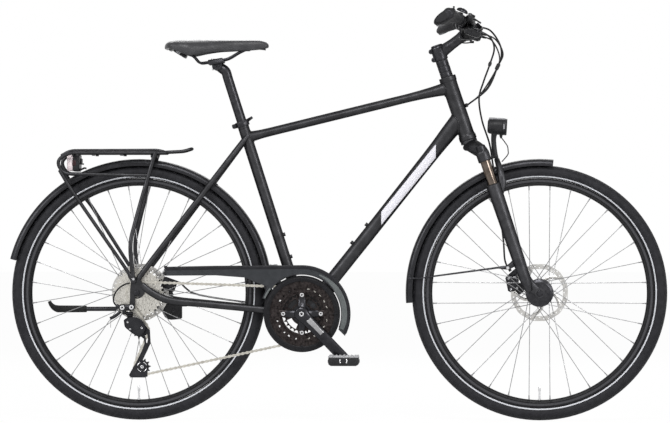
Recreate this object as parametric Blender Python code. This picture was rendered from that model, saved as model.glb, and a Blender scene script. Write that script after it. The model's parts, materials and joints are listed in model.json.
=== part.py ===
"""Trekking bicycle with a suspension fork, mudguards, rack, lights and a 3x9 derailleur drive.

X points forward, Z up, and the drive side is -Y. The wheels stand on Z = 0.
"""

import math

import bmesh
import bpy
from mathutils import Matrix, Vector

mm = 0.001
clearance = 0.3 * mm

# Wheels
wheel_radius = 352.3 * mm
tyre_width = 42 * mm
tyre_depth = 35.8 * mm
rim_depth = 21 * mm
rim_width = 24 * mm
wheel_facets = 32
spokes_per_wheel = 32
spoke_radius = 1.1 * mm
rotor_radius = 80 * mm
front_rotor_y = 35.5 * mm
rotor_thickness = 1.8 * mm
rotor_band = 15 * mm
front_axle_width = 100 * mm
rear_axle_width = 135 * mm
axle_radius = 5 * mm

# Frame geometry
wheelbase = 1109.1 * mm
rear_hub_x = -551.75 * mm
chainstay_run = 454.6 * mm
bottom_bracket_drop = 57.3 * mm
seat_tube_length = 558.7 * mm
seat_angle = math.radians(17.69)
head_angle = math.radians(18.68)
head_tube_length = 183.9 * mm
fork_length = 463.1 * mm
fork_rake = 50.7 * mm
leg_offset = 25 * mm
seat_tube_radius = 15.5 * mm
seat_tube_facets = 12
down_tube_radius = 18.75 * mm
top_tube_height = 24 * mm
top_tube_width = 35 * mm
head_tube_radius = 22 * mm
steerer_radius = 14.3 * mm
shell_radius = 21.5 * mm
shell_width = 70 * mm
chainstay_radius = 8.5 * mm
seatstay_radius = 8 * mm
dropout_thickness = 6 * mm
rack_boss_height = 5.4 * mm
seatpost_radius = 13.55 * mm

# Fork and mudguards
stanchion_radius = 14 * mm
leg_spacing = 130 * mm
leg_radius = 19.5 * mm
fork_travel = 50 * mm
mudguard_gap = 17.7 * mm
mudguard_width = 53 * mm
mudguard_depth = 19 * mm
mudguard_wall = 1.6 * mm

# Drive
chain_pitch = 12.7 * mm
chain_roller = 3.6 * mm
plate_height = 8.2 * mm
plate_waist = 4.4 * mm
inner_plate_y = 1.25 * mm
outer_plate_y = 2.2 * mm
plate_thickness = 0.95 * mm
sprocket_thickness = 1.8 * mm
chain_line = 50 * mm
ring_spacing = 7 * mm
cog_spacing = 4.35 * mm
ring_teeth = (48, 36, 26)
cog_teeth = (11, 13, 15, 17, 20, 23, 26, 30, 34)
chain_cog = 2
pulley_teeth = 11
pulley_distance = 101 * mm
crank_length = 170 * mm
crank_angle = math.radians(-46)
crank_offset = 79 * mm
spider_radius = 52 * mm
inner_ring_bore = 26 * mm
guard_ring_radius = 105.6 * mm

# Contact points
bar_half_width = 305 * mm
bar_radius = 11.1 * mm
bar_clamp_radius = 15.9 * mm
grip_radius = 15.5 * mm
seatpost_exposed = 165 * mm
saddle_length = 285 * mm
saddle_width = 165 * mm
stand_length = 320 * mm

rim_edge_radius = wheel_radius - tyre_depth
rim_inner_radius = rim_edge_radius - rim_depth
mudguard_radius = wheel_radius + mudguard_gap
rear_hub = Vector((rear_hub_x, 0, wheel_radius))
front_hub = rear_hub + Vector((wheelbase, 0, 0))
crank_centre = rear_hub + Vector((chainstay_run, 0, -bottom_bracket_drop))
steer_down = Vector((math.sin(head_angle), 0, -math.cos(head_angle)))
steer_forward = Vector((math.cos(head_angle), 0, math.sin(head_angle)))
seat_up = Vector((-math.sin(seat_angle), 0, math.cos(seat_angle)))
seat_forward = Vector((math.cos(seat_angle), 0, math.sin(seat_angle)))
head_bottom = front_hub - steer_forward * fork_rake - steer_down * fork_length
across = Vector((0, 1, 0))


def steer(down, forward=0, y=0):
    """A point in the fork's own directions, from the bottom of the head tube."""
    return head_bottom + steer_down * down + steer_forward * forward + across * y


def seat(up, forward=0, y=0):
    """A point in the seat tube's own directions, from the bottom bracket."""
    return crank_centre + seat_up * up + seat_forward * forward + across * y


def from_rear(x, y, z):
    """A point from the rear hub, in millimetres."""
    return rear_hub + Vector((x, y, z)) * mm


def from_front(x, y, z):
    """A point from the front hub, in millimetres."""
    return front_hub + Vector((x, y, z)) * mm


def from_crank(x, y, z):
    """A point from the bottom bracket, in millimetres."""
    return crank_centre + Vector((x, y, z)) * mm


head_top = steer(-head_tube_length)
seat_top = seat(seat_tube_length)


def bore_radius(radius, facets=12):
    """A faceted bore that clears a bar all round."""
    return (radius + clearance) / math.cos(math.pi / facets)


def material(name, colour, roughness, metallic=0.0):
    made = bpy.data.materials.new(name)
    made.use_nodes = True
    shader = made.node_tree.nodes["Principled BSDF"]
    shader.inputs["Base Color"].default_value = (*colour, 1)
    shader.inputs["Roughness"].default_value = roughness
    shader.inputs["Metallic"].default_value = metallic
    made.diffuse_color = (*colour, 1)
    return made


def clear_scene():
    for item in list(bpy.data.objects):
        bpy.data.objects.remove(item)


def piece(name, bm, finish=None):
    """Makes an object of a bmesh, in world places."""
    bmesh.ops.recalc_face_normals(bm, faces=bm.faces)
    mesh = bpy.data.meshes.new(name)
    bm.to_mesh(mesh)
    bm.free()
    made = bpy.data.objects.new(name, mesh)
    bpy.context.scene.collection.objects.link(made)
    if finish:
        mesh.materials.append(finish)
    return made


def loft(rings, closed=False, capped=True):
    """Joins equal rings of points, one after the other, into one closed body."""
    bm = bmesh.new()
    rows = [[bm.verts.new(p) for p in ring] for ring in rings]
    pairs = list(zip(rows, rows[1:] + rows[:1])) if closed else list(zip(rows, rows[1:]))
    for one, two in pairs:
        for k in range(len(one)):
            after = (k + 1) % len(one)
            bm.faces.new((one[k], one[after], two[after], two[k]))
    if capped and not closed:
        bm.faces.new(rows[0])
        bm.faces.new(rows[-1])
    return bm


def frames_along(path, up=None):
    """The two directions across a path at each of its points, without twist."""
    up = up or across
    found = []
    for k, point in enumerate(path):
        before = path[max(k - 1, 0)]
        after = path[min(k + 1, len(path) - 1)]
        along = (after - before).normalized()
        side = up - along * up.dot(along)
        if side.length < 1e-4:
            side = along.orthogonal()
        side.normalize()
        found.append((side, along.cross(side)))
        up = side
    return found


def oval(count, turn=0.5):
    """Points of a unit circle, with a flat at each side."""
    step = 2 * math.pi / count
    return [(math.cos((k + turn) * step), math.sin((k + turn) * step)) for k in range(count)]


def tube(name, path, radius, sides=8, finish=None, up=None):
    """A round or oval bar along a path, with one radius, one (side, other) pair, or one for each point."""
    path = [Vector(p) for p in path]
    sizes = radius if isinstance(radius, list) else [radius] * len(path)
    sizes = [s if isinstance(s, tuple) else (s, s) for s in sizes]
    rings = []
    for point, (side, other), (a, b) in zip(path, frames_along(path, up), sizes):
        rings.append([point + side * (c * a) + other * (s * b) for c, s in oval(sides)])
    return piece(name, loft(rings), finish)


def curve(points, steps=4):
    """A smooth path through hand-picked points."""
    points = [Vector(p) for p in points]
    padded = [points[0] * 2 - points[1], *points, points[-1] * 2 - points[-2]]
    path = []
    for k in range(1, len(padded) - 2):
        a, b, c, d = padded[k - 1 : k + 3]
        for i in range(steps):
            t = i / steps
            path.append(
                (b * 2 + (c - a) * t + (a * 2 - b * 5 + c * 4 - d) * t * t
                 + (b * 3 - a - c * 3 + d) * t * t * t) / 2
            )
    path.append(points[-1])
    return path


def turned(name, profile, centre, axis=across, facets=24, finish=None, ring=False, phase=0.0):
    """Turns a profile of (radius, along) about an axis. A ring's profile closes on itself."""
    axis = Vector(axis).normalized()
    side = (steer_forward if abs(axis.x) > 0.1 or abs(axis.z) > 0.1 else Vector((1, 0, 0)))
    side = (side - axis * side.dot(axis)).normalized()
    if side.length < 0.5:
        side = axis.orthogonal().normalized()
    other = axis.cross(side)
    bm = bmesh.new()
    rows = []
    for radius, along in profile:
        base = centre + axis * along
        if radius < 1e-7:
            rows.append([bm.verts.new(base)])
            continue
        row = []
        for k in range(facets):
            angle = 2 * math.pi * k / facets + phase
            row.append(bm.verts.new(base + (side * math.cos(angle) + other * math.sin(angle)) * radius))
        rows.append(row)
    pairs = list(zip(rows, rows[1:]))
    if ring:
        pairs.append((rows[-1], rows[0]))
    for one, two in pairs:
        for k in range(facets):
            after = (k + 1) % facets
            quad = [one[k % len(one)], one[after % len(one)], two[after % len(two)], two[k % len(two)]]
            quad = list(dict.fromkeys(quad))
            if len(quad) > 2:
                bm.faces.new(quad)
    if not ring:
        for row in (rows[0], rows[-1]):
            if len(row) > 2:
                bm.faces.new(row)
    return piece(name, bm, finish)


def rod(name, start, end, radius, facets=8, finish=None, end_radius=None):
    """A straight round bar between two points."""
    start, end = Vector(start), Vector(end)
    return tube(name, [start, end], [radius, end_radius or radius], facets, finish)


def plate(name, outline, y_from, y_to, finish=None, chamfer=0.0):
    """A flat piece cut to an outline of (x, z) points, between two planes across the bicycle."""
    bm = bmesh.new()
    rings = []
    for y in (y_from, y_to):
        rings.append([bm.verts.new((x, y, z)) for x, z in outline])
    bm.faces.new(rings[0])
    bm.faces.new(rings[1])
    for k in range(len(outline)):
        after = (k + 1) % len(outline)
        bm.faces.new((rings[0][k], rings[0][after], rings[1][after], rings[1][k]))
    if chamfer:
        edges = [e for e in bm.edges if abs(e.verts[0].co.y - e.verts[1].co.y) < 1e-9]
        bmesh.ops.bevel(
            bm, geom=edges, offset=chamfer, segments=1, affect="EDGES", profile=0.5, material=-1
        )
    return piece(name, bm, finish)


def arc(centre, radius, start, end, count):
    """Points of (x, z) along an arc about a point, with angles in degrees from forward."""
    points = []
    for k in range(count + 1):
        angle = math.radians(start + (end - start) * k / count)
        points.append((centre.x + radius * math.cos(angle), centre.z + radius * math.sin(angle)))
    return points


def block(name, centre, size, finish=None, turn=None, chamfer=0.0):
    """A box about a centre, turned by a rotation matrix, with its edges broken."""
    bm = bmesh.new()
    bmesh.ops.create_cube(bm, size=1)
    bmesh.ops.scale(bm, vec=size, verts=bm.verts)
    if chamfer:
        bmesh.ops.bevel(
            bm, geom=bm.edges[:], offset=chamfer, segments=1, affect="EDGES", profile=0.5, material=-1
        )
    if turn:
        bmesh.ops.rotate(bm, cent=(0, 0, 0), matrix=turn, verts=bm.verts)
    bmesh.ops.translate(bm, vec=centre, verts=bm.verts)
    return piece(name, bm, finish)


def evaluated(item):
    bpy.context.view_layer.update()
    graph = bpy.context.evaluated_depsgraph_get()
    return bpy.data.meshes.new_from_object(item.evaluated_get(graph))


def fuse(name, parts, finish, cuts=()):
    """Welds parts into one closed body, then takes the cuts out of it."""
    base = parts[0]
    for other in list(parts[1:]) + list(cuts):
        step = base.modifiers.new("join", "BOOLEAN")
        step.solver = "EXACT"
        step.operation = "DIFFERENCE" if other in cuts else "UNION"
        step.object = other
    mesh = evaluated(base)
    for part in list(parts) + list(cuts):
        bpy.data.objects.remove(part)
    bm = bmesh.new()
    bm.from_mesh(mesh)
    bpy.data.meshes.remove(mesh)
    bmesh.ops.remove_doubles(bm, verts=bm.verts, dist=2e-6)
    bmesh.ops.dissolve_degenerate(bm, dist=2e-6, edges=bm.edges)
    bmesh.ops.dissolve_limit(
        bm, angle_limit=math.radians(0.2), verts=bm.verts, edges=bm.edges, use_dissolve_boundaries=False
    )
    made = piece(name, bm)
    made.data.materials.clear()
    made.data.materials.append(finish)
    return made


def joined(name, parts, finish=None):
    """Puts separate shells in one mesh, to weld or cut them in one step."""
    bm = bmesh.new()
    for part in parts:
        bm.from_mesh(part.data)
        bpy.data.objects.remove(part)
    return piece(name, bm, finish)


def put(item, parent, origin=None):
    """Hangs a piece on its joint's empty, with the piece's own origin on the joint's axis."""
    origin = origin or (parent.matrix_world.translation if parent else Vector())
    item.data.transform(Matrix.Translation(-origin))
    item.parent = parent
    base = parent.matrix_world.translation if parent else Vector()
    item.location = origin - base
    return item


def joint_empty(name, place, parent=None):
    """An empty on a joint's axis."""
    made = bpy.data.objects.new(name, None)
    made.empty_display_size = 0.03
    bpy.context.scene.collection.objects.link(made)
    made.parent = parent
    base = parent.matrix_world.translation if parent else Vector()
    made.location = place - base
    bpy.context.view_layer.update()
    return made


clear_scene()

satin_black = material("satin_black_paint", (0.018, 0.018, 0.020), 0.45)
black_plastic = material("black_plastic", (0.015, 0.015, 0.016), 0.6)
rubber = material("black_rubber", (0.012, 0.012, 0.012), 0.85)
black_alloy = material("black_anodised", (0.02, 0.02, 0.022), 0.35, 0.6)
steel = material("polished_steel", (0.62, 0.62, 0.63), 0.28, 1.0)
chain_steel = material("chain_steel", (0.55, 0.54, 0.50), 0.35, 1.0)
guard_grey = material("dark_grey_plastic", (0.07, 0.075, 0.08), 0.5)
saddle_cover = material("saddle_cover", (0.014, 0.014, 0.015), 0.6)
lamp_red = material("red_lens", (0.35, 0.01, 0.01), 0.25)
stanchion_finish = material("bronze_stanchion", (0.28, 0.20, 0.15), 0.25, 0.9)

steering = joint_empty("steering_axis", head_bottom)
lowers = joint_empty("fork_slide", steer(fork_length, leg_offset), steering)
front_axis = joint_empty("front_wheel_axis", front_hub, lowers)
rear_axis = joint_empty("rear_wheel_axis", rear_hub)
crank_axis = joint_empty("crank_axis", crank_centre)


# Wheels


def spokes(name, hub, right_y, left_y, circle, crossings):
    """Crossed spokes from two flanges to the rim, swelling to their nipples, as loose shells."""
    per_side = spokes_per_wheel // 2
    step = 2 * math.pi / per_side
    reach = rim_inner_radius * math.cos(math.pi / wheel_facets) - 1.6 * clearance
    made = []
    for side, flange_y in ((0, right_y), (1, left_y)):
        for k in range(per_side):
            trailing = 1 if k % 2 else -1
            start = (k + side / 2 + 0.25) * step
            end = start + trailing * crossings * step
            head_y = flange_y + trailing * 2.6 * mm
            inner = Vector((math.cos(start) * circle, head_y, math.sin(start) * circle))
            rim_y = math.copysign(0.5 * mm, flange_y)
            outer = Vector((math.cos(end) * reach, rim_y, math.sin(end) * reach))
            along = (outer - inner).normalized()
            inner = inner - along * 4 * mm
            inner.y = flange_y + trailing * 1.8 * mm
            made.append(tube("spoke", [hub + inner, hub + outer], [spoke_radius, spoke_radius * 1.3], 3))
    return joined(name, made)


def rotor(name, hub, y, finish):
    """A disc brake rotor: a drilled band on swept arms about a centre ring."""
    half = rotor_thickness / 2
    inner = rotor_radius - rotor_band
    band = turned(
        "band",
        [(inner, y - half), (rotor_radius, y - half), (rotor_radius, y + half), (inner, y + half)],
        hub, facets=20, ring=True,
    )
    centre = turned(
        "centre",
        [
            (18.9 * mm, y - half * 1.1), (29 * mm, y - half * 1.1), (29 * mm, y + half * 1.1),
            (18.9 * mm, y + half * 1.1),
        ],
        hub, facets=8, ring=True,
    )
    arms = []
    for k in range(5):
        start = 2 * math.pi * k / 5
        points = []
        for radius, turn in ((25 * mm, 0), (46 * mm, 0.22), (inner + 3 * mm, 0.62)):
            angle = start - turn
            points.append(hub + Vector((math.cos(angle) * radius, y, math.sin(angle) * radius)))
        arms.append(tube("arm", points, (half * 1.25, 4.5 * mm), 4, up=across))
    return fuse(name, [band, centre, joined("arms", arms)], finish)


def wheel(side, hub, axis, hub_profile, right_y, left_y, circle, crossings, rotor_y):
    """A tyre, a rim with its valve, a laced hub and a rotor."""
    half = tyre_width / 2
    bed = rim_edge_radius + clearance
    tyre = turned(
        f"{side}_tyre",
        [
            (bed, -11 * mm), (wheel_radius - 20 * mm, -half), (
                wheel_radius - 6 * mm, -half * 0.72
            ), (wheel_radius, 0),
            (wheel_radius - 6 * mm, half * 0.72), (wheel_radius - 20 * mm, half), (bed, 11 * mm),
        ],
        hub, facets=wheel_facets, finish=rubber, ring=True,
    )
    hoop = turned(
        "hoop",
        [
            (rim_edge_radius, -rim_width / 2), (rim_edge_radius - 13 * mm, -rim_width / 2),
            (rim_inner_radius, 0),
            (rim_edge_radius - 13 * mm, rim_width / 2), (rim_edge_radius, rim_width / 2),
        ],
        hub, facets=wheel_facets, ring=True,
    )
    valve_top = hub - Vector((0, 0, rim_inner_radius - 38 * mm))
    valve_foot = hub - Vector((0, 0, rim_inner_radius + 6 * mm))
    valve = tube(
        "valve",
        [valve_foot, valve_top - Vector((0, 0, 14 * mm)), valve_top - Vector((0, 0, 13 * mm)), valve_top],
        [3 * mm, 3 * mm, 3.9 * mm, 2.6 * mm], 6,
    )
    rim = fuse(f"{side}_rim", [hoop, valve], black_alloy)
    shell = turned("shell", hub_profile, hub, facets=10)
    bore = rod("bore", hub - across * 0.1, hub + across * 0.1, axle_radius + 2 * clearance, 10)
    lacing = spokes("lacing", hub, right_y, left_y, circle, crossings)
    laced = fuse(f"{side}_hub", [shell, lacing], steel, [bore])
    disc = rotor(f"{side}_rotor", hub, rotor_y, steel)
    for item in (tyre, rim, laced, disc):
        put(item, axis)


def build_front_wheel():
    """The dynamo hub has a wide drum between its flanges."""
    flange = 38.5 * mm
    profile = [
        (7.6 * mm, -42 * mm), (12 * mm, -41 * mm), (13 * mm, -33 * mm), (30 * mm, -31.5 * mm),
        (flange, -28 * mm), (flange, -24.8 * mm), (31 * mm, -22 * mm), (31 * mm, 17 * mm),
        (flange, 19.4 * mm), (flange, 22.6 * mm), (17 * mm, 25 * mm), (17 * mm, 41 * mm),
        (7.6 * mm, 42 * mm),
    ]
    wheel("front", front_hub, front_axis, profile, -26.4 * mm, 21 * mm, 34.5 * mm, 2, front_rotor_y)


def build_rear_wheel():
    """The hub shell leaves room at the right for the cogs."""
    flange = 26 * mm
    profile = [
        (7.6 * mm, -21 * mm), (flange, -20.2 * mm), (flange, -17 * mm), (16 * mm, -12 * mm),
        (15 * mm, 12 * mm), (flange - 1 * mm, 31 * mm), (flange - 1 * mm, 34.2 * mm),
        (17 * mm, 37 * mm), (17 * mm, 55.5 * mm), (7.6 * mm, 56.5 * mm),
    ]
    wheel("rear", rear_hub, rear_axis, profile, -18.6 * mm, 32.6 * mm, 22.5 * mm, 3, 51 * mm)


build_front_wheel()
build_rear_wheel()


# Frame


def dropout_outline(right):
    """The outline of a dropout in (x, z), with a hanger on the right."""
    points = [(-16, 41), (-5, 43), (12, 33), (26, 12), (20, -2), (12, -12), (4, -13)]
    points += [(-4, -22), (-6, -40), (-13.5, -47), (-21, -41), (-19, -18)] if right else [(-13, -13)]
    points += [(-19, 5), (-17, 25)]
    return [(rear_hub.x + x * mm, rear_hub.z + z * mm) for x, z in points]


def build_dropouts():
    """A plate on each side, slotted from below for the axle."""
    made = []
    inner = rear_axle_width / 2
    for right in (True, False):
        side = -1 if right else 1
        lug = plate("dropout", dropout_outline(right), side * inner, side * (inner + dropout_thickness))
        width = axle_radius + clearance
        slot_shape = arc(rear_hub, width, 180, 0, 8)
        slot_shape += [
            (rear_hub.x + width, rear_hub.z - 60 * mm), (rear_hub.x - width, rear_hub.z - 60 * mm)
        ]
        slot = plate("slot", slot_shape, side * (inner - 5 * mm), side * (inner + 15 * mm))
        made.append(fuse("lug", [lug], None, [slot]))
    return made


def stay_points(side):
    """Where the chain stay and the seat stay of one side run."""
    inner = side * (rear_axle_width / 2 + dropout_thickness / 2)
    chain = [
        crank_centre + Vector((-8 * mm, side * 22 * mm, 2 * mm)),
        crank_centre + Vector((-45 * mm, side * 29 * mm, 5 * mm)),
        crank_centre + Vector((-107 * mm, side * 35 * mm, 11 * mm)),
        rear_hub + Vector((190 * mm, side * 52 * mm, -31 * mm)),
        rear_hub + Vector((93 * mm, side * 67 * mm, -21 * mm)),
        rear_hub + Vector((46 * mm, inner, -2 * mm)),
        rear_hub + Vector((13 * mm, inner, 22 * mm)),
    ]
    top = seat(seat_tube_length - 52 * mm, -7 * mm, side * 17 * mm)
    foot = rear_hub + Vector((2 * mm, inner, 38 * mm))
    seat_stay = [
        top + (top - foot).normalized() * 14 * mm - across * side * 6 * mm,
        top.lerp(foot, 0.04), top.lerp(foot, 0.3) + across * side * 9 * mm,
        top.lerp(foot, 0.7) + across * side * 4 * mm,
        foot + (top - foot).normalized() * 20 * mm, foot - Vector((4, 0, 8)) * mm,
    ]
    return chain, seat_stay


def stay_at(reach):
    """Where the left seat stay stands at a distance from the rear hub, seen from the side."""
    path = stay_points(1)[1][:0:-1]
    spans = [math.hypot(p.x - rear_hub.x, p.z - rear_hub.z) for p in path]
    for one, two, near, far in zip(path, path[1:], spans, spans[1:]):
        if near <= reach <= far:
            return one.lerp(two, (reach - near) / (far - near))
    return path[-1]


def boss(place, out, radius=5.2 * mm, height=5 * mm):
    """A round threaded boss that stands on a tube."""
    return rod("boss", place - out * 6 * mm, place + out * height, radius, 6)


def build_frame():
    """Welds the tubes, the lugs and the bosses, then bores what the other pieces fit into."""
    ends = seat_top - seat_up * 48 * mm
    head_join = steer(-head_tube_length + 31 * mm)
    down_join = steer(-65 * mm)
    along_top = (head_join - ends).normalized()
    parts = [
        tube(
            "seat_tube", [seat(-6 * mm), seat(60 * mm), seat_top],
            [seat_tube_radius + 2 * mm, seat_tube_radius, seat_tube_radius], seat_tube_facets,
        ),
        tube(
            "head_tube",
            [steer(0), steer(-13 * mm), steer(-15 * mm), steer(15 * mm - head_tube_length),
             steer(13 * mm - head_tube_length), head_top],
            [head_tube_radius + 2.4 * mm, head_tube_radius + 2 * mm, head_tube_radius, head_tube_radius,
             head_tube_radius + 1.6 * mm, head_tube_radius + 1.8 * mm], 12,
        ),
        tube(
            "top_tube",
            [ends - along_top * 4 * mm, ends + along_top * 60 * mm, head_join - along_top * 110 * mm,
             head_join - along_top * 40 * mm, head_join],
            [(13 * mm, 16 * mm), (top_tube_width / 2, top_tube_height / 2),
            (top_tube_width / 2, top_tube_height / 2),
             (18 * mm, 15.5 * mm), (17 * mm, 21 * mm)], 10,
        ),
        tube(
            "down_tube",
            [
                crank_centre, crank_centre.lerp(down_join, 0.12), crank_centre.lerp(down_join, 0.8),
                down_join,
            ],
            [(19 * mm, down_tube_radius), (down_tube_radius, down_tube_radius),
            (down_tube_radius, down_tube_radius * 1.05),
             (19.5 * mm, 25 * mm)], 12,
        ),
        rod(
            "shell", crank_centre - across * shell_width / 2, crank_centre + across * shell_width / 2,
            shell_radius, 12,
        ),
    ]
    for side in (-1, 1):
        chain, seat_stay = stay_points(side)
        parts.append(
            tube("chainstay", curve(chain, 1), (chainstay_radius, chainstay_radius * 1.05), 7, up=across)
        )
        parts.append(
            tube("seatstay", curve(seat_stay, 1), (seatstay_radius * 0.95, seatstay_radius), 7, up=across)
        )
    parts += build_dropouts()
    bridge = stay_at(mudguard_radius + 8 * mm)
    parts.append(rod("bridge", bridge - across * 2 * bridge.y, bridge, 6 * mm, 6))
    lower = crank_centre + Vector((-67, 0, 9)) * mm
    parts.append(rod("lower_bridge", lower - across * 30 * mm, lower + across * 30 * mm, 7 * mm, 6))
    down_along = (down_join - crank_centre).normalized()
    down_out = Vector((-down_along.z, 0, down_along.x))
    for up in (232, 296):
        parts.append(boss(crank_centre + down_along * up * mm + down_out * down_tube_radius, down_out))
    for up in (150, 214):
        parts.append(boss(seat(up * mm, seat_tube_radius), seat_forward))
    parts.append(boss(seat(172 * mm, -seat_tube_radius), -seat_forward, 6 * mm, 7 * mm))
    rack_boss = rear_hub + Vector((-9 * mm, 0, 34 * mm))
    outer = rear_axle_width / 2 + dropout_thickness
    for side in (-1, 1):
        parts.append(
            rod(
                "rack_boss", rack_boss + across * side * (outer - 3 * mm),
                rack_boss + across * side * (outer + rack_boss_height), 6.5 * mm, 6,
            )
        )
    disc_tab = [(34, 18), (44, 50), (60, 52), (78, 30), (92, -8), (76, -14), (50, -10)]
    parts.append(
        plate(
            "disc_tab", [(rear_hub.x + x * mm, rear_hub.z + z * mm) for x, z in disc_tab], 63.5 * mm,
            68.5 * mm,
        )
    )
    cuts = [
        rod("head_bore", steer(0.05), steer(-head_tube_length - 0.05), steerer_radius + 3 * clearance, 12),
        rod(
            "seat_bore", seat_top - seat_up * 0.27, seat_top + seat_up * 0.05,
            seatpost_radius + 2.5 * clearance, 12,
        ),
        rod(
            "shell_bore", crank_centre - across * 0.06, crank_centre + across * 0.06,
            shell_radius - 3.5 * mm, 12,
        ),
    ]
    return fuse("frame", parts, satin_black, cuts)


frame = build_frame()


# Chain and sprockets


def pitch_radius(teeth):
    return chain_pitch / (2 * math.sin(math.pi / teeth))


def tangent(centre_one, radius_one, turn_one, centre_two, radius_two, turn_two):
    """The straight run of chain between two sprockets. A turn of 1 is counterclockwise from the right."""
    gap = Vector((centre_two.x - centre_one.x, centre_two.z - centre_one.z))
    heading = math.atan2(gap.y, gap.x)
    lean = math.asin((turn_one * radius_one - turn_two * radius_two) / gap.length)
    normal = heading - math.pi / 2 + lean
    out = Vector((math.cos(normal), math.sin(normal)))
    start = Vector((centre_one.x, centre_one.z)) + out * radius_one * turn_one
    end = Vector((centre_two.x, centre_two.z)) + out * radius_two * turn_two
    return start, end


def chain_runs(cage_turn):
    """The loop's straight runs and arcs, and its length in links, for a turn of the derailleur cage."""
    tension = guide_centre + Vector((-math.sin(cage_turn), 0, -math.cos(cage_turn))) * pulley_distance
    wheels = [
        (crank_centre, ring_teeth[1], 1), (rear_hub, cog_teeth[chain_cog], 1),
        (guide_centre, pulley_teeth, -1), (tension, pulley_teeth, 1),
    ]
    straights = []
    for k in range(4):
        one, two = wheels[k], wheels[(k + 1) % 4]
        straights.append(
            tangent(one[0], pitch_radius(one[1]), one[2], two[0], pitch_radius(two[1]), two[2])
        )
    runs, total = [], 0.0
    for k in range(4):
        start, end = straights[k]
        length = (end - start).length / chain_pitch
        runs.append(("straight", start, end, total, length))
        total += length
        centre, teeth, turn = wheels[(k + 1) % 4]
        middle = Vector((centre.x, centre.z))
        first = math.atan2(end.y - middle.y, end.x - middle.x)
        leave = straights[(k + 1) % 4][0] - middle
        last = math.atan2(leave.y, leave.x)
        sweep = (turn * (last - first)) % (2 * math.pi) * turn
        length = abs(sweep) * teeth / (2 * math.pi)
        runs.append(("arc", middle, (first, sweep, teeth), total, length))
        total += length
    return runs, total, tension


def settle_cage():
    """Turns the cage, as its spring does, until the loop takes an even number of links."""
    nominal = math.radians(1)
    links = 2 * round(chain_runs(nominal)[1] / 2)
    low, high = math.radians(-45), math.radians(45)
    turns = [low + (high - low) * k / 90 for k in range(91)]
    misses = [chain_runs(t)[1] - links for t in turns]
    spans = [k for k in range(90) if misses[k] * misses[k + 1] <= 0]
    near = min(spans, key=lambda k: abs(turns[k] - nominal))
    low, high = turns[near], turns[near + 1]
    for _ in range(40):
        middle = (low + high) / 2
        if (chain_runs(low)[1] - links) * (chain_runs(middle)[1] - links) <= 0:
            high = middle
        else:
            low = middle
    return (low + high) / 2, links


guide_centre = from_rear(8.6, 0, -103) - across * chain_line
cage_turn, chain_links = settle_cage()
loop_runs, loop_length, tension_centre = chain_runs(cage_turn)
print("chain of", chain_links, "links, cage turned", round(math.degrees(cage_turn), 1), "degrees")


def loop_point(u):
    """Where the chain is after u links."""
    u %= loop_length
    for kind, one, two, start, length in loop_runs:
        if u <= start + length or (kind, start) == (loop_runs[-1][0], loop_runs[-1][3]):
            t = (u - start) / length
            if kind == "straight":
                return one.lerp(two, t)
            first, sweep, teeth = two
            angle = first + sweep * t
            return one + Vector((math.cos(angle), math.sin(angle))) * pitch_radius(teeth)


def tooth_phase(number):
    """The angle of a roller on one of the loop's four sprockets, so that teeth stand between rollers."""
    kind, middle, (first, sweep, teeth), start, length = loop_runs[2 * number - 1 if number else 7]
    roller = math.ceil(start)
    angle = first + sweep * (roller - start) / length
    return angle


def build_chain():
    """Two rails of plates, wide and narrow in turn, waisted between the pins, on six-sided rollers."""
    pins = [loop_point(k * loop_length / chain_links) for k in range(chain_links)]
    bm = bmesh.new()
    tall, waist = plate_height / 2, plate_waist / 2

    def corner(place, up, height, y):
        spot = place + up * height
        return bm.verts.new((spot.x, -chain_line + y, spot.y))

    rails = {1: [], -1: []}
    for side in rails:
        for k, pin in enumerate(pins):
            ahead = (pins[(k + 1) % chain_links] - pin).normalized()
            behind = (pin - pins[k - 1]).normalized()
            mean = (ahead + behind).normalized()
            first_y, last_y = (
                inner_plate_y, outer_plate_y
            ) if k % 2 == 0 else (outer_plate_y, inner_plate_y)
            edge = []
            for place, along, height, y in (
                (pin - behind * chain_roller, behind, waist, first_y),
                (pin, mean, tall, inner_plate_y),
                (pin + ahead * chain_roller, ahead, waist, last_y),
            ):
                up = Vector((-along.y, along.x))
                edge.append((corner(place, up, height, y * side), corner(place, up, -height, y * side)))
            ridge = corner(pin, Vector((0, 1)), 0, (outer_plate_y + plate_thickness) * side)
            rails[side].append((edge, ridge))
        for k in range(chain_links):
            (edge, ridge), (later, next_ridge) = rails[side][k], rails[side][(k + 1) % chain_links]
            for row in (0, 1):
                outside = (ridge, edge[1][row], edge[2][row], later[0][row], later[1][row], next_ridge)
                middle = (ridge, edge[2][row], later[0][row], next_ridge)
                bm.faces.new(outside[:3])
                bm.faces.new(middle)
                bm.faces.new(outside[3:])
            bm.faces.new((edge[2][0], edge[2][1], later[0][1], later[0][0]))
    for (near, _), (far, _) in zip(rails[1], rails[-1]):
        hexagon = [(0, 0), (1, 0), (2, 0), (2, 1), (1, 1), (0, 1)]
        for i in range(6):
            (a, p), (b, q) = hexagon[i], hexagon[(i + 1) % 6]
            bm.faces.new((near[a][p], near[b][q], far[b][q], far[a][p]))
    return piece("chain", bm, chain_steel)


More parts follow.
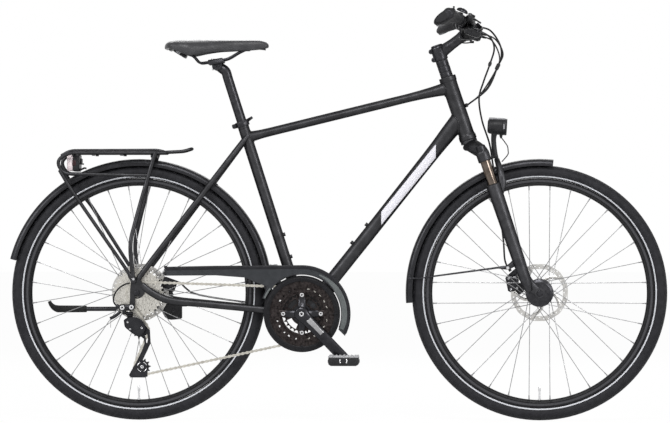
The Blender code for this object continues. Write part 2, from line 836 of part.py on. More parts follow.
def sprocket(name, centre, teeth, y, bore, phase=0.0, finish=None, meshing=False, thickness=None):
    """A toothed plate with a bore. Meshing teeth have a seat for the roller. Others are plain points."""
    radius = pitch_radius(teeth)
    half = (thickness or sprocket_thickness) / 2
    step = 2 * math.pi / teeth
    if meshing:
        seat_half, tip_half = 2.95 * mm / radius, step / 2 - 1.15 * mm / radius
        shape = [(-seat_half, -4.6 * mm), (seat_half, -4.6 * mm), (step / 2 - 1.1 * mm / radius, 1.4 * mm),
                 (step / 2 + 1.1 * mm / radius, 1.4 * mm)]
    else:
        shape = [(0, -4.4 * mm), (step / 2, 1.6 * mm)]
    outline = []
    for k in range(teeth):
        for turn, out in shape:
            angle = phase + k * step + turn
            outline.append(
                (centre.x + math.cos(angle) * (radius + out), centre.z + math.sin(angle) * (radius + out))
            )
    body = plate(name, outline, y - half, y + half, finish)
    if not bore:
        return body
    cut = turned("bore", [(bore, y - 0.02), (bore, y + 0.02)], Vector((centre.x, 0, centre.z)), facets=12)
    return fuse(name, [body], finish, [cut])


def build_cassette():
    """Nine cogs on one freehub body."""
    cogs = []
    first_y = -chain_line - chain_cog * cog_spacing
    for k, teeth in enumerate(cog_teeth):
        meshing = k == chain_cog
        phase = tooth_phase(1) if meshing else 0.13 * k
        cogs.append(sprocket("cog", rear_hub, teeth, first_y + k * cog_spacing, 0, phase, None, meshing))
    last_y = first_y + (len(cog_teeth) - 1) * cog_spacing
    carrier = turned(
        "carrier",
        [(15.5 * mm, first_y - 2.2 * mm), (16.5 * mm, first_y + cog_spacing * 2.5),
        (20 * mm, first_y + cog_spacing * 3),
         (20 * mm, last_y + 1.6 * mm)],
        rear_hub, facets=7,
    )
    bore = rod("bore", rear_hub - across * 0.1, rear_hub + across * 0.1, axle_radius + 3 * clearance, 8)
    return fuse("cassette", [carrier, joined("cogs", cogs)], steel, [bore])


put(build_chain(), None, crank_centre)
put(build_cassette(), rear_axis)


# Cranks and pedals


def crank_way(side):
    """Which way the crank of a side points, in the plane of the wheels."""
    turn = crank_angle if side < 0 else crank_angle + math.pi
    return Vector((math.cos(turn), 0, math.sin(turn)))


def build_crank(side, name):
    """A forged arm with a boss at each end. The right one carries the spider and the axle."""
    way = crank_way(side)
    foot = crank_centre + across * side * crank_offset
    tip = crank_centre + way * crank_length + across * side * (crank_offset + 5 * mm)
    arm_up = across
    arm = tube(
        "arm",
        [foot - way * 15 * mm, foot - way * 9 * mm, foot + way * 22 * mm, foot.lerp(tip, 0.55),
        tip - way * 9 * mm,
         tip + way * 10 * mm, tip + way * 13 * mm],
        [(6.5 * mm, 12 * mm), (7.5 * mm, 17 * mm), (7.5 * mm, 17.5 * mm), (6 * mm, 11.5 * mm),
        (6 * mm, 13 * mm),
         (6 * mm, 12 * mm), (5 * mm, 8 * mm)],
        10, up=arm_up,
    )
    spindle = rod(
        "spindle", tip - across * side * 2 * mm, tip + across * side * 92 * mm, 4.5 * mm, 8
    )
    parts = [arm, spindle]
    if side < 0:
        parts.append(rod("axle", foot, crank_centre + across * (crank_offset + 2 * mm), 9 * mm, 12))
        hub_y = -chain_line - ring_spacing / 2
        parts.append(rod("spider_hub", foot, crank_centre + across * (hub_y + 2 * mm), 19 * mm, 12))
        boss_y = -chain_line + ring_spacing + 0.5 * mm
        parts.append(
            turned(
                "inner_boss", [(inner_ring_bore - clearance, hub_y), (inner_ring_bore - clearance, boss_y)],
                crank_centre, facets=12,
            )
        )
        for k in range(4):
            turn = math.radians(90 * k)
            out = Vector((math.cos(turn), 0, math.sin(turn)))
            flat = ring_spacing / 2 - sprocket_thickness * 0.6 - clearance
            start = crank_centre + out * 12 * mm + across * (hub_y - 6 * mm)
            knee = crank_centre + out * (spider_radius - 15 * mm) + across * hub_y
            end = crank_centre + out * (spider_radius + 7 * mm) + across * hub_y
            sizes = [(5 * mm, 11 * mm), (flat, 10 * mm), (flat, 8 * mm)]
            parts.append(tube("spider", [start, knee, end], sizes, 6, up=across))
        return put(fuse(name, parts, black_alloy), crank_axis)
    bore = rod("bore", foot - across * 0.05, foot + across * 2.5 * mm, 9 * mm + clearance, 12)
    return put(fuse(name, parts, black_alloy, [bore]), crank_axis)


def build_rings():
    """The guarded outer ring, the middle ring that carries the chain, and the inner one."""
    bolts = [
        crank_centre + Vector(
            (math.cos(math.radians(90 * k)), 0, math.sin(math.radians(90 * k)))
        ) * spider_radius
        for k in range(4)
    ]
    outer_y = -chain_line - ring_spacing
    outer = sprocket("teeth", crank_centre, ring_teeth[0], outer_y, pitch_radius(ring_teeth[1]) - 7 * mm)
    guard_y = outer_y - 2.6 * mm
    guard = turned(
        "guard",
        [(90 * mm, guard_y - 2 * mm), (guard_ring_radius, guard_y - 1.4 * mm),
        (guard_ring_radius, guard_y + 1.2 * mm),
         (90 * mm, guard_y + 2.1 * mm)],
        crank_centre, facets=20, ring=True,
    )
    tabs = []
    for bolt in bolts:
        out = (bolt - crank_centre).normalized()
        path = [bolt - out * 6 * mm + across * outer_y, bolt + out * 18 * mm + across * outer_y]
        tabs.append(tube("tab", path, (sprocket_thickness * 0.7, 9 * mm), 4, up=across))
    outer_ring = fuse("chainring_outer", [outer, guard, *tabs], black_alloy)
    middle = sprocket(
        "teeth", crank_centre, ring_teeth[1], -chain_line, spider_radius + 6 * mm, tooth_phase(0),
        meshing=True
    )
    lugs = []
    for bolt in bolts:
        out = (bolt - crank_centre).normalized()
        path = [bolt - out * 6 * mm - across * chain_line, bolt + out * 9 * mm - across * chain_line]
        lugs.append(tube("lug", path, (sprocket_thickness * 0.7, 8 * mm), 4, up=across))
    middle_ring = fuse("chainring_middle", [middle, *lugs], black_alloy)
    inner_y = -chain_line + ring_spacing
    inner_ring = sprocket(
        "chainring_inner", crank_centre, ring_teeth[2], inner_y, inner_ring_bore, finish=black_alloy
    )
    for ring in (outer_ring, middle_ring, inner_ring):
        put(ring, crank_axis)


def build_pedal(side, name):
    """A resin body on the spindle inside an alloy cage with a toothed edge."""
    way = crank_way(side)
    tip = crank_centre + way * crank_length + across * side * (crank_offset + 5 * mm)
    inner, outer = side * 11 * mm, side * 97 * mm
    centre = tip + across * (inner + outer) / 2
    half = abs(outer - inner) / 2
    body = turned(
        "body", [
            (14 * mm, -half), (11.5 * mm, -half * 0.4), (11.5 * mm, half * 0.4), (14 * mm, half)
        ], centre, facets=8
    )
    cage = block("cage", centre, (96 * mm, 2 * half - 8 * mm, 26 * mm), chamfer=6 * mm)
    windows = [
        block("window", centre + Vector((side_x * 25 * mm, 0, 0)), (27 * mm, 2 * half - 30 * mm, 60 * mm))
        for side_x in (-1, 1)
    ]
    bore = rod("bore", centre - across * 0.1, centre + across * 0.1, bore_radius(4.5 * mm, 8), 8)
    axis = joint_empty(f"{name}_axis", tip, crank_axis)
    return put(fuse(name, [cage, body], black_alloy, [*windows, bore]), axis)


build_crank(-1, "crank_right")
build_crank(1, "crank_left")
build_rings()
build_pedal(-1, "pedal_right")
build_pedal(1, "pedal_left")


def build_bottom_bracket():
    """A cartridge in the frame's shell, with a flange at each side and a bore for the axle."""
    half = shell_width / 2
    body = shell_radius - 3.5 * mm - 3 * clearance
    ring = shell_radius - 0.5 * mm
    bore = bore_radius(9 * mm)
    profile = [
        (bore, -half - 2.6 * mm), (ring, -half - 2.6 * mm), (
            ring, -half - clearance
        ), (body, -half - clearance),
        (
            body, half + clearance
        ), (ring, half + clearance), (ring, half + 2.6 * mm), (bore, half + 2.6 * mm),
    ]
    return turned("bottom_bracket", profile, crank_centre, facets=12, finish=black_alloy, ring=True)


put(build_bottom_bracket(), None, crank_centre)


# Fork

crown_bottom = 71 * mm
seal_line = 139.5 * mm
stanchion_end = 290 * mm
spacer_height = 48 * mm
stem_height = 40 * mm
leg_y = leg_spacing / 2
front_plate_y = front_axle_width / 2


def build_fork_crown():
    """The steerer with its spacers and top cap, the forged crown, and the two stanchions."""
    above = -head_tube_length
    parts = [
        rod(
            "steerer", steer(12 * mm), steer(above - spacer_height - stem_height - 2 * mm), steerer_radius,
            12,
        ),
        rod("spacers", steer(above - clearance), steer(above - spacer_height), 17 * mm, 12),
        rod(
            "top_cap", steer(above - spacer_height - stem_height - 1.5 * clearance),
            steer(above - spacer_height - stem_height - 5 * mm), 16.5 * mm, 12, end_radius=14 * mm,
        ),
        rod("race", steer(clearance), steer(9 * mm), head_tube_radius + 1 * mm, 12),
    ]
    half = [(42, 25, leg_y + 1 * mm), (34, 24, leg_y - 9 * mm), (20, 9, 30 * mm), (15, 0, 0)]
    path = [steer(s * mm, f * mm, y) for s, f, y in half]
    path += [steer(s * mm, f * mm, -y) for s, f, y in reversed(half[:-1])]
    sizes = [(15 * mm, 17 * mm), (17 * mm, 17 * mm), (20 * mm, 14 * mm), (22 * mm, 13 * mm)]
    parts.append(tube("crown", path, sizes + sizes[-2::-1], 8, up=steer_forward))
    for side in (-1, 1):
        y = side * leg_y
        parts.append(
            rod("clamp", steer(18 * mm, leg_offset, y), steer(crown_bottom, leg_offset, y), 18.5 * mm, 10)
        )
        parts.append(rod("knob", steer(9 * mm, leg_offset, y), steer(20 * mm, leg_offset, y), 12 * mm, 6))
        parts.append(
            rod(
                "stanchion", steer(crown_bottom - 8 * mm, leg_offset, y),
                steer(stanchion_end, leg_offset, y), stanchion_radius, 12,
            )
        )
    return put(fuse("fork_crown", parts, satin_black), steering)


def build_fork_lowers():
    """Two bored legs joined by an arch ahead of the tyre, with the axle lugs and the brake and stay tabs."""
    parts, cuts = [], []
    for side in (-1, 1):
        y = side * leg_y
        line = [(139.5, 20), (300, 18.3), (405, 16), (446, 10)]
        path = [steer(s * mm, leg_offset, y) for s, _ in line]
        parts.append(tube("leg", path, [r * mm for _, r in line], 12))
        lug_y = side * (front_plate_y + 5.5 * mm)
        parts.append(
            tube(
                "lug",
                [
                    steer(415 * mm, leg_offset + 2 * mm, side * (leg_y - 6 * mm)),
                    steer(440 * mm, 36 * mm, lug_y), steer(fork_length + 4 * mm, fork_rake + 2 * mm, lug_y),
                ],
                [(7 * mm, 14 * mm), (5.2 * mm, 14 * mm), (5.2 * mm, 12 * mm)], 6, up=across,
            )
        )
        parts.append(
            rod(
                "eye", front_hub + across * side * (front_plate_y + clearance),
                front_hub + across * side * (front_plate_y + 11 * mm), 14 * mm, 8,
            )
        )
        tab = [(360, 20, 10), (369, -10, 6)]
        parts.append(
            tube(
                "stay_tab", [steer(s * mm, f * mm, side * (leg_y - 4 * mm)) for s, f, _ in tab],
                [(4 * mm, w * mm) for _, _, w in tab], 6, up=across,
            )
        )
        cuts.append(
            rod(
                "leg_bore", steer(0.1, leg_offset, y),
                steer(stanchion_end + fork_travel + 5 * mm, leg_offset, y), bore_radius(stanchion_radius),
                12,
            )
        )
    arch = [
        (168, 38, leg_y - 3 * mm), (142, 54, leg_y - 5 * mm), (
            108, 57, leg_y - 14 * mm
        ), (83, 57, leg_y - 35 * mm),
        (77, 57, 0),
    ]
    path = [steer(s * mm, f * mm, y) for s, f, y in arch]
    path += [steer(s * mm, f * mm, -y) for s, f, y in reversed(arch[:-1])]
    parts.append(tube("arch", path, [(7.5 * mm, 6.4 * mm)] * len(path), 6, up=steer_forward))
    brake_tab = [(-92, 44), (-70, 64), (-38, 74), (-22, 40), (-44, 2), (-66, -12), (-78, -4)]
    parts.append(
        plate(
            "brake_tab", [(front_hub.x + x * mm, front_hub.z + z * mm) for x, z in brake_tab],
            leg_y - 16.5 * mm, leg_y - 11 * mm,
        )
    )
    cuts.append(
        rod("axle_bore", front_hub - across * 0.1, front_hub + across * 0.1, bore_radius(axle_radius, 8), 8)
    )
    return put(fuse("fork_lowers", parts, satin_black, cuts), lowers)


def axle_profile(outside, inside_right, inside_left, shell_right, shell_left):
    """An axle with a nut outside each plate and a cone inside it."""
    nut = outside + 5 * mm
    return [
        (8.5 * mm, -nut), (9 * mm, -outside - clearance), (axle_radius, -outside - clearance),
        (
            axle_radius, -inside_right + clearance
        ), (8 * mm, -inside_right + clearance), (8 * mm, -shell_right),
        (axle_radius, -shell_right), (axle_radius, shell_left), (8 * mm, shell_left),
        (8 * mm, inside_left - clearance), (axle_radius, inside_left - clearance),
        (axle_radius, outside + clearance), (9 * mm, outside + clearance), (8.5 * mm, nut),
    ]


def build_axles():
    front_outside = front_plate_y + 11 * mm
    profile = axle_profile(
        front_outside, front_plate_y + clearance, front_plate_y + clearance, 42 * mm + clearance,
        42 * mm + clearance
    )
    put(turned("front_axle", profile, front_hub, facets=6, finish=steel), lowers)
    rear_outside = rear_axle_width / 2 + dropout_thickness
    inside = rear_axle_width / 2
    profile = axle_profile(rear_outside, inside, inside, 60.9 * mm + clearance, 56.5 * mm + clearance)
    put(turned("rear_axle", profile, rear_hub, facets=6, finish=steel), None, rear_hub)


def mudguard(name, hub, start, end, steps):
    """A crowned channel with drawn-down sides, swept about the wheel."""
    half, wall = mudguard_width / 2, mudguard_wall
    outside = [
        (mudguard_depth, half), (5 * mm, half - 3.5 * mm), (0, 0), (5 * mm, 3.5 * mm - half),
        (mudguard_depth, -half),
    ]
    inside = [(mudguard_depth, wall - half), (5 * mm + wall, 3.5 * mm - half + wall), (wall, 0),
              (5 * mm + wall, half - 3.5 * mm - wall), (mudguard_depth, half - wall)]
    rings = []
    for k in range(steps + 1):
        angle = math.radians(start + (end - start) * k / steps)
        out = Vector((math.cos(angle), 0, math.sin(angle)))
        rings.append([hub + out * (mudguard_radius - drop) + across * y for drop, y in outside + inside])
    return piece(name, loft(rings))


def spoke_way(angle):
    turn = math.radians(angle)
    return Vector((math.cos(turn), 0, math.sin(turn)))


def build_front_mudguard():
    """The front mudguard, with its spacer under the fork's arch and a stay at each side."""
    shell = mudguard("shell", front_hub, 84, 184.4, 12)
    arch = steer(77 * mm, 57 * mm)
    inward = (front_hub - arch).normalized()
    gap = (arch - front_hub).length - mudguard_radius
    parts = [
        shell,
        tube("spacer", [arch + inward * 8.2 * mm, arch + inward * (gap + 2 * mm)], (9 * mm, 5 * mm), 6),
    ]
    clip = front_hub + spoke_way(173.6) * (mudguard_radius - 9 * mm)
    eye = steer(369 * mm, -10 * mm)
    for side in (-1, 1):
        y = side * (mudguard_width / 2 - 1 * mm)
        parts.append(
            tube(
                "clip",
                [
                    clip + across * (y - side * 1.5 * mm) - Vector((0, 0, 8 * mm)),
                    clip + across * (y + side * 1 * mm) + Vector((0, 0, 8 * mm)),
                ],
                (4 * mm, 5 * mm), 6,
            )
        )
        out_y = side * (leg_y + 3.6 * mm)
        end = eye + across * out_y
        path = [end, end + Vector((-22, 0, 0)) * mm, clip + across * (y + side * 2.5 * mm)]
        parts.append(tube("stay", path, [(1.9 * mm, 5 * mm), 1.9 * mm, 1.9 * mm], 5, up=across))
    return put(fuse("front_mudguard", parts, satin_black), lowers)


def build_rear_mudguard():
    """The rear mudguard, seated on the two bridges of the frame."""
    shell = mudguard("shell", rear_hub, -9, 165.3, 20)
    bridge_way = (seat(seat_tube_length - 52 * mm) - rear_hub).normalized()
    lower = crank_centre + Vector((-67, 0, 9)) * mm - rear_hub
    parts = [shell]
    for way, end in (
        (bridge_way, mudguard_radius + 8 * mm - 6 * mm - clearance),
        (lower.normalized(), lower.length - 7 * mm - clearance),
    ):
        parts.append(
            tube(
                "spacer", [rear_hub + way * (mudguard_radius - 1.2 * mm), rear_hub + way * end],
                (8 * mm, 7 * mm), 6,
            )
        )
    return put(fuse("rear_mudguard", parts, satin_black), None, rear_hub)


def build_headlight():
    """A round lamp body on a strut from the fork's arch, with its switch and wire."""
    centre = steer(-9.4 * mm, 88.3 * mm)
    ahead = Vector((1, 0, -0.06)).normalized()
    lamp = turned(
        "lamp",
        [
            (13 * mm, -28 * mm), (20 * mm, -25 * mm), (23 * mm, -8 * mm), (23 * mm, 17 * mm),
            (22 * mm, 25 * mm), (19 * mm, 26 * mm),
        ],
        centre, axis=ahead, facets=10,
    )
    foot = steer(77 * mm - 6.8 * mm, 57 * mm)
    strut = tube(
        "strut", [foot, foot + Vector((-6, 0, 30)) * mm, centre + Vector((-10, 0, -18)) * mm],
        [(9 * mm, 6 * mm), (6 * mm, 4 * mm), (8 * mm, 6 * mm)], 6,
    )
    switch = rod("switch", centre + Vector((9, 0, -16)) * mm, centre + Vector((10, 0, -32)) * mm, 3 * mm, 6)
    wire = tube(
        "wire",
        curve([centre + Vector((9, 0, -29)) * mm, centre + Vector((26, 2, -54)) * mm,
        centre + Vector((22, 2, -78)) * mm,
               foot + Vector((5, 0, 5)) * mm], 2),
        1.4 * mm, 5,
    )
    return put(fuse("headlight", [lamp, strut, switch, wire], black_plastic), lowers)


build_fork_crown()
build_fork_lowers()
build_axles()
build_front_mudguard()
build_rear_mudguard()
build_headlight()
put(frame, None, crank_centre)


# Rack, tail light, stand and chain guard

rack_tube = 5 * mm
rack_half_width = 58 * mm
rack_foot_y = rear_axle_width / 2 + dropout_thickness + rack_boss_height + 3.8 * mm
rack_deck = 387 * mm


def build_rack():
    """A bent-tube carrier: two side loops with a lower rail, two legs a side, a deck and a front hoop."""
    deck = rack_deck / mm
    parts = []
    for side in (-1, 1):
        y, foot = side * rack_half_width / mm, side * rack_foot_y / mm
        rail = [(78, y * 0.7, deck), (40, y, deck), (-185, y, deck), (-210, y, deck - 8),
                (-222, y, deck - 34),
                (-204, y, deck - 58), (36, y, deck - 63)]
        parts.append(tube("rail", [from_rear(*p) for p in rail], rack_tube, 6, up=across))
        shift = 0 if side < 0 else 14
        leg = [
            (-214, y, deck - 50), (-196, y * 1.05, deck - 80), (-156 + shift, y * 1.12, 247),
            (-26, foot, 62), (-7, foot, 31),
        ]
        parts.append(
            tube("leg", [from_rear(*p) for p in leg], [rack_tube] * 4 + [(3.4 * mm, 6 * mm)], 6, up=across)
        )
        strut = [(50, y, deck - 1), (42, y, 366), (4, y * 1.1, 229), (-19, foot, 138), (-10, foot, 44)]
        parts.append(tube("strut", [from_rear(*p) for p in strut], rack_tube * 0.95, 5, up=across))
    y = rack_half_width / mm
    for x in (52, -60, -176):
        parts.append(rod("cross", from_rear(x, -y, deck), from_rear(x, y, deck), rack_tube * 0.9, 5))
    hoop = [
        (50, -28, deck), (125, -26, deck + 4), (146, -14, deck + 11), (146, 14, deck + 11),
        (125, 26, deck + 4), (50, 28, deck),
    ]
    parts.append(tube("hoop", [from_rear(*p) for p in hoop], rack_tube * 0.9, 5))
    parts.append(block("deck", from_rear(-62, 0, deck + 3.4), (246 * mm, 42 * mm, 3 * mm)))
    return put(fuse("rear_rack", parts, satin_black), None, rear_hub)


def build_tail_light():
    """A wide lamp under the deck, hung from the rack's rear cross tube."""
    top = rack_deck - rack_tube * 0.9 - clearance
    body = block(
        "body", rear_hub + Vector((-175 * mm, 0, top - 21 * mm)), (25 * mm, 84 * mm, 42 * mm),
        chamfer=5 * mm,
    )
    return put(fuse("tail_light", [body], lamp_red), None, rear_hub)


def build_stand():
    """A clamp block under the left chain stay, and the leg that swings on it."""
    pivot = from_rear(78, 86, -54)
    swing = Vector((0, math.cos(math.radians(15)), math.sin(math.radians(15))))
    bracket = fuse(
        "kickstand_bracket",
        [block("block", from_rear(89, 70, -45.1), (42 * mm, 22 * mm, 27 * mm), chamfer=3 * mm),
         rod("post", pivot - swing * 18 * mm, pivot - swing * 2 * clearance, 9 * mm, 10)],
        black_plastic,
    )
    put(bracket, None, pivot)
    axis = joint_empty("stand_axis", pivot)
    way = Vector((-1, 0, 0.09)).normalized()
    along = swing * 9 * mm
    parts = [
        rod("eye", pivot + swing * clearance, pivot + swing * 17 * mm, 12 * mm, 10),
        tube(
            "leg", [pivot + along, pivot + along + way * stand_length * 0.94],
            [(6 * mm, 9 * mm), (5 * mm, 6 * mm)], 8, up=across,
        ),
        tube(
            "foot", [pivot + along + way * stand_length * 0.9, pivot + along + way * stand_length * 1.02],
            [(8 * mm, 7 * mm), (11 * mm, 9 * mm)], 8, up=across,
        ),
    ]
    return put(fuse("kickstand_leg", parts, black_alloy), axis)


guard_outer = 130.5 * mm
guard_inner = 109.5 * mm


def build_chain_guard():
    """A cover over the upper run and the front of the rings, with a rim turned in over the chain."""
    def local(points):
        return [(crank_centre.x + x * mm, crank_centre.z + z * mm) for x, z in points]

    reach = (rear_hub.x + 75 * mm - crank_centre.x) / mm
    top = local([(-237, 130), (reach, 127)])
    bottom = local([(reach, 105), (-237, 106), (-156, 100), (-130, 88)])
    outer_arc = arc(crank_centre, guard_outer, -27, 90, 10)
    inner_arc = arc(crank_centre, guard_inner, 139, -23, 12)
    face = plate("face", outer_arc + top + bottom + inner_arc, -67 * mm, -65 * mm)
    rim_outer = arc(
        crank_centre, guard_outer - 0.2 * mm, -20, 89, 7
    ) + local([(-236, 129.6), (reach + 1, 126.6)])
    rim_inner = local([(reach + 1, 124.6), (-236, 127.6)]) + arc(
        crank_centre, guard_outer - 2.2 * mm, 89, -20, 7
    )
    rim = plate("rim", rim_outer + rim_inner, -66 * mm, -44 * mm)
    way = Vector((math.cos(math.radians(38)), 0, math.sin(math.radians(38))))
    washer_y = -(shell_width / 2 + 2.6 * mm + clearance)
    washer = rod(
        "washer", crank_centre + across * washer_y, crank_centre + across * (washer_y - 2 * mm),
        shell_radius + 1 * mm, 12,
    )
    stay = tube(
        "stay",
        [crank_centre + way * 15 * mm + across * (washer_y - 1 * mm),
        crank_centre + way * 118 * mm + across * (washer_y - 1 * mm),
         crank_centre + way * 128.6 * mm - across * 52 * mm],
        [(1.2 * mm, 9 * mm)] * 3, 6, up=across,
    )
    hole = rod("hole", crank_centre, crank_centre - across * 0.06, 13 * mm, 12)
    return put(fuse("chain_guard", [face, rim, washer, stay], guard_grey, [hole]), None, crank_centre)


# Derailleurs and brakes


def build_front_derailleur():
    """A band on the seat tube with the pivot lug, and the cage that swings over the rings."""
    band_y = -24 * mm
    pivot = from_crank(-42, 0, 124) + across * band_y
    where = seat(118 * mm)
    inner = bore_radius(seat_tube_radius, seat_tube_facets)
    ring = tube(
        "band", [where - seat_up * 7 * mm, where + seat_up * 7 * mm], inner + 3 * mm, seat_tube_facets,
        up=across,
    )
    hole = rod("hole", where - seat_up * 20 * mm, where + seat_up * 20 * mm, inner, seat_tube_facets)
    lugs = [
        tube(
            "lug", [pivot + Vector((x, 8, -16)) * mm, pivot + Vector((x, 0, 1)) * mm],
            [(2 * mm, 6 * mm), (2 * mm, 5 * mm)], 6, up=Vector((1, 0, 0)),
        )
        for x in (-12, 12)
    ]
    bridge = block("bridge", pivot + Vector((0, 9, -14)) * mm, (28 * mm, 7 * mm, 7 * mm))
    put(fuse("front_derailleur_clamp", [ring, bridge, *lugs], black_alloy, [hole]), None, where)
    shape = [(-16, 109), (-20, 119), (-60, 118), (-100, 92), (-106, 72), (-98, 64), (-86, 67), (-77, 77)]
    shape += [
        ((x - crank_centre.x) / mm, (z - crank_centre.z) / mm)
        for x, z in arc(crank_centre, 108.5 * mm, 131, 101, 3)
    ]
    outline = [(crank_centre.x + x * mm, crank_centre.z + z * mm) for x, z in shape]
    inner_y, outer_y = -chain_line + 5.8 * mm, -chain_line - 5.2 * mm
    parts = [
        plate("inner", outline, inner_y - 1.4 * mm, inner_y),
        plate("outer", outline, outer_y, outer_y + 1.4 * mm),
        block(
            "roof", Vector((crank_centre.x - 32 * mm, (inner_y + outer_y) / 2, crank_centre.z + 117 * mm)),
            (18 * mm, 10.6 * mm, 3 * mm),
        ),
        rod(
            "tail", from_crank(-98, 0, 67.5) + across * (inner_y - 0.5 * mm),
            from_crank(-98, 0, 67.5) + across * (outer_y + 0.5 * mm), 2.2 * mm, 6,
        ),
        rod("barrel", pivot - Vector((9.4, 0, 0)) * mm, pivot + Vector((9.4, 0, 0)) * mm, 4.5 * mm, 8),
        tube(
            "link",
            [
                pivot, pivot + Vector((4, -10, -3)) * mm,
                Vector((crank_centre.x - 34 * mm, inner_y - 1 * mm, crank_centre.z + 113 * mm)),
            ],
            [(7 * mm, 3 * mm)] * 3, 6, up=Vector((1, 0, 0)),
        ),
    ]
    axis = joint_empty("front_derailleur_axis", pivot)
    return put(fuse("front_derailleur_cage", parts, black_alloy), axis)


link_top = from_rear(-24, -82, -56)
link_bottom = from_rear(-14, -76, -92)


def build_rear_derailleur():
    """The mount on the hanger, the link, the knuckle, the two-plate cage and its pulleys."""
    outer = rear_axle_width / 2 + dropout_thickness
    bolt = from_rear(-13.8, 0, -38.7)
    mount = [
        rod("barrel", bolt - across * (outer + clearance), bolt - across * (outer + 15 * mm), 9 * mm, 8),
        tube(
            "arm", [bolt - across * 82 * mm, from_rear(-39, -83, -40)],
            [(6 * mm, 8 * mm), (6 * mm, 7 * mm)], 8, up=across,
        ),
        rod("pin", from_rear(-39, -75, -40), from_rear(-39, -91, -40), 6.5 * mm, 8),
        tube(
            "neck",
            [
                from_rear(-36, -83, -41), link_top - Vector((10.5, 0, -4)) * mm,
                link_top - Vector((10.5, 0, 3)) * mm,
            ],
            [(5 * mm, 4 * mm)] * 3, 6, up=across,
        ),
        tube(
            "cable",
            curve(
                [
                    from_rear(-45, -84, -38), from_rear(-63, -84, -30), from_rear(-62, -83, -4),
                    from_rear(-46, -81, 16), from_rear(-23, -80.5, 26),
                ],
                2,
            ),
            2.2 * mm, 5,
        ),
    ]
    put(fuse("rear_derailleur_mount", mount, black_alloy), None, bolt - across * outer)
    link_axis = joint_empty("derailleur_link_axis", link_top)
    forward = Vector((1, 0, 0))
    link = [
        rod("top", link_top - forward * 6 * mm, link_top + forward * 14 * mm, 5 * mm, 8),
        rod("bottom", link_bottom - forward * 8 * mm, link_bottom + forward * 8 * mm, 5 * mm, 8),
        tube(
            "web", [link_top + forward * 4 * mm, link_bottom], [(9 * mm, 3.4 * mm), (7 * mm, 3.4 * mm)], 8,
            up=forward,
        ),
    ]
    put(fuse("rear_derailleur_link", link, black_alloy), link_axis)
    knuckle_axis = joint_empty("derailleur_knuckle_axis", link_bottom, link_axis)
    cage_face = -chain_line - 5.4 * mm - 1.6 * mm
    knuckle = [
        rod(
            "spring_case", guide_centre + across * (cage_face + chain_line - clearance),
            guide_centre + across * (cage_face + chain_line - 17 * mm), 14.5 * mm, 10,
        ),
        tube(
            "ear",
            [
                guide_centre + Vector((-4, -20, 2)) * mm,
                link_bottom + forward * 12 * mm - Vector((0, 0, 3)) * mm,
                link_bottom + forward * 12 * mm + Vector((0, 0, 3)) * mm,
            ],
            [(5 * mm, 3.2 * mm)] * 3, 6, up=across,
        ),
    ]
    put(fuse("rear_derailleur_knuckle", knuckle, black_alloy), knuckle_axis)
    cage_axis = joint_empty("derailleur_cage_axis", guide_centre, knuckle_axis)
    turn = Matrix.Rotation(cage_turn, 3, "Y")
    shape = [(-14, 10), (0, 16), (14, 11), (26, -20), (29, -44), (22, -72), (18, -90), (19, -114),
             (-19, -114),
             (-19, -103), (-8, -86), (5, -58), (3, -34), (-13, -12)]
    outline = []
    for x, z in shape:
        spot = guide_centre + turn @ Vector((x * mm, 0, z * mm))
        outline.append((spot.x, spot.z))
    inner_face = -chain_line + 5.4 * mm
    parts = [
        plate("outer_plate", outline, cage_face, cage_face + 1.6 * mm),
        plate("inner_plate", outline, inner_face, inner_face + 1.4 * mm),
    ]
    for centre in (guide_centre, tension_centre):
        spot = Vector((centre.x, 0, centre.z))
        parts.append(
            rod(
                "pin", spot + across * (cage_face + 0.6 * mm), spot + across * (inner_face + 0.9 * mm),
                3 * mm, 8,
            )
        )
    put(fuse("rear_derailleur_cage", parts, black_alloy), cage_axis)
    for name, centre, number in (("guide_pulley", guide_centre, 2), ("tension_pulley", tension_centre, 3)):
        body = sprocket(
            name, centre, pulley_teeth, -chain_line, bore_radius(3 * mm, 10), tooth_phase(number),
            black_plastic, True,
        )
        axis = joint_empty(f"{name}_axis", Vector((centre.x, -chain_line, centre.z)), cage_axis)
        put(body, axis)


def caliper(name, hub, spot, rotor_y, size, lean):
    """A brake caliper block that straddles the rotor."""
    body = block("body", spot, size, turn=Matrix.Rotation(math.radians(lean), 3, "Y"), chamfer=4 * mm)
    cut = turned(
        "slot", [
            (30 * mm, rotor_y - 1.6 * mm), (rotor_radius + 2 * mm, rotor_y - 1.6 * mm),
            (rotor_radius + 2 * mm, rotor_y + 1.6 * mm), (30 * mm, rotor_y + 1.6 * mm),
        ],
        hub, facets=24, ring=True,
    )
    return body, cut


def build_calipers():
    """Each caliper bolts to its tab, and the rear one carries the end of its hose."""
    rear_inside = 63.5 * mm - clearance
    width = 21 * mm
    spot = rear_hub + Vector((80 * mm, rear_inside - width / 2, 22 * mm))
    body, cut = caliper("rear", rear_hub, spot, 51 * mm, (40 * mm, width, 34 * mm), 20)
    hose = tube(
        "hose",
        curve([from_rear(88, 58, 32), from_rear(112, 57, 26), from_rear(140, 54, 0),
        from_rear(200, 45, -14), from_rear(300, 38, -28),
               from_rear(385, 28, -36)], 2),
        2.5 * mm, 6,
    )
    put(fuse("rear_brake_caliper", [body, hose], black_alloy, [cut]), None, spot)
    front_inside = leg_y - 16.5 * mm - clearance
    width = front_inside - front_rotor_y + 8.8 * mm
    spot = front_hub + Vector((-74 * mm, front_inside - width / 2, 26 * mm))
    body, cut = caliper("front", front_hub, spot, front_rotor_y, (34 * mm, width, 44 * mm), -12)
    put(fuse("front_brake_caliper", [body], black_alloy, [cut]), lowers)


build_rack()
build_tail_light()
build_stand()
build_chain_guard()
build_front_derailleur()
build_rear_derailleur()
build_calipers()


# Seat

saddle_rear = seat_top + Vector((-210 * mm, 0, 207.6 * mm))


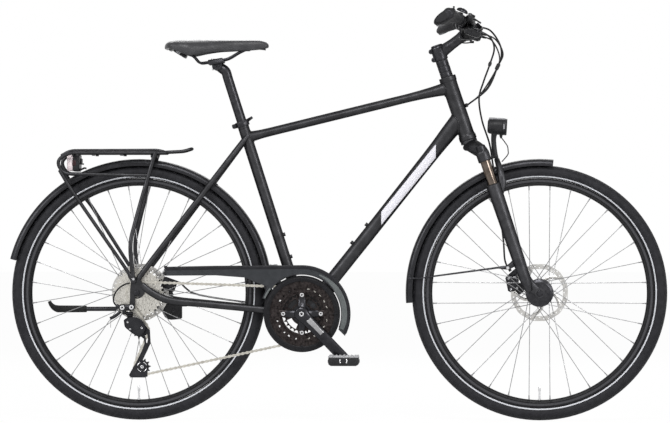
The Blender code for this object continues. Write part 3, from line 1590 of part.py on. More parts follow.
def build_seat_clamp():
    """A split collar at the top of the seat tube, with the quick-release lever that closes it."""
    inner = bore_radius(seat_tube_radius, seat_tube_facets)
    collar = tube(
        "collar", [seat(seat_tube_length - 15 * mm), seat(seat_tube_length - 1 * mm)], inner + 3.2 * mm,
        seat_tube_facets, up=across,
    )
    ear = seat(seat_tube_length - 8 * mm, -inner - 6.5 * mm)
    lug = block(
        "lug", ear, (13 * mm, 16 * mm, 12 * mm), turn=Matrix.Rotation(-seat_angle, 3, "Y"), chamfer=2 * mm
    )
    nut = rod("nut", ear - across * 6 * mm, ear - across * 14 * mm, 6 * mm, 6)
    post = rod("post", ear + across * 6 * mm, ear + across * 14 * mm, 3.5 * mm, 6)
    bore = rod(
        "bore", seat(seat_tube_length - 40 * mm), seat(seat_tube_length + 40 * mm), inner, seat_tube_facets
    )
    slit = block(
        "slit", seat(seat_tube_length - 8 * mm, -inner - 5 * mm), (22 * mm, 1.6 * mm, 10.5 * mm),
        turn=Matrix.Rotation(-seat_angle, 3, "Y"),
    )
    put(fuse("seat_clamp", [collar, lug, nut, post], black_alloy, [bore, slit]), None, seat_top)
    pivot = ear + across * 18.5 * mm
    axis = joint_empty("seat_lever_axis", pivot)
    parts = [
        rod("cam", pivot - seat_up * 6 * mm, pivot + seat_up * 6 * mm, 4.2 * mm, 8),
        tube(
            "blade", [pivot, pivot + seat_forward * 18 * mm + across * 6 * mm,
            pivot + seat_forward * 40 * mm + across * 3 * mm + seat_up * 6 * mm,
                      pivot + seat_forward * 54 * mm - across * 1 * mm + seat_up * 10 * mm],
            [(3.5 * mm, 2 * mm), (5 * mm, 2 * mm), (5.5 * mm, 2 * mm), (4 * mm, 1.6 * mm)], 6, up=seat_up,
        ),
    ]
    put(fuse("seat_clamp_lever", parts, black_alloy), axis)


def build_seatpost():
    """The post slides in the seat tube and bends back to the saddle clamp."""
    head = saddle_rear + Vector((143 * mm, 0, -54 * mm))
    top = seat(seat_tube_length + seatpost_exposed - 22 * mm)
    post = tube(
        "post", [seat(seat_tube_length - 120 * mm), top, top.lerp(head, 0.45) + seat_up * 2 * mm, head],
        [seatpost_radius, seatpost_radius, seatpost_radius * 0.97, 11 * mm], 10, up=across,
    )
    barrel = rod("head", head - across * 18.1 * mm, head + across * 18.1 * mm, 14 * mm, 12)
    yoke = block("yoke", head + Vector((0, 0, 8)) * mm, (40 * mm, 30 * mm, 9 * mm), chamfer=2.5 * mm)
    axis = joint_empty("seatpost_slide", seat_top)
    put(fuse("seatpost", [post, barrel, yoke], black_alloy), axis)
    return axis


saddle_plan = [
    (0, 50, 5, 17), (12, 71, 12, 20), (36, 81, 16, 32), (62, 82.5, 16.8, 43), (80, 77, 16.8, 44),
    (112, 60, 16.8, 38),
    (150, 39, 16.6, 33), (190, 27, 16.4, 31), (235, 21, 16.2, 28), (262, 18, 15.4, 25),
    (277, 14.5, 11.5, 18), (285, 9, 6, 9),
]


def saddle_ring(x, half, top, drop, points):
    """A cross-section of the saddle: a crowned roof with a shallow channel, and wings at its sides."""
    ring = []
    for across_share, height_share in points:
        channel = 2.2 if across_share == 0 and height_share == 0 and half > 20 else 0
        ring.append(
            saddle_rear + Vector(
                (x * mm, half * across_share * mm, (top - drop * height_share - channel) * mm)
            )
        )
    return ring


def build_saddle(axis):
    """A padded cover over a shell that carries the two rails."""
    roof = [
        (-0.94, 1), (-1, 0.6), (-0.93, 0.27), (-0.6, 0.03), (0, 0), (0.6, 0.03), (0.93, 0.27), (1, 0.6),
        (0.94, 1),
    ]
    stretch = saddle_length / (285 * mm)
    wide = saddle_width / (165 * mm)
    rings = []
    for x, half, top, drop in saddle_plan:
        deep = min(drop, 20) / drop
        under = [(0.78, deep), (0, deep), (-0.78, deep)]
        rings.append(saddle_ring(x * stretch, half * wide, top, drop, roof + under))
    put(piece("saddle_pad", loft(rings), saddle_cover), axis)
    shell = [(-0.72, 0), (0, 0.0), (0.72, 0), (0.64, 1), (0, 1), (-0.64, 1)]
    rings = []
    for x, half, top, drop in saddle_plan[1:-1]:
        base = top - min(drop, 20) - 0.6
        rings.append([
            saddle_rear + Vector(
                (x * stretch * mm, half * wide * a * mm, (base - b * 5) * mm)
            ) for a, b in shell
        ])
    parts = [piece("shell", loft(rings))]
    for side in (-1, 1):
        y = side * 22
        line = [
            (38, y * 1.5, -8), (64, y * 1.28, -20), (80, y * 1.1, -31), (95, y, -46.5), (116, y, -45.5),
            (161, y, -38.5),
            (180, y * 0.9, -32), (203, y * 0.72, -18.5), (226, y * 0.55, -8),
        ]
        parts.append(tube("rail", [saddle_rear + Vector(p) * mm for p in line], 3.5 * mm, 5, up=across))
    slant = Matrix.Rotation(math.radians(31.6), 3, "Y")
    rear = saddle_rear + Vector((41, 0, -20.5)) * mm
    parts.append(block("bumper", rear, (38 * mm, 52 * mm, 10 * mm), turn=slant, chamfer=3 * mm))
    put(fuse("saddle_base", parts, black_plastic), axis)


build_seat_clamp()
build_saddle(build_seatpost())


# Handlebar and controls

stem_centre = steer(-head_tube_length - spacer_height - stem_height / 2)
bar_centre = stem_centre + Vector((76, 0, 56)) * mm
bar_line = [
    (0, 0, 0), (0, 28, 0), (-1, 60, 2), (-6, 100, 15), (-12, 140, 28), (-24, 190, 34), (-40, 255, 39),
    (-47, 305, 42),
]
wing_way = Vector((-0.83, 0, -0.558))
lever_axis = Vector((1, 0, 1)).normalized()
upward = Vector((0, 0, 1))


def bar_at(y, side=1):
    """The middle of the bar at a distance from the stem, in millimetres, scaled with the bar's width."""
    y = y * mm / bar_half_width * 305
    for one, two in zip(bar_line, bar_line[1:]):
        if y <= two[1] or two is bar_line[-1]:
            t = (y - one[1]) / (two[1] - one[1])
            x, z = one[0] + (two[0] - one[0]) * t, one[2] + (two[2] - one[2]) * t
            return bar_centre + Vector((x * mm, side * y / 305 * bar_half_width, z * mm))


def build_bar():
    """The stem with its split clamps, and the swept and risen bar."""
    down = -head_tube_length - spacer_height
    ring = rod("ring", steer(down - clearance), steer(down - stem_height), 19.5 * mm, 12)
    arm = tube("arm", [stem_centre, bar_centre], [(15 * mm, 16 * mm), (14 * mm, 14 * mm)], 8, up=across)
    clamp = rod("clamp", bar_centre - across * 22 * mm, bar_centre + across * 22 * mm, 20.5 * mm, 12)
    bolts = [
        rod(
            "bolt", steer(down - rise * mm, -20 * mm, -9 * mm), steer(down - rise * mm, -20 * mm, 9 * mm),
            4.5 * mm, 6,
        ) for rise in (8, 32)
    ]
    bores = [
        rod("bore", steer(down + 0.05), steer(down - 0.1), bore_radius(steerer_radius), 12),
        tube(
            "bar_bore", [bar_centre - across * 0.05, bar_centre + across * 0.05],
            bar_clamp_radius + 1.3 * clearance, 8, up=upward,
        ),
    ]
    put(fuse("stem", [ring, arm, clamp, *bolts], black_alloy, bores), steering)
    half = [bar_at(y) for y in (28, 60, 100, 140, 190, 255, bar_half_width / mm)]
    path = [p + across * -2 * (p.y) for p in reversed(half)] + half
    sizes = [bar_radius] * 5 + [bar_clamp_radius * 0.85, bar_clamp_radius]
    put(tube("handlebar", path, sizes + sizes[::-1], 8, black_alloy, up=upward), steering)


def build_grip(side, name):
    """A rubber grip with a palm wing, bored for the bar."""
    end = bar_half_width / mm
    core = tube("core", [bar_at(y, side) for y in (184, 255, end + 7)], grip_radius, 8, up=wing_way)
    wing = [
        (204, 1, 13, 13), (226, 4, 20, 14.5), (262, 11, 29, 15), (292, 14, 34, 15.5), (end + 8, 12, 30, 11)
    ]
    wings = tube(
        "wing", [bar_at(y, side) + wing_way * off * mm for y, off, _, _ in wing],
        [(a * mm, b * mm) for _, _, a, b in wing], 8, up=wing_way,
    )
    bore = tube(
        "bore", [bar_at(y, side) for y in (150, 190, 255, end + 0.4)], bar_radius + 1.6 * clearance, 8,
        up=upward,
    )
    put(fuse(name, [core, wings], rubber, [bore]), steering)


def build_controls(side, word):
    """A brake master cylinder and a shifter pod on their bar clamps, with the two levers."""
    def near_bar(y, x, z):
        return bar_at(y, side) + Vector((x, 0, z)) * mm

    parts = [
        tube("clamp", [bar_at(150, side), bar_at(166, side)], 16.5 * mm, 8, up=across),
        tube("band", [bar_at(110, side), bar_at(122, side)], 16 * mm, 8, up=across),
        tube(
            "cylinder",
            [near_bar(166, 24, 4), near_bar(160, 25, 5), near_bar(110, 22, 3), near_bar(96, 30, 2)],
            [7 * mm, 11 * mm, 10 * mm, 6 * mm], 8,
        ),
        block(
            "pod", near_bar(124, 26, -24), (44 * mm, 40 * mm, 24 * mm),
            turn=Matrix.Rotation(math.radians(20), 3, "Y"), chamfer=6 * mm,
        ),
    ]
    pivot = near_bar(148, 45, -12)
    for step in (-1, 1):
        parts.append(
            tube(
                "lug",
                [near_bar(148, 27, 4) + lever_axis * step * 4.5 * mm, pivot + lever_axis * step * 9.4 * mm],
                [(5 * mm, 2.5 * mm), (5 * mm, 2 * mm)], 6, up=across,
            )
        )
    bore = tube(
        "bore", [bar_at(y, side) for y in (60, 100, 140, 190)], bar_radius + 1.6 * clearance, 8, up=upward
    )
    put(fuse(f"control_{word}", parts, black_plastic, [bore]), steering)
    axis = joint_empty(f"brake_lever_{word}_axis", pivot, steering)
    reach = [(0, 0, 0), (9, 22, -10), (8, 55, -17), (0, 86, -20)]
    blade = tube(
        "blade", [pivot + Vector((x, y * side, z)) * mm for x, y, z in reach],
        [
            (5 * mm, 4 * mm), (4 * mm, 6 * mm), (3.5 * mm, 7 * mm), (3.5 * mm, 7 * mm)
        ], 8, up=Vector((-1, 0, 1)),
    )
    barrel = rod("barrel", pivot - lever_axis * 5 * mm, pivot + lever_axis * 5 * mm, 5 * mm, 8)
    put(fuse(f"brake_lever_{word}", [blade, barrel], black_alloy), axis)
    thumb = near_bar(128, 24, -43.5)
    axis = joint_empty(f"shift_lever_{word}_axis", thumb, steering)
    paddle = [
        rod("hub", thumb + Vector((0, 0, 3.4)) * mm, thumb - Vector((0, 0, 3)) * mm, 6 * mm, 8),
        tube(
            "paddle",
            [thumb, thumb + Vector((-18, 8 * side, -2)) * mm, thumb + Vector((-36, 20 * side, 1)) * mm],
            [(2 * mm, 5 * mm), (2 * mm, 6 * mm), (2 * mm, 8 * mm)], 6, up=Vector((0, 0, 1)),
        ),
    ]
    put(fuse(f"shift_lever_{word}", paddle, black_plastic), axis)


def build_bell():
    """A domed bell on its own band, and its sprung striker."""
    foot = bar_at(175, -1)
    band = tube("band", [bar_at(171, -1), bar_at(179, -1)], 14.5 * mm, 8, up=across)
    tilt = Vector((0.4, 0, 0.92)).normalized()
    dome = turned(
        "dome",
        [
            (5 * mm, 11 * mm), (5 * mm, 20 * mm), (16 * mm, 21 * mm), (16 * mm, 25 * mm),
            (11 * mm, 30 * mm), (0, 32 * mm),
        ],
        foot, axis=tilt, facets=12,
    )
    pivot = foot + tilt * 16.5 * mm - Vector((9.5, 0, -4)) * mm
    arm = Vector((-9, 0, 4)).normalized()
    post = rod("post", foot + tilt * 14 * mm, pivot - arm * 0.9 * mm, 2.2 * mm, 6)
    bore = tube(
        "bore", [bar_at(y, -1) for y in (140, 190, 200)], bar_radius + 1.6 * clearance, 8, up=upward
    )
    put(fuse("bell", [band, dome, post], black_alloy, [bore]), steering)
    axis = joint_empty("bell_striker_axis", pivot, steering)
    put(
        tube(
            "bell_striker", [pivot, pivot + Vector((-9, 0, 4)) * mm, pivot + Vector((-11, 0, 16)) * mm],
            [1.8 * mm, 1.6 * mm, 2.6 * mm], 6, black_alloy,
        ),
        axis,
    )


def build_cables():
    """The hoses and cables that hang ahead of the head tube, along the routes in the photograph."""
    def hang(x, y, z):
        """A point of a loop below the bar, in millimetres from the middle of the stem's clamp."""
        return stem_centre + Vector((x, y, z)) * mm

    def near(side, y, x, z):
        return bar_at(y, side) + Vector((x, 0, z)) * mm

    port = steer(-89 * mm, head_tube_radius / math.cos(math.radians(15)) + 2.8 * mm)
    rise = Vector((3, 0, 5)) * mm
    rear_hose = [
        near(-1, 93.2, 28, 2), hang(139, -78, 62), hang(166, -46, 27), hang(172, -20, -6),
        hang(162, -8, -35), hang(130, -4, -99),
    ]
    rear_shift = [
        near(-1, 101.5, 46, -20), hang(154, -84, 37), hang(176, -40, -1), hang(162, -5, -36),
        hang(134, 0, -97),
    ]
    front_shift = [
        near(1, 101.5, 46, -20), hang(146, 84, 39), hang(166, 40, -3), hang(160, 0, -39), hang(118, 5, -107)
    ]
    rear_hose += [port + rise - across * 6 * mm, port - across * 6 * mm]
    rear_shift += [port + rise + across * 1 * mm, port + across * 1 * mm]
    front_shift += [port + rise + across * 7 * mm, port + across * 7 * mm]
    parts = [
        tube("rear_hose", curve(rear_hose, 2), 2.5 * mm, 5),
        tube("rear_shift", curve(rear_shift, 2), 2.1 * mm, 4),
        tube("front_shift", curve(front_shift, 2), 2.1 * mm, 4),
        rod("clip", hang(165, -5, -28), hang(157, -3, -45), 6 * mm, 8),
    ]
    put(fuse("control_cables", parts, rubber), steering)
    front_hose = [
        near(1, 93.2, 28, 2), hang(138, 86, 51), hang(152, 60, 17), hang(140, 38, -28),
        hang(122, 30, -78), hang(110, 32, -123), steer(-40 * mm, 53 * mm, 36 * mm),
        steer(28 * mm, 52 * mm, 38 * mm), steer(83 * mm, 43 * mm, 38 * mm), from_front(-114, 37.5, 258),
        from_front(-100, 37.5, 148), from_front(-95, 38, 88), from_front(-80, 38, 60),
    ]
    put(tube("front_brake_hose", curve(front_hose, 2), 2.5 * mm, 5, rubber), steering)


build_bar()
build_grip(-1, "grip_right")
build_grip(1, "grip_left")
build_controls(-1, "right")
build_controls(1, "left")
build_bell()
build_cables()
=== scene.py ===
import bmesh
import bpy
import json
from math import asin, atan2, ceil, cos, pi, radians, sin, sqrt
from mathutils import Matrix, Vector


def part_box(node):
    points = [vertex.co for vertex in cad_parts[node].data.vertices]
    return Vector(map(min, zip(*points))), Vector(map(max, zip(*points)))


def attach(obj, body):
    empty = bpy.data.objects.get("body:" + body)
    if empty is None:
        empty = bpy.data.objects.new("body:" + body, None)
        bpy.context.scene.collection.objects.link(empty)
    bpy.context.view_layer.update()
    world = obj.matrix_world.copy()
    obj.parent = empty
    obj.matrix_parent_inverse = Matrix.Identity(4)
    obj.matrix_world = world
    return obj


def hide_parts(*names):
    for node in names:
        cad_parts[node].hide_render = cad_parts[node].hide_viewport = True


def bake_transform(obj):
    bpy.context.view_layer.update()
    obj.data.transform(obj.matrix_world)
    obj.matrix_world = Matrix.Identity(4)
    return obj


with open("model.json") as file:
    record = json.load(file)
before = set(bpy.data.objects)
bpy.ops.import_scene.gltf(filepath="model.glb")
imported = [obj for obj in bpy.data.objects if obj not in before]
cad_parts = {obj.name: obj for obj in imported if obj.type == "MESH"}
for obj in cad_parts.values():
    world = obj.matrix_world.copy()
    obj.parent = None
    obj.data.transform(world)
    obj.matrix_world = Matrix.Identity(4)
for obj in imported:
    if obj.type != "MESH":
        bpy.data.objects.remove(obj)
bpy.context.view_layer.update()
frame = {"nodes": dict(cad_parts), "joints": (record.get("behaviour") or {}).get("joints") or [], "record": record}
nodes = frame["nodes"]
scene = bpy.context.scene
mm = 0.001


# camera, floor and light

view = {
    "lens": 238,
    "distance": 12.25,
    "middle": (-0.008, 0.577),
    "sideStep": 0.43,      # the camera stands a little toward the front wheel
    "lampPower": 190,
    "skyStrength": 0.32,
    "floorWhite": 0.97,
}


def aim(thing, target):
    direction = Vector(target) - thing.location
    thing.rotation_euler = direction.to_track_quat("-Z", "Y").to_euler()


def addCamera():
    data = bpy.data.cameras.new("camera")
    camera = bpy.data.objects.new("camera", data)
    scene.collection.objects.link(camera)
    data.lens = view["lens"]
    data.sensor_width = 36
    data.clip_end = 100
    x, z = view["middle"]
    camera.location = (x + view["sideStep"], -view["distance"], z)
    aim(camera, (x, 0, z))
    scene.camera = camera


def addLamp(name, place, size, power, target=(0, 0, 0.5)):
    data = bpy.data.lights.new(name, "AREA")
    data.energy = power
    data.size = size
    lamp = bpy.data.objects.new(name, data)
    scene.collection.objects.link(lamp)
    lamp.location = place
    aim(lamp, target)


def feed(tree, socket, value):
    if isinstance(value, bpy.types.NodeSocket):
        tree.links.new(value, socket)
    else:
        socket.default_value = value


def addNode(tree, kind, inputs=()):
    # A shader node; each input is a value or the output that feeds it.
    node = tree.nodes.new("ShaderNode" + kind)
    for key, value in dict(inputs).items():
        feed(tree, node.inputs[key], value)
    return node


def mathNode(tree, operation, *values):
    node = addNode(tree, "Math", enumerate(values))
    node.operation = operation
    return node.outputs[0]


def backgroundRays(tree):
    rays = addNode(tree, "LightPath").outputs
    seen = mathNode(tree, "MAXIMUM", rays["Is Camera Ray"], rays["Is Glossy Ray"])
    return mathNode(tree, "MAXIMUM", seen, rays["Is Transmission Ray"])


def whiteSky():
    world = bpy.data.worlds.new("studio")
    scene.world = world
    world.use_nodes = True
    tree = world.node_tree
    tree.nodes.clear()
    plain = addNode(tree, "Background", {"Color": (0.95, 0.97, 1, 1), "Strength": view["skyStrength"]})
    white = addNode(tree, "Background", {"Color": (1, 1, 1, 1), "Strength": 1})
    mix = addNode(
        tree, "MixShader", {"Fac": backgroundRays(tree), 1: plain.outputs[0], 2: white.outputs[0]}
    )
    addNode(tree, "OutputWorld", {"Surface": mix.outputs[0]})


def addFloor():
    bm = bmesh.new()
    bmesh.ops.create_grid(bm, x_segments=2, y_segments=2, size=30)
    mesh = bpy.data.meshes.new("floor")
    bm.to_mesh(mesh)
    bm.free()
    floor = bpy.data.objects.new("floor", mesh)
    scene.collection.objects.link(floor)
    material = bpy.data.materials.new("paleFloor")
    material.use_nodes = True
    tree = material.node_tree
    shader = tree.nodes["Principled BSDF"]
    shader.inputs["Base Color"].default_value = (0.9, 0.9, 0.9, 1)
    shader.inputs["Roughness"].default_value = 0.9
    glow = addNode(tree, "Emission", {"Color": (1, 1, 1, 1), "Strength": 1})
    share = mathNode(tree, "MULTIPLY", backgroundRays(tree), view["floorWhite"])
    mix = addNode(tree, "MixShader", {"Fac": share, 1: shader.outputs[0], 2: glow.outputs[0]})
    tree.links.new(mix.outputs[0], tree.nodes["Material Output"].inputs["Surface"])
    mesh.materials.append(material)


scene.view_settings.view_transform = "Standard"
addCamera()
addLamp("topLamp", (0.1, -4.0, 4.4), 1.8, view["lampPower"] * 0.8)
addLamp("leftLamp", (-3.6, -3.4, 2.2), 1.5, view["lampPower"] * 0.45)
addLamp("rightLamp", (3.5, -3.6, 1.9), 1.5, view["lampPower"] * 0.4)
addLamp("backLamp", (0.2, 3.8, 3.4), 3.6, view["lampPower"] * 0.6)
whiteSky()
addFloor()
print("camera, floor and light are set")


# places that the frame gives

def middleOf(node):
    low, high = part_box(node)
    return (low + high) / 2


def jointAt(name):
    for joint in frame["joints"]:
        if joint["name"] == name:
            return Vector(joint["pos_m"]) if "pos_m" in joint else None, Vector(joint["axis"])


across = Vector((0, 1, 0))
rearHub = middleOf("rear_tyre")
frontHub = middleOf("front_tyre")
crankCentre = middleOf("chainring_middle")
crankCentre.y = 0
headBottom, steerUp = jointAt("steering")
steerDown = -steerUp
steerForward = Vector((steerUp.z, 0, steerDown.x))
seatUp = jointAt("seatpost_slide")[1].normalized()
if seatUp.z < 0:
    seatUp = -seatUp
seatForward = Vector((seatUp.z, 0, -seatUp.x))


def moved(place, x, y, z):
    return place + Vector((x, y, z)) * mm


def outFrom(place, way, reach, y=0):
    # A point a reach out along a way and then y to the left, in millimetres.
    return place + way * reach * mm + across * y * mm


def steer(down, forward=0, y=0):
    # A point in millimetres from the foot of the head tube, down and ahead of the steering axis.
    return headBottom + (steerDown * down + steerForward * forward + across * y) * mm


def seat(up, forward=0, y=0):
    return crankCentre + (seatUp * up + seatForward * forward + across * y) * mm


def fromRear(x, y, z):
    return moved(rearHub, x, y, z)


def fromFront(x, y, z):
    return moved(frontHub, x, y, z)


def fromCrank(x, y, z):
    return moved(crankCentre, x, y, z)


# finishes

def finish(
    name, dark, light, roughness, metallic=0.0, grain=60, bump=0.0, bumpScale=900, coat=0.0, sheen=0.0,
    worn=0.12, level=0.14, edge=1.0,
):
    # A material with two tones, a changing gloss and a fine bump, all from noise in the piece's own space.
    made = bpy.data.materials.new(name)
    made.use_nodes = True
    tree = made.node_tree
    place = addNode(tree, "TexCoord").outputs["Object"]
    cloud = addNode(tree, "TexNoise", {"Scale": grain, "Detail": 4, "Vector": place})
    tones = addNode(tree, "ValToRGB", {"Fac": cloud.outputs["Fac"]})
    for stop, position, colour in zip(tones.color_ramp.elements, (0.3, 0.7), (dark, light)):
        stop.position = position
        stop.color = (*colour, 1)
    smear = addNode(tree, "TexNoise", {"Scale": grain * 2.7, "Vector": place})
    gloss = addNode(tree, "MapRange", {
        "Value": smear.outputs["Fac"], "From Min": 0.3, "From Max": 0.7,
        "To Min": max(0.03, roughness - worn / 2), "To Max": min(1, roughness + worn / 2),
    })
    shade(made, {
        "Metallic": metallic, "Specular IOR Level": level, "Specular Tint": (edge, edge, edge, 1),
        "Coat Weight": coat, "Coat Roughness": 0.25, "Sheen Weight": sheen,
        "Base Color": tones.outputs["Color"], "Roughness": gloss.outputs["Result"],
    })
    if bump:
        fine = addNode(tree, "TexNoise", {"Scale": bumpScale, "Vector": place})
        raised(made, fine.outputs["Fac"], bump)
    return made


def shade(made, inputs):
    # Sets or links inputs of a material's main shader.
    tree = made.node_tree
    for key, value in inputs.items():
        feed(tree, tree.nodes["Principled BSDF"].inputs[key], value)


def raised(made, height, strength, distance=0.0004):
    relief = addNode(made.node_tree, "Bump", {"Strength": strength, "Distance": distance, "Height": height})
    shade(made, {"Normal": relief.outputs["Normal"]})


def tinted(made, share, colour):
    # The two tones give way to a plain colour where the share is one.
    tree = made.node_tree
    mix = tree.nodes.new("ShaderNodeMix")
    mix.data_type = "RGBA"
    inputs = {"A": tree.nodes["Color Ramp"].outputs["Color"], "B": (*colour, 1), "Factor": share}
    for key, value in inputs.items():
        feed(tree, mix.inputs[key], value)
    shade(made, {"Base Color": mix.outputs["Result"]})


def within(tree, value, low, high):
    # One where a distance is between two limits in millimetres, else zero.
    above = mathNode(tree, "GREATER_THAN", value, low * mm)
    below = mathNode(tree, "LESS_THAN", value, high * mm)
    return mathNode(tree, "MULTIPLY", above, below)


paint = finish(
    "satinBlackPaint", (0.032, 0.032, 0.034), (0.046, 0.046, 0.049), 0.38, metallic=0.85, grain=40,
    bump=0.06, bumpScale=1400, edge=0.0,
)
plastic = finish(
    "mouldedBlackPlastic", (0.012, 0.012, 0.013), (0.020, 0.020, 0.022), 0.4, grain=90, bump=0.25,
    bumpScale=1800, level=0.2,
)
rubber = finish(
    "blackRubber", (0.014, 0.014, 0.014), (0.024, 0.024, 0.024), 0.7, grain=120, bump=0.4, bumpScale=1500
)
anodised = finish(
    "blackAnodised", (0.030, 0.030, 0.033), (0.050, 0.050, 0.054), 0.3, metallic=0.85, grain=110, bump=0.1,
    bumpScale=1600, edge=0.0,
)
forged = finish(
    "blackForging", (0.026, 0.026, 0.029), (0.042, 0.042, 0.046), 0.24, metallic=0.85, grain=50, bump=0.08,
    edge=0.0,
)
brightSteel = finish(
    "brightSteel", (0.55, 0.55, 0.56), (0.72, 0.72, 0.73), 0.26, metallic=1, grain=160, bump=0.12,
    bumpScale=2400, worn=0.2,
)
spokeSteel = finish(
    "spokeSteel", (0.22, 0.22, 0.225), (0.34, 0.34, 0.345), 0.4, metallic=0.85, grain=90, bump=0.1,
    bumpScale=3000, worn=0.2,
)
chainSteel = finish(
    "nickelChain", (0.44, 0.42, 0.38), (0.62, 0.60, 0.54), 0.33, metallic=1, grain=140, bump=0.2,
    bumpScale=2200, worn=0.25,
)
cogSteel = finish(
    "cogSteel", (0.52, 0.50, 0.46), (0.70, 0.68, 0.63), 0.3, metallic=1, grain=120, bump=0.15,
    bumpScale=2600, worn=0.22,
)
smokePlastic = finish(
    "darkGreyPlastic", (0.032, 0.034, 0.037), (0.045, 0.047, 0.051), 0.42, grain=70, bump=0.2,
    bumpScale=1500,
)
bronze = finish(
    "bronzeStanchion", (0.085, 0.068, 0.056), (0.17, 0.14, 0.118), 0.14, metallic=1, grain=60, bump=0.05,
    bumpScale=3000, edge=0.3,
)
redLens = finish(
    "maroonBand", (0.036, 0.016, 0.018), (0.052, 0.026, 0.028), 0.3, grain=80, bump=0.2, bumpScale=700
)
slotFinish = {
    "paint_black": paint, "plastic_black": plastic, "rubber_black": rubber, "tyre_black": rubber,
    "alloy_black": anodised, "steel_bright": brightSteel, "steel_chain": chainSteel,
    "plastic_grey": smokePlastic, "saddle_cover": rubber, "lens_red": redLens,
}


def dressFrame():
    # Every CAD node starts with the finish of its slot; finer pieces below replace most of them.
    for entry in frame["record"]["subparts"]:
        mesh = nodes[entry["node"]].data
        mesh.materials.clear()
        mesh.materials.append(slotFinish[entry["material_slot"]])


dressFrame()
print("finishes are made")


# ways of making a piece

def addPiece(name, bm, body, material, stands=(), sharp=35):
    bmesh.ops.remove_doubles(bm, verts=bm.verts, dist=1e-6)
    bmesh.ops.recalc_face_normals(bm, faces=bm.faces)
    mesh = bpy.data.meshes.new(name)
    bm.to_mesh(mesh)
    bm.free()
    mesh.shade_smooth()
    mesh.set_sharp_from_angle(angle=radians(sharp))
    thing = bpy.data.objects.new(name, mesh)
    scene.collection.objects.link(thing)
    for each in material if isinstance(material, (list, tuple)) else [material]:
        mesh.materials.append(each)
    if body:
        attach(thing, body)
    if stands:
        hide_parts(*stands)
    return thing


def paintFrom(bm, known, number):
    # Gives the faces that aren't known yet another material, and returns all that are known now.
    for face in bm.faces:
        if face not in known:
            face.material_index = number
    return set(bm.faces)


def rounded(profile, radius, closed=False, steps=3):
    # The same profile with each corner drawn as a short arc.
    points = [Vector(p) for p in profile]
    found = []
    for k, corner in enumerate(points):
        if not closed and k in (0, len(points) - 1):
            found.append(corner)
            continue
        before, after = points[k - 1], points[(k + 1) % len(points)]
        reach = min(radius, (before - corner).length * 0.45, (after - corner).length * 0.45)
        one = corner + (before - corner).normalized() * reach
        two = corner + (after - corner).normalized() * reach
        for i in range(steps + 1):
            t = i / steps
            found.append(one * (1 - t) ** 2 + corner * 2 * t * (1 - t) + two * t * t)
    return found


def spun(bm, profile, centre, axis=across, steps=96, closed=False, turn=2 * pi, start=None):
    # Spins a profile of (radius, along) in millimetres about an axis.
    axis = Vector(axis).normalized()
    side = Vector(start) if start else (Vector((0, 0, 1)) if abs(axis.z) < 0.9 else Vector((1, 0, 0)))
    side = (side - axis * side.dot(axis)).normalized()
    verts = [bm.verts.new(centre + side * (radius * mm) + axis * (along * mm)) for radius, along in profile]
    pairs = list(zip(verts, verts[1:]))
    if closed:
        pairs.append((verts[-1], verts[0]))
    edges = [bm.edges.new(pair) for pair in pairs]
    full = turn > 2 * pi - 1e-6
    made = bmesh.ops.spin(
        bm, geom=verts + edges, cent=centre, axis=axis, dvec=(0, 0, 0), angle=turn, steps=steps,
        use_merge=full, use_normal_flip=False, use_duplicate=False,
    )
    if closed and not full:
        last = [g for g in made["geom_last"] if isinstance(g, bmesh.types.BMEdge)]
        bmesh.ops.edgeloop_fill(bm, edges=edges)
        bmesh.ops.edgeloop_fill(bm, edges=last)
    return verts


def placesAlong(path, up):
    side = Vector(up)
    found = []
    for k, point in enumerate(path):
        along = (path[min(k + 1, len(path) - 1)] - path[max(k - 1, 0)]).normalized()
        side = side - along * side.dot(along)
        if side.length < 1e-4:
            side = along.orthogonal()
        side.normalize()
        turn = Matrix((side, along.cross(side), along)).transposed().to_4x4()
        found.append(Matrix.Translation(point) @ turn)
    return found


def drawThrough(bm, edges, places):
    # Extrudes a ring of edges from each place to the next.
    for one, two in zip(places, places[1:]):
        made = bmesh.ops.extrude_edge_only(bm, edges=edges)
        verts = [g for g in made["geom"] if isinstance(g, bmesh.types.BMVert)]
        fresh = set(verts)
        edges = [g for g in made["geom"] if isinstance(g, bmesh.types.BMEdge)]
        edges = [e for e in edges if all(v in fresh for v in e.verts)]
        bmesh.ops.transform(bm, matrix=two @ one.inverted(), verts=verts)
    return edges


def firstRing(bm, segments, radius, place):
    made = bmesh.ops.create_circle(bm, cap_ends=False, segments=segments, radius=radius, matrix=place)
    return list({e for v in made["verts"] for e in v.link_edges})


def sweep(bm, path, sizes, segments=16, up=(0, 1, 0), soft=0.0):
    # Draws a circle along a path. Sizes are radii or pairs of them in millimetres; soft rounds the ends.
    path = [Vector(p) for p in path]
    sizes = sizes if isinstance(sizes, list) else [sizes] * len(path)
    sizes = [s if isinstance(s, tuple) else (s, s) for s in sizes]
    sizes = [(a * mm, b * mm) for a, b in sizes]
    run = list(zip(placesAlong(path, up), sizes))
    if soft:
        soft *= mm
        ends = []
        for (place, size), way in ((run[0], 1), (run[-1], -1)):
            for angle in (90, 60, 30, 0):
                rise = way * soft * (1 - sin(radians(angle)))
                drop = soft * (1 - cos(radians(angle)))
                less = tuple(max(s - drop, 1e-4) for s in size) if angle else size
                ends.append((place @ Matrix.Translation((0, 0, rise)), less))
        run = ends[:4] + run[1:-1] + ends[:3:-1]
    shapes = [place @ Matrix.Diagonal((a, b, (a + b) / 2, 1)) for place, (a, b) in run]
    opening = firstRing(bm, segments, 1, shapes[0])
    closing = drawThrough(bm, opening, shapes)
    bmesh.ops.edgeloop_fill(bm, edges=opening)
    bmesh.ops.edgeloop_fill(bm, edges=closing)


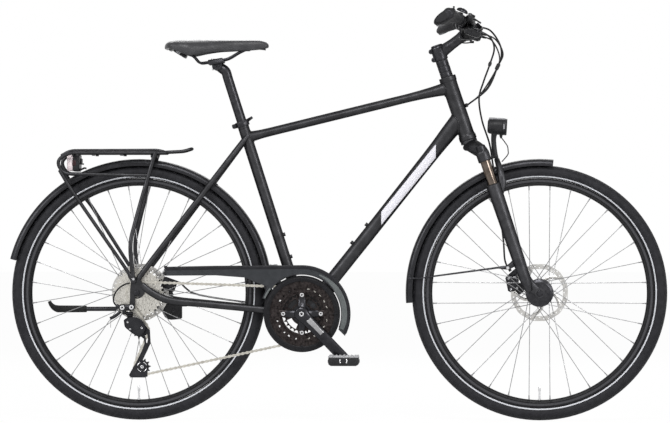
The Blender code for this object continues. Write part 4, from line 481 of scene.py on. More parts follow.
def between(p, q, r, s, t):
    # The height of a smooth curve a share of the way from q to r.
    square, cube = 2 * p - 5 * q + 4 * r - s, 3 * q - p - 3 * r + s
    return (2 * q + (r - p) * t + square * t * t + cube * t ** 3) / 2


def smooth(points, steps=6):
    # A smooth run through points; each may carry a size pair, which is drawn out with it.
    sized = isinstance(points[0][1], tuple)
    rows = [(*p[0], *p[1]) if sized else tuple(p) for p in points]
    rows = [rows[0], *rows, rows[-1]]
    found = []
    for k in range(1, len(rows) - 2):
        a, b, c, d = rows[k - 1 : k + 3]
        for i in range(steps):
            t = i / steps
            found.append([between(*near, t) for near in zip(a, b, c, d)])
    found.append(list(rows[-1]))
    path = [Vector(row[:3]) for row in found]
    return (path, [tuple(row[3:]) for row in found]) if sized else path


def rod(bm, start, end, radius, segments=16, endRadius=None, soft=0.0):
    sweep(bm, [start, end], [radius, endRadius or radius], segments, up=(0.31, 0.87, 0.4), soft=soft)


def disc(bm, place, axis, radius, low, high, soft=0.5, steps=24):
    # A short round block along an axis, all in millimetres but its place.
    spun(
        bm, rounded([(0.2, low), (radius, low), (radius, high), (0.2, high)], soft), place, axis=axis,
        steps=steps,
    )


def collar(bm, place, axis, inner, outer, low, high, soft=0.5, steps=40):
    section = [(inner, low), (outer, low), (outer, high), (inner, high)]
    spun(bm, rounded(section, soft, True), place, axis=axis, steps=steps, closed=True)


def polar(centre, radius, angle):
    # The (x, z) of a point at a radius in millimetres.
    return centre.x + radius * mm * cos(angle), centre.z + radius * mm * sin(angle)


def ringPoints(centre, radius, count, start=0.0):
    return [polar(centre, radius, start + 2 * pi * k / count) for k in range(count)]


def arcAt(centre, radius, first, last, count):
    return [polar(centre, radius, radians(first + (last - first) * k / count)) for k in range(count + 1)]


def flatAt(centre, points):
    return [(centre.x + x * mm, centre.z + z * mm) for x, z in points]


def loopOf(bm, points, y):
    verts = [bm.verts.new((x, y * mm, z)) for x, z in points]
    return [bm.edges.new((verts[k], verts[(k + 1) % len(verts)])) for k in range(len(verts))]


def cutPlate(bm, outline, holes, yFrom, yTo, edge=0.0):
    # A plate with (x, z) outlines in metres, from one y to another in millimetres, its rims lightly broken.
    known = set(bm.verts)
    edges = loopOf(bm, outline, yFrom)
    for hole in holes:
        edges += loopOf(bm, hole, yFrom)
    made = bmesh.ops.triangle_fill(bm, use_beauty=True, use_dissolve=True, edges=edges, normal=(0, 1, 0))
    faces = [g for g in made["geom"] if isinstance(g, bmesh.types.BMFace)]
    made = bmesh.ops.extrude_face_region(bm, geom=faces, use_keep_orig=True)
    top = [g for g in made["geom"] if isinstance(g, bmesh.types.BMVert)]
    bmesh.ops.translate(bm, vec=(0, (yTo - yFrom) * mm, 0), verts=top)
    if edge:
        rims = {e for v in bm.verts if v not in known for e in v.link_edges}
        rims = [e for e in rims if abs(e.verts[0].co.y - e.verts[1].co.y) < 1e-7 and len(e.link_faces) == 2
                and abs(e.link_faces[0].normal.dot(e.link_faces[1].normal)) < 0.5]
        breakEdges(bm, rims, edge, 1)


def breakEdges(bm, edges, offset, segments, clamp=True):
    return bmesh.ops.bevel(
        bm, geom=edges, offset=offset * mm, segments=segments, affect="EDGES", profile=0.5, material=-1,
        clamp_overlap=clamp,
    )


def softBlock(bm, centre, size, corner, turn=None, segments=3):
    made = bmesh.ops.create_cube(bm, size=1)
    verts = made["verts"]
    bmesh.ops.scale(bm, vec=[s * mm for s in size], verts=verts)
    edges = list({e for v in verts for e in v.link_edges})
    made = breakEdges(bm, edges, corner, segments, False)
    verts = list({v for f in made["faces"] for v in f.verts} | {v for v in verts if v.is_valid})
    if turn:
        bmesh.ops.rotate(bm, cent=(0, 0, 0), matrix=turn, verts=verts)
    bmesh.ops.translate(bm, vec=centre, verts=verts)
    return verts


def refined(name, node, body, material, bevel=0.5, sharp=30, merge=0.02):
    # A CAD node's own shape with its edges broken, for a piece that is right but too crisp.
    bm = bmesh.new()
    bm.from_mesh(nodes[node].data)
    bmesh.ops.remove_doubles(bm, verts=bm.verts, dist=merge * mm)
    bmesh.ops.dissolve_limit(
        bm, angle_limit=radians(1), verts=bm.verts, edges=bm.edges, use_dissolve_boundaries=False
    )
    edges = [e for e in bm.edges if len(e.link_faces) == 2 and e.calc_face_angle(0) > radians(20)]
    breakEdges(bm, edges, bevel, 2)
    return addPiece(name, bm, body, material, [node], sharp=sharp)


# wheels

wheel = {
    "radius": 352.3, "tyreHalf": 21, "rimEdge": 316.5, "rimInner": 295.5, "rimHalf": 12,
    "stripe": (319.5, 323.0), "ribPitch": 0.0011, "ribsTo": 334, "treadFrom": 344,
    "brakeBand": (306.2, 312.2),
    "spokes": 32, "spokeRadius": 1.0, "steps": 128, "shoulderBlocks": 84,
}


def polarNodes(tree, hub):
    # The angle and distance from a hub, seen from the side, and the distance across, as node outputs.
    place = tree.nodes["Texture Coordinate"].outputs["Object"]
    centre = addNode(tree, "Mapping", {"Location": -hub, "Vector": place})
    x, y, z = addNode(tree, "SeparateXYZ", {"Vector": centre.outputs["Vector"]}).outputs
    squares = [mathNode(tree, "MULTIPLY", each, each) for each in (x, z)]
    return mathNode(tree, "ARCTAN2", z, x), mathNode(tree, "SQRT", mathNode(tree, "ADD", *squares)), y


def tyreFinish(name, hub):
    # Black rubber: ribbed sidewalls, siped tread, a pale stripe.
    made = finish(name, (0.013, 0.013, 0.015), (0.021, 0.021, 0.024), 0.62, grain=70)
    tree = made.node_tree
    angle, radius, y = polarNodes(tree, hub)
    tinted(made, within(tree, radius, *wheel["stripe"]), (0.62, 0.63, 0.66))
    rows = mathNode(tree, "SINE", mathNode(tree, "MULTIPLY", radius, 2 * pi / wheel["ribPitch"]))
    ribs = mathNode(tree, "MULTIPLY", rows, mathNode(tree, "LESS_THAN", radius, wheel["ribsTo"] * mm))
    slant = mathNode(
        tree, "ADD", mathNode(tree, "MULTIPLY", angle, 150), mathNode(tree, "MULTIPLY", y, 300)
    )
    tread = mathNode(tree, "GREATER_THAN", radius, wheel["treadFrom"] * mm)
    sipes = mathNode(tree, "MULTIPLY", mathNode(tree, "SINE", slant), tread)
    place = tree.nodes["Texture Coordinate"].outputs["Object"]
    grit = addNode(tree, "TexNoise", {"Scale": 1300, "Vector": place}).outputs["Fac"]
    parts = [
        mathNode(tree, "MULTIPLY", part, share) for part, share in ((ribs, 0.12), (sipes, 0.5), (grit, 0.5))
    ]
    raised(made, mathNode(tree, "ADD", mathNode(tree, "ADD", *parts[:2]), parts[2]), 0.55, 0.0006)
    return made


def addTyre(side, hub, body):
    top, half, bed = wheel["radius"], wheel["tyreHalf"], wheel["rimEdge"]
    crown = [
        (bed + 0.4, 10.6), (bed + 2.2, 11.6), (bed + 4, 14.2), (bed + 9, 18.6), (bed + 15.6, half - 0.1),
        (bed + 21, half - 0.5), (bed + 26, half - 2.6), (bed + 30, half - 6.2), (bed + 32.4, half - 9.4),
        (bed + 33.4, half - 11.4), (bed + 32.6, half - 12), (bed + 32.7, half - 12.9),
        (bed + 34.2, half - 13.4), (bed + 35.1, half - 17), (bed + 34.3, half - 17.4),
        (bed + 34.3, half - 18.2), (bed + 35.6, half - 18.6), (top, 0),
    ]
    points = [(r, -y) for r, y in crown] + crown[-2::-1]
    points += [(bed + 1.2, 9.6), (bed + 1.2, -9.6)]
    bm = bmesh.new()
    spun(bm, points, hub, steps=wheel["steps"], closed=True)
    for way in (-1, 1):
        spot = hub + Vector((0, way * (half - 7.4) * mm, (top - 5.6) * mm))
        turn = Matrix.Rotation(way * radians(-38), 3, "X")
        verts = softBlock(bm, Vector(), (11, 5.4, 3.2), 0.7, segments=1)
        bmesh.ops.rotate(
            bm, cent=(0, 0, 0), matrix=turn @ Matrix.Rotation(way * radians(24), 3, "Z"), verts=verts
        )
        bmesh.ops.translate(bm, vec=spot, verts=verts)
        geom = verts + list({e for v in verts for e in v.link_edges})
        geom += list({f for v in verts for f in v.link_faces})
        count = wheel["shoulderBlocks"]
        bmesh.ops.spin(
            bm, geom=geom, cent=hub, axis=across, dvec=(0, 0, 0), angle=2 * pi * (count - 1) / count,
            steps=count - 1, use_merge=False, use_normal_flip=False, use_duplicate=True,
        )
    addPiece(f"{side}Tyre", bm, body, tyreFinish(f"{side}TyreRubber", hub), [f"{side}_tyre"])


def rimFinish(name, hub):
    # Black anodising with a paler machined brake band.
    made = finish(
        name, (0.012, 0.012, 0.013), (0.02, 0.02, 0.022), 0.3, metallic=0.5, grain=60, bump=0.06,
        bumpScale=1800,
    )
    radius = polarNodes(made.node_tree, hub)[1]
    tinted(made, within(made.node_tree, radius, *wheel["brakeBand"]), (0.06, 0.06, 0.065))
    return made


def addRim(side, hub, body):
    edge, inner, half = wheel["rimEdge"], wheel["rimInner"], wheel["rimHalf"]
    profile = [
        (edge, half - 1.6), (edge, half), (edge - 1.6, half), (edge - 3.2, half - 0.5),
        (edge - 12.2, half - 0.1), (edge - 13.4, half - 0.2), (edge - 14.2, half - 1.4), (inner + 2.2, 3.4),
        (inner + 0.4, 1.4),
    ]
    points = [(r, -y) for r, y in profile] + profile[::-1]
    points += [(edge - 8, half - 2.4), (edge - 9.5, 0), (edge - 8, 2.4 - half)]
    bm = bmesh.new()
    spun(bm, points, hub, steps=wheel["steps"], closed=True)
    known = set(bm.faces)
    top = hub - Vector((0, 0, (inner - 38) * mm))
    foot = hub - Vector((0, 0, (inner + 4) * mm))
    valve = ((1, 2.6), (0.34, 2.6), (0.335, 3.2), (0.3, 3.5), (0.06, 3.3), (0, 2.4))
    sweep(bm, [top.lerp(foot, share) for share, _ in valve], [radius for _, radius in valve])
    sweep(bm, [moved(foot, 0, 0, 4.2), moved(foot, 0, 0, 6.6)], 4.6, 6)
    paintFrom(bm, known, 1)
    addPiece(
        f"{side}Rim", bm, body, [rimFinish(f"{side}RimBlack", hub), brightSteel], [f"{side}_rim"],
    )


def spokeEnds(hub, rightY, leftY, circle, crossings):
    # Where each spoke leaves its flange and meets the rim, the same lacing as the frame's.
    perSide = wheel["spokes"] // 2
    step = 2 * pi / perSide
    for side, flangeY in ((0, rightY), (1, leftY)):
        for k in range(perSide):
            trailing = 1 if k % 2 else -1
            start = (k + side / 2 + 0.25) * step
            end = start + trailing * crossings * step
            y = flangeY + trailing * 1.8
            inner = moved(hub, cos(start) * circle, y, sin(start) * circle)
            rimY = 0.5 if flangeY > 0 else -0.5
            reach = wheel["rimInner"]
            outer = moved(hub, cos(end) * reach, rimY, sin(end) * reach)
            yield inner, outer, trailing


def addSpokes(side, hub, body, rightY, leftY, circle, crossings):
    bm = bmesh.new()
    radius = wheel["spokeRadius"]
    for inner, outer, trailing in spokeEnds(hub, rightY, leftY, circle, crossings):
        along = (outer - inner).normalized()
        wire = [inner - across * trailing * back * mm for back in (3.4, 2.8, 1)]
        wire += [inner + along * 1.6 * mm, outer - along * 9 * mm]
        sweep(bm, wire, [radius * share for share in (1.7, 1.7, 1.05, 1.05, 1)], 8, up=(0.3, 0.2, 0.9))
        nipple = [outer + along * reach * mm for reach in (-11, -2.5, -2, 1.2)]
        sweep(bm, nipple, [1.7, 1.7, 2.4, 2.6], 8, up=(0.3, 0.2, 0.9))
    addPiece(f"{side}Spokes", bm, body, spokeSteel, sharp=40)


def addHub(side, hub, body, sizes, material):
    # The shell between the spokes, with a drilled look round each flange.
    bm = bmesh.new()
    points = rounded(sizes["profile"], 1.2)
    holes, holeCircle = sizes["holes"]
    spun(bm, [(5.5, points[0][1]), *points, (5.5, points[-1][1])], hub, steps=72, closed=True)
    known = set(bm.faces)
    for y in sizes["flanges"]:
        for k in range(holes):
            angle = 2 * pi * (k + 0.5) / holes
            spot = moved(hub, cos(angle) * holeCircle, y, sin(angle) * holeCircle)
            place = Matrix.Translation(spot) @ Matrix.Rotation(pi / 2, 4, "X")
            made = bmesh.ops.create_circle(bm, cap_ends=True, segments=10, radius=1.25 * mm, matrix=place)
            bmesh.ops.extrude_face_region(bm, geom=list({f for v in made["verts"] for f in v.link_faces}))
    paintFrom(bm, known, 1)
    addPiece(f"{side}HubShell", bm, body, [material, brightSteel], [f"{side}_hub"], sharp=32)


def addRotor(side, hub, body, y):
    outer, inner, half, waves = (rotor[key] for key in ("outer", "inner", "half", "waves"))
    bm = bmesh.new()
    rim, mid = [], []
    for k in range(waves * 8):
        angle = 2 * pi * k / (waves * 8)
        rim.append(polar(hub, outer - 0.6 * (1 + cos(waves * angle)), angle))
        mid.append(polar(hub, inner + 0.8 * (1 + cos(waves * angle + pi)), angle))
    holes = [mid]
    for k in range(waves * 3):
        angle = 2 * pi * k / (waves * 3)
        reach = (68.6, 72.6, 76.2)[k % 3]
        spot = moved(hub, cos(angle) * reach, 0, sin(angle) * reach)
        holes.append(ringPoints(spot, 1.9, 10))
    cutPlate(bm, rim, holes, y - half, y + half)
    cutPlate(bm, ringPoints(hub, 29, 48), [ringPoints(hub, 19.2, 48)], y - 1, y + 1)
    for k in range(5):
        start = 2 * pi * k / 5
        points = []
        for radius, turn in ((25, 0), (36, 0.09), (46, 0.22), (57, 0.42), (inner + 2.5, 0.62)):
            points.append(moved(hub, cos(start - turn) * radius, y, sin(start - turn) * radius))
        sweep(bm, smooth(points, 3), [(0.9, 4.4)] * 13, 8, up=across)
    known = set(bm.faces)
    middle = [(7.8, y - 2), (19.4, y - 2), (19.4, y + 2.6), (14, y + 3.4), (13, y + 5.2), (7.8, y + 5.2)]
    spun(bm, rounded(middle, 0.5, True), hub, steps=48, closed=True)
    paintFrom(bm, known, 1)
    addPiece(f"{side}Rotor", bm, body, [rotorSteel, anodised], [f"{side}_rotor"])


rotorSteel = finish(
    "brushedRotor", (0.50, 0.49, 0.47), (0.66, 0.65, 0.63), 0.3, metallic=1, grain=130, bump=0.15,
    bumpScale=2600,
)

rotor = {"outer": 80, "inner": 65, "half": 0.9, "waves": 12}
hubs = {
    "front": {
        "spokes": (-26.4, 21, 34.5, 2), "flanges": (-28.05, 22.65), "holes": (16, 35.6), "rotor": 35.5,
        "profile": [
            (7.6, -42), (12, -41), (13, -33), (30, -31.5), (38.5, -28), (38.5, -24.8), (31, -22), (31, 17),
            (38.5, 19.4), (38.5, 22.6), (17, 25), (17, 33), (7.6, 33.4),
        ],
    },
    "rear": {
        "spokes": (-18.6, 32.6, 22.5, 3), "flanges": (-20.25, 34.25), "holes": (16, 23.6), "rotor": 51,
        "profile": [
            (7.6, -21), (26, -20.2), (26, -17), (16, -12), (15, 12), (25, 31), (25, 34.2), (17, 37),
            (17, 48.6), (7.6, 49),
        ],
    },
}


def addWheels():
    places = [("front", frontHub, "front_wheel"), ("rear", rearHub, "rear_wheel")]
    for side, hub, body in places:
        addTyre(side, hub, body)
        addRim(side, hub, body)
    for side, hub, body in places:
        addSpokes(side, hub, body, *hubs[side]["spokes"])
    for (side, hub, body), material in zip(places, (anodised, brightSteel)):
        addHub(side, hub, body, hubs[side], material)
    for side, hub, body in places:
        addRotor(side, hub, body, hubs[side]["rotor"])


addWheels()
print("wheels are made")


# frame

tubes = {
    "headLength": 183.9, "seatLength": 558.7, "seatRadius": 15.5, "downRadius": 18.75,
    "topHalf": (17.5, 12), "shellWidth": 70, "shellRadius": 21.5, "axleWidth": 135, "dropout": 6,
    "bridgeReach": 378, "downBosses": (238, 302), "seatBosses": (160, 224),
    "panelAlong": (120.5, 271), "panelUp": (-15.5, 7.5),
}
seatTop = seat(tubes["seatLength"])


def stayPoints(side):
    inner = side * (tubes["axleWidth"] / 2 + tubes["dropout"] / 2)
    chain = [
        fromCrank(-8, side * 22, 2), fromCrank(-45, side * 29, 5), fromCrank(-107, side * 35, 11),
        fromRear(190, side * 52, -31), fromRear(93, side * 67, -21), fromRear(46, inner, -2),
        fromRear(13, inner, 22),
    ]
    top = seat(tubes["seatLength"] - 52, -7, side * 17)
    foot = fromRear(2, inner, 38)
    lead = (top - foot).normalized() * mm
    seatStay = [
        moved(top + lead * 14, 0, side * -6, 0), top.lerp(foot, 0.04),
        moved(top.lerp(foot, 0.3), 0, side * 9, 0), moved(top.lerp(foot, 0.7), 0, side * 4, 0),
        foot + lead * 20, moved(foot, -4, 0, -8),
    ]
    return chain, seatStay


def dropoutOutline(right):
    points = [(-16, 41), (-5, 43), (12, 33), (26, 12), (20, -2), (12, -12), (5.3, -13.4), (5.3, 0)]
    points += [(5.3 * cos(radians(a)), 5.3 * sin(radians(a))) for a in (30, 60, 90, 120, 150)]
    hanger = [(-5.3, -22), (-6, -40), (-13.5, -47), (-21, -41), (-19, -18)]
    points += [(-5.3, 0)] + (hanger if right else [(-5.3, -13), (-13, -13)])
    points += [(-19, 5), (-17, 25)]
    return flatAt(rearHub, points)


def boss(bm, place, out, radius=5.2, height=5):
    deep = height - 3
    profile = [(0.1, -6), (radius, -6), (radius, height), (2.6, height), (2.6, deep), (0.1, deep)]
    spun(bm, rounded(profile, 0.6), place, axis=out, steps=20)


def frameFinish():
    # Satin black with a plain pale panel on each side of the down tube.
    made = finish(
        "framePaint", (0.032, 0.032, 0.034), (0.050, 0.050, 0.053), 0.4, grain=40, bump=0.02,
        bumpScale=1400, edge=0.0,
    )
    tree = made.node_tree
    along = (steer(-65) - crankCentre).normalized()
    over = Vector((-along.z, 0, along.x))
    place = tree.nodes["Texture Coordinate"].outputs["Object"]
    dot = addNode(tree, "VectorMath")
    dot.operation = "DOT_PRODUCT"
    tree.links.new(place, dot.inputs[0])
    dot.inputs[1].default_value = over
    height = mathNode(tree, "SUBTRACT", dot.outputs["Value"], crankCentre.dot(over))
    x, y, _ = addNode(tree, "SeparateXYZ", {"Vector": place}).outputs
    spans = within(tree, x, *tubes["panelAlong"]), within(tree, height, *tubes["panelUp"])
    inside = mathNode(tree, "MULTIPLY", *spans)
    outer = mathNode(tree, "GREATER_THAN", mathNode(tree, "ABSOLUTE", y), 6 * mm)
    inside = mathNode(tree, "MULTIPLY", inside, outer)
    shade(made, {"Metallic": mathNode(tree, "MULTIPLY", mathNode(tree, "SUBTRACT", 1, inside), 0.85)})
    tinted(made, inside, (0.67, 0.66, 0.70))
    return made


def addFrame():
    bm = bmesh.new()
    length, reach = tubes["headLength"], tubes["seatLength"]
    radius = tubes["seatRadius"]
    sizes = [(-6, 17.5)] + [(up, radius) for up in (60, 180, reach - 60, reach - 20, reach)]
    sweep(bm, *smooth([(seat(up), (size, size)) for up, size in sizes], 5), 40)
    head = [
        (20, 0), (23.6, 0), (24.4, 1), (24.2, 12), (22.4, 15.5), (21.9, 22), (21.9, length - 22),
        (22.3, length - 15.5), (23.6, length - 12), (23.8, length - 1), (23.0, length), (20, length),
    ]
    spun(
        bm, rounded([(r, -d) for r, d in head], 1, True), headBottom, axis=steerDown, steps=56, closed=True
    )
    ends, headJoin, downJoin = seat(reach - 48), steer(-length + 31), steer(-65)
    lead = (headJoin - ends).normalized() * mm
    a, b = tubes["topHalf"]
    rows = ((-4, 13, 16), (20, 15, 14.2), (60, a, b), (200, a, b))
    top = [(ends + lead * far, (wide, tall)) for far, wide, tall in rows]
    rows = ((200, a, b), (110, a, b), (40, 18, 15.5), (0, 17, 21))
    top += [(headJoin - lead * far, (wide, tall)) for far, wide, tall in rows]
    sweep(bm, *smooth(top, 5), 40)
    down = tubes["downRadius"]
    low = (crankCentre - downJoin).normalized().cross(across) * mm
    rows = [(0, 5, 19, down), (0.12, 5, down, down), (0.4, 4, down, down), (0.8, 1, down, down * 1.05)]
    rows += [(0.92, 0, 19.2, 22.4), (1, 0, 19.5, 25)]
    tube = [(crankCentre.lerp(downJoin, share) + low * drop, (a, b)) for share, drop, a, b in rows]
    sweep(bm, *smooth(tube, 5), 48)
    half, shell = tubes["shellWidth"] / 2, tubes["shellRadius"]
    collar(bm, crankCentre, across, shell - 4, shell, -half, half, 0.7, 56)
    for side in (-1, 1):
        chain, seatStay = stayPoints(side)
        sizes = [(10, 12.4), (8.5, 11), (8.5, 10), (8.5, 9.8), (8.4, 10), (7.6, 10), (4, 9)]
        sweep(bm, *smooth(list(zip(chain, sizes)), 6), 24)
        sizes = [(6, 7), (7.6, 8), (7.6, 8), (7.6, 8), (7.2, 7.8), (4.4, 7)]
        sweep(bm, *smooth(list(zip(seatStay, sizes)), 6), 24)
        inner = side * tubes["axleWidth"] / 2
        cutPlate(bm, dropoutOutline(side < 0), [], inner, inner + side * tubes["dropout"], edge=0.6)
        outer = tubes["axleWidth"] / 2 + tubes["dropout"]
        disc(bm, fromRear(-9, side * (outer - 3), 34), across * side, 6.5, 0, 8.4, 0.6)
    foot, crossing = fromRear(2, 70.5, 38), seat(reach - 52, -7, 17)
    way = Vector((crossing.x - foot.x, 0, crossing.z - foot.z)).normalized()
    back = Vector((rearHub.x - foot.x, 0, rearHub.z - foot.z))
    run = back.dot(way) + sqrt(back.dot(way) ** 2 - back.length_squared + (tubes["bridgeReach"] * mm) ** 2)
    bridge = Vector((foot.x, 0, foot.z)) + way * run
    rod(bm, bridge - across * 34 * mm, bridge + across * 34 * mm, 6, 20)
    rod(bm, fromCrank(-67, -30, 9), fromCrank(-67, 30, 9), 7, 20)
    downAlong = (downJoin - crankCentre).normalized()
    downOut = Vector((-downAlong.z, 0, downAlong.x))
    for up in tubes["downBosses"]:
        boss(bm, crankCentre + downAlong * up * mm + downOut * (down - 2.6) * mm, downOut)
    for up in tubes["seatBosses"]:
        boss(bm, seat(up, tubes["seatRadius"]), seatForward)
    tab = [(34, 18), (44, 50), (60, 52), (78, 30), (92, -8), (76, -14), (50, -10)]
    cutPlate(bm, flatAt(rearHub, tab), [ringPoints(fromRear(58, 0, 18), 7, 16)], 63.5, 68.5, edge=0.6)
    addPiece("frameTubes", bm, "frame", frameFinish(), ["frame"], sharp=32)
    addWelds()


def addWelds():
    # A bead where each tube meets another, drawn as the curve in which the two cross.
    bm = bmesh.new()
    length, reach = tubes["headLength"], tubes["seatLength"]
    ends, headJoin, downJoin = seat(reach - 48), steer(-length + 31), steer(-65)
    joints = [
        (headJoin, (ends - headJoin).normalized(), (17.2, 19.5), headBottom, steerDown, 22),
        (downJoin, (crankCentre - downJoin).normalized(), (19.4, 23.4), headBottom, steerDown, 22),
        (ends, (headJoin - ends).normalized(), (14.2, 15), crankCentre, seatUp, 15.5),
        (crankCentre, (downJoin - crankCentre).normalized(), (18.9, 18.75), crankCentre, across, 21.5),
        (crankCentre, seatUp.copy(), (17.2, 17.2), crankCentre, across, 21.5),
    ]
    for centre, way, (a, b), base, axis, radius in joints:
        other = way.cross(across)
        path = []
        for k in range(40):
            angle = 2 * pi * k / 40
            point = centre + (across * cos(angle) * a + other * sin(angle) * b) * mm
            gap = point - base
            flat, dirFlat = gap - axis * gap.dot(axis), way - axis * way.dot(axis)
            p, q, r = dirFlat.length_squared, 2 * flat.dot(dirFlat), flat.length_squared - (radius * mm) ** 2
            hit = q * q - 4 * p * r
            if hit > 0:
                path.append(point + way * (-q + sqrt(hit)) / (2 * p))
        beadAlong(bm, path)
    addPiece("frameWelds", bm, "frame", weldPaint, sharp=60)


def beadAlong(bm, path):
    path = path + [path[0]]
    places = placesAlong(path, (0.2, 0.3, 0.9))
    drawThrough(bm, firstRing(bm, 8, 2.1 * mm, places[0]), places)


weldPaint = finish(
    "weldPaint", (0.032, 0.032, 0.034), (0.046, 0.046, 0.049), 0.34, metallic=0.85, grain=300, bump=0.9,
    bumpScale=420, edge=0.0,
)
addFrame()
print("frame is made")


# fork and mudguards

fork = {
    "length": 463.1, "rake": 50.7, "legForward": 25, "legY": 65, "stanchion": 14,
    "spacers": 48, "stem": 40,
}
guard = {"radius": 370, "half": 26.5, "depth": 19, "wall": 1.6, "front": (84, 184.4), "rear": (-9, 165.3)}


def addForkCrown():
    above, forward, legY = -tubes["headLength"], fork["legForward"], fork["legY"]
    bm = bmesh.new()
    half = [(52, 25, 66), (43, 24, 57), (33, 17, 44), (23, 9, 30), (16, 3, 14), (15, 0, 0)]
    sizes = [(17, 17), (18, 18), (19.5, 17.6), (20.6, 15.6), (21.4, 13.6), (22, 13)]
    points = [(steer(s, f, y), (a, b)) for (s, f, y), (a, b) in zip(half, sizes)]
    points += [(steer(s, f, -y), (a, b)) for (s, f, y), (a, b) in list(zip(half, sizes))[-2::-1]]
    sweep(bm, *smooth(points, 4), 28, up=steerForward, soft=4)
    collar(bm, headBottom, steerUp, 14, 23, -9, -0.4, 0.8, 48)
    for side in (-1, 1):
        clamp = [(0.2, -71), (16.6, -71), (18.5, -69), (18.5, -47), (17.4, -43), (0.2, -42.5)]
        spun(bm, rounded(clamp, 1.2), steer(0, forward, side * legY), axis=steerUp, steps=40)
    known = set(bm.faces)
    for side in (-1, 1):
        centre = steer(0, forward, side * legY)
        reach = fork["stanchion"]
        spun(
            bm, [(0.2, -60), (reach, -60), (reach, -288), (reach - 1, -290), (0.2, -290)], centre,
            axis=steerUp, steps=40,
        )
    known = paintFrom(bm, known, 1)
    knurls = 24
    for side in (-1, 1):
        centre = steer(0, forward, side * legY)
        spun(
            bm,
            rounded(
                [(0.2, -44), (13.5, -44), (13.5, -29), (11.6, -26), (4, -25.6), (4, -26.6), (0.2, -26.6)],
                0.5,
            ),
            centre, axis=steerUp, steps=knurls * 2,
        )
    for low, high in ((0.3, 14.6), (15.2, 31), (31.6, 47.8)):
        collar(bm, headBottom, steerUp, 14.4, 17, low - above, high - above, 0.5, 48)
    top = above - fork["spacers"] - fork["stem"]
    cap = [
        (14, -above), (14, 0.5 - top), (16.5, 0.5 - top), (16, 4 - top), (13, 5 - top), (5, 5 - top),
        (4.4, 3 - top), (0.2, 3 - top),
    ]
    spun(bm, rounded(cap, 0.5), headBottom, axis=steerUp, steps=40)
    paintFrom(bm, known, 2)
    addPiece(
        "forkCrown", bm, "steering", [forkPaint, bronze, anodised], ["fork_crown"], sharp=32
    )


forkPaint = finish(
    "forkPaint", (0.038, 0.038, 0.041), (0.060, 0.060, 0.064), 0.4, metallic=0.85, grain=55, bump=0.06,
    bumpScale=1500, edge=0.0,
)


def addForkLowers():
    forward, legY = fork["legForward"], fork["legY"]
    bm = bmesh.new()
    for side in (-1, 1):
        y = side * legY
        line = [
            (14.4, 139.8), (18, 139.5), (19.6, 140.4), (20, 143), (19.7, 170), (18.9, 235), (18.3, 300),
            (17.4, 360), (16, 405), (13.8, 430), (10, 446), (6, 450), (0.2, 451),
        ]
        spun(bm, [(r, -d) for r, d in line], steer(0, forward, y), axis=steerUp, steps=48)
        rows = [(400, forward + 1, legY - 4, 9, 14.4), (418, 29, legY - 6, 7, 14), (440, 36, 55.5, 5.4, 14)]
        rows.append((fork["length"] + 4, fork["rake"] + 2, 55.5, 5.2, 12))
        lug = [(steer(down, ahead, side * y), (a, b)) for down, ahead, y, a, b in rows]
        sweep(bm, *smooth(lug, 4), 20, soft=2.4)
        collar(bm, frontHub, across * side, 5.4, 14, 50.3, 61, 0.9)
        eye = [steer(down, ahead, side * (legY - 4)) for down, ahead in ((360, 20), (366, 2), (369, -10))]
        sweep(bm, eye, [(4, 10), (4, 7), (4, 6)], 16, soft=1.5)
    arch = [
        (168, 38, 62), (155, 47, 62), (142, 54, 60), (122, 57, 57), (108, 57, 51), (92, 57.4, 40),
        (83, 57, 26), (78, 57, 10), (77, 57, 0),
    ]
    widths = (9, 10, 10.5, 10, 9, 8.2, 7.5, 7.5, 7.5)
    points = [(steer(s, f - w + 7.5, y), (w, 6.4)) for (s, f, y), w in zip(arch, widths)]
    points += [(steer(s, f - w + 7.5, -y), (w, 6.4)) for (s, f, y), w in list(zip(arch, widths))[-2::-1]]
    sweep(bm, *smooth(points, 4), 20, up=steerForward)
    tab = [(-92, 44), (-70, 64), (-38, 74), (-22, 40), (-44, 2), (-66, -12), (-78, -4)]
    cutPlate(bm, flatAt(frontHub, tab), [ringPoints(fromFront(-52, 0, 32), 6, 16)], 48.5, 54, edge=0.7)
    known = set(bm.faces)
    for side in (-1, 1):
        wiper = [(14.1, 137.6), (18.4, 137.8), (19.4, 139.2), (19.4, 142), (14.1, 142)]
        spun(
            bm, rounded([(r, -d) for r, d in wiper], 0.6, True), steer(0, forward, side * legY),
            axis=steerUp, steps=48, closed=True,
        )
    paintFrom(bm, known, 1)
    addPiece(
        "forkLowers", bm, "fork_sliders", [forkPaint, rubber], ["fork_lowers"], sharp=32
    )


def guardSection():
    # The half section: a crowned roof with two creases, and a side with a turned lip.
    half, depth, wall = guard["half"], guard["depth"], guard["wall"]
    right = [
        (depth, half), (depth - 1.4, half), (13, half - 0.3), (7.2, half - 2.0), (4.6, half - 4.4),
        (3.0, half - 8.0), (2.3, half - 8.9), (1.2, half - 15), (0, 0),
    ]
    outside = right + [(d, -y) for d, y in right[-2::-1]]
    inside = [
        (d + (0 if d == depth else wall), y - wall if y > 0.1 else (y + wall if y < -0.1 else y))
        for d, y in outside
    ]
    return outside + inside[::-1]


def guardShell(bm, hub, start, end, steps):
    way = Vector((cos(radians(start)), 0, sin(radians(start))))
    points = [(guard["radius"] - drop, y) for drop, y in guardSection()]
    spun(bm, points, hub, axis=-across, steps=steps, closed=True, turn=radians(end - start), start=way)


def spokeWay(angle):
    return Vector((cos(radians(angle)), 0, sin(radians(angle))))


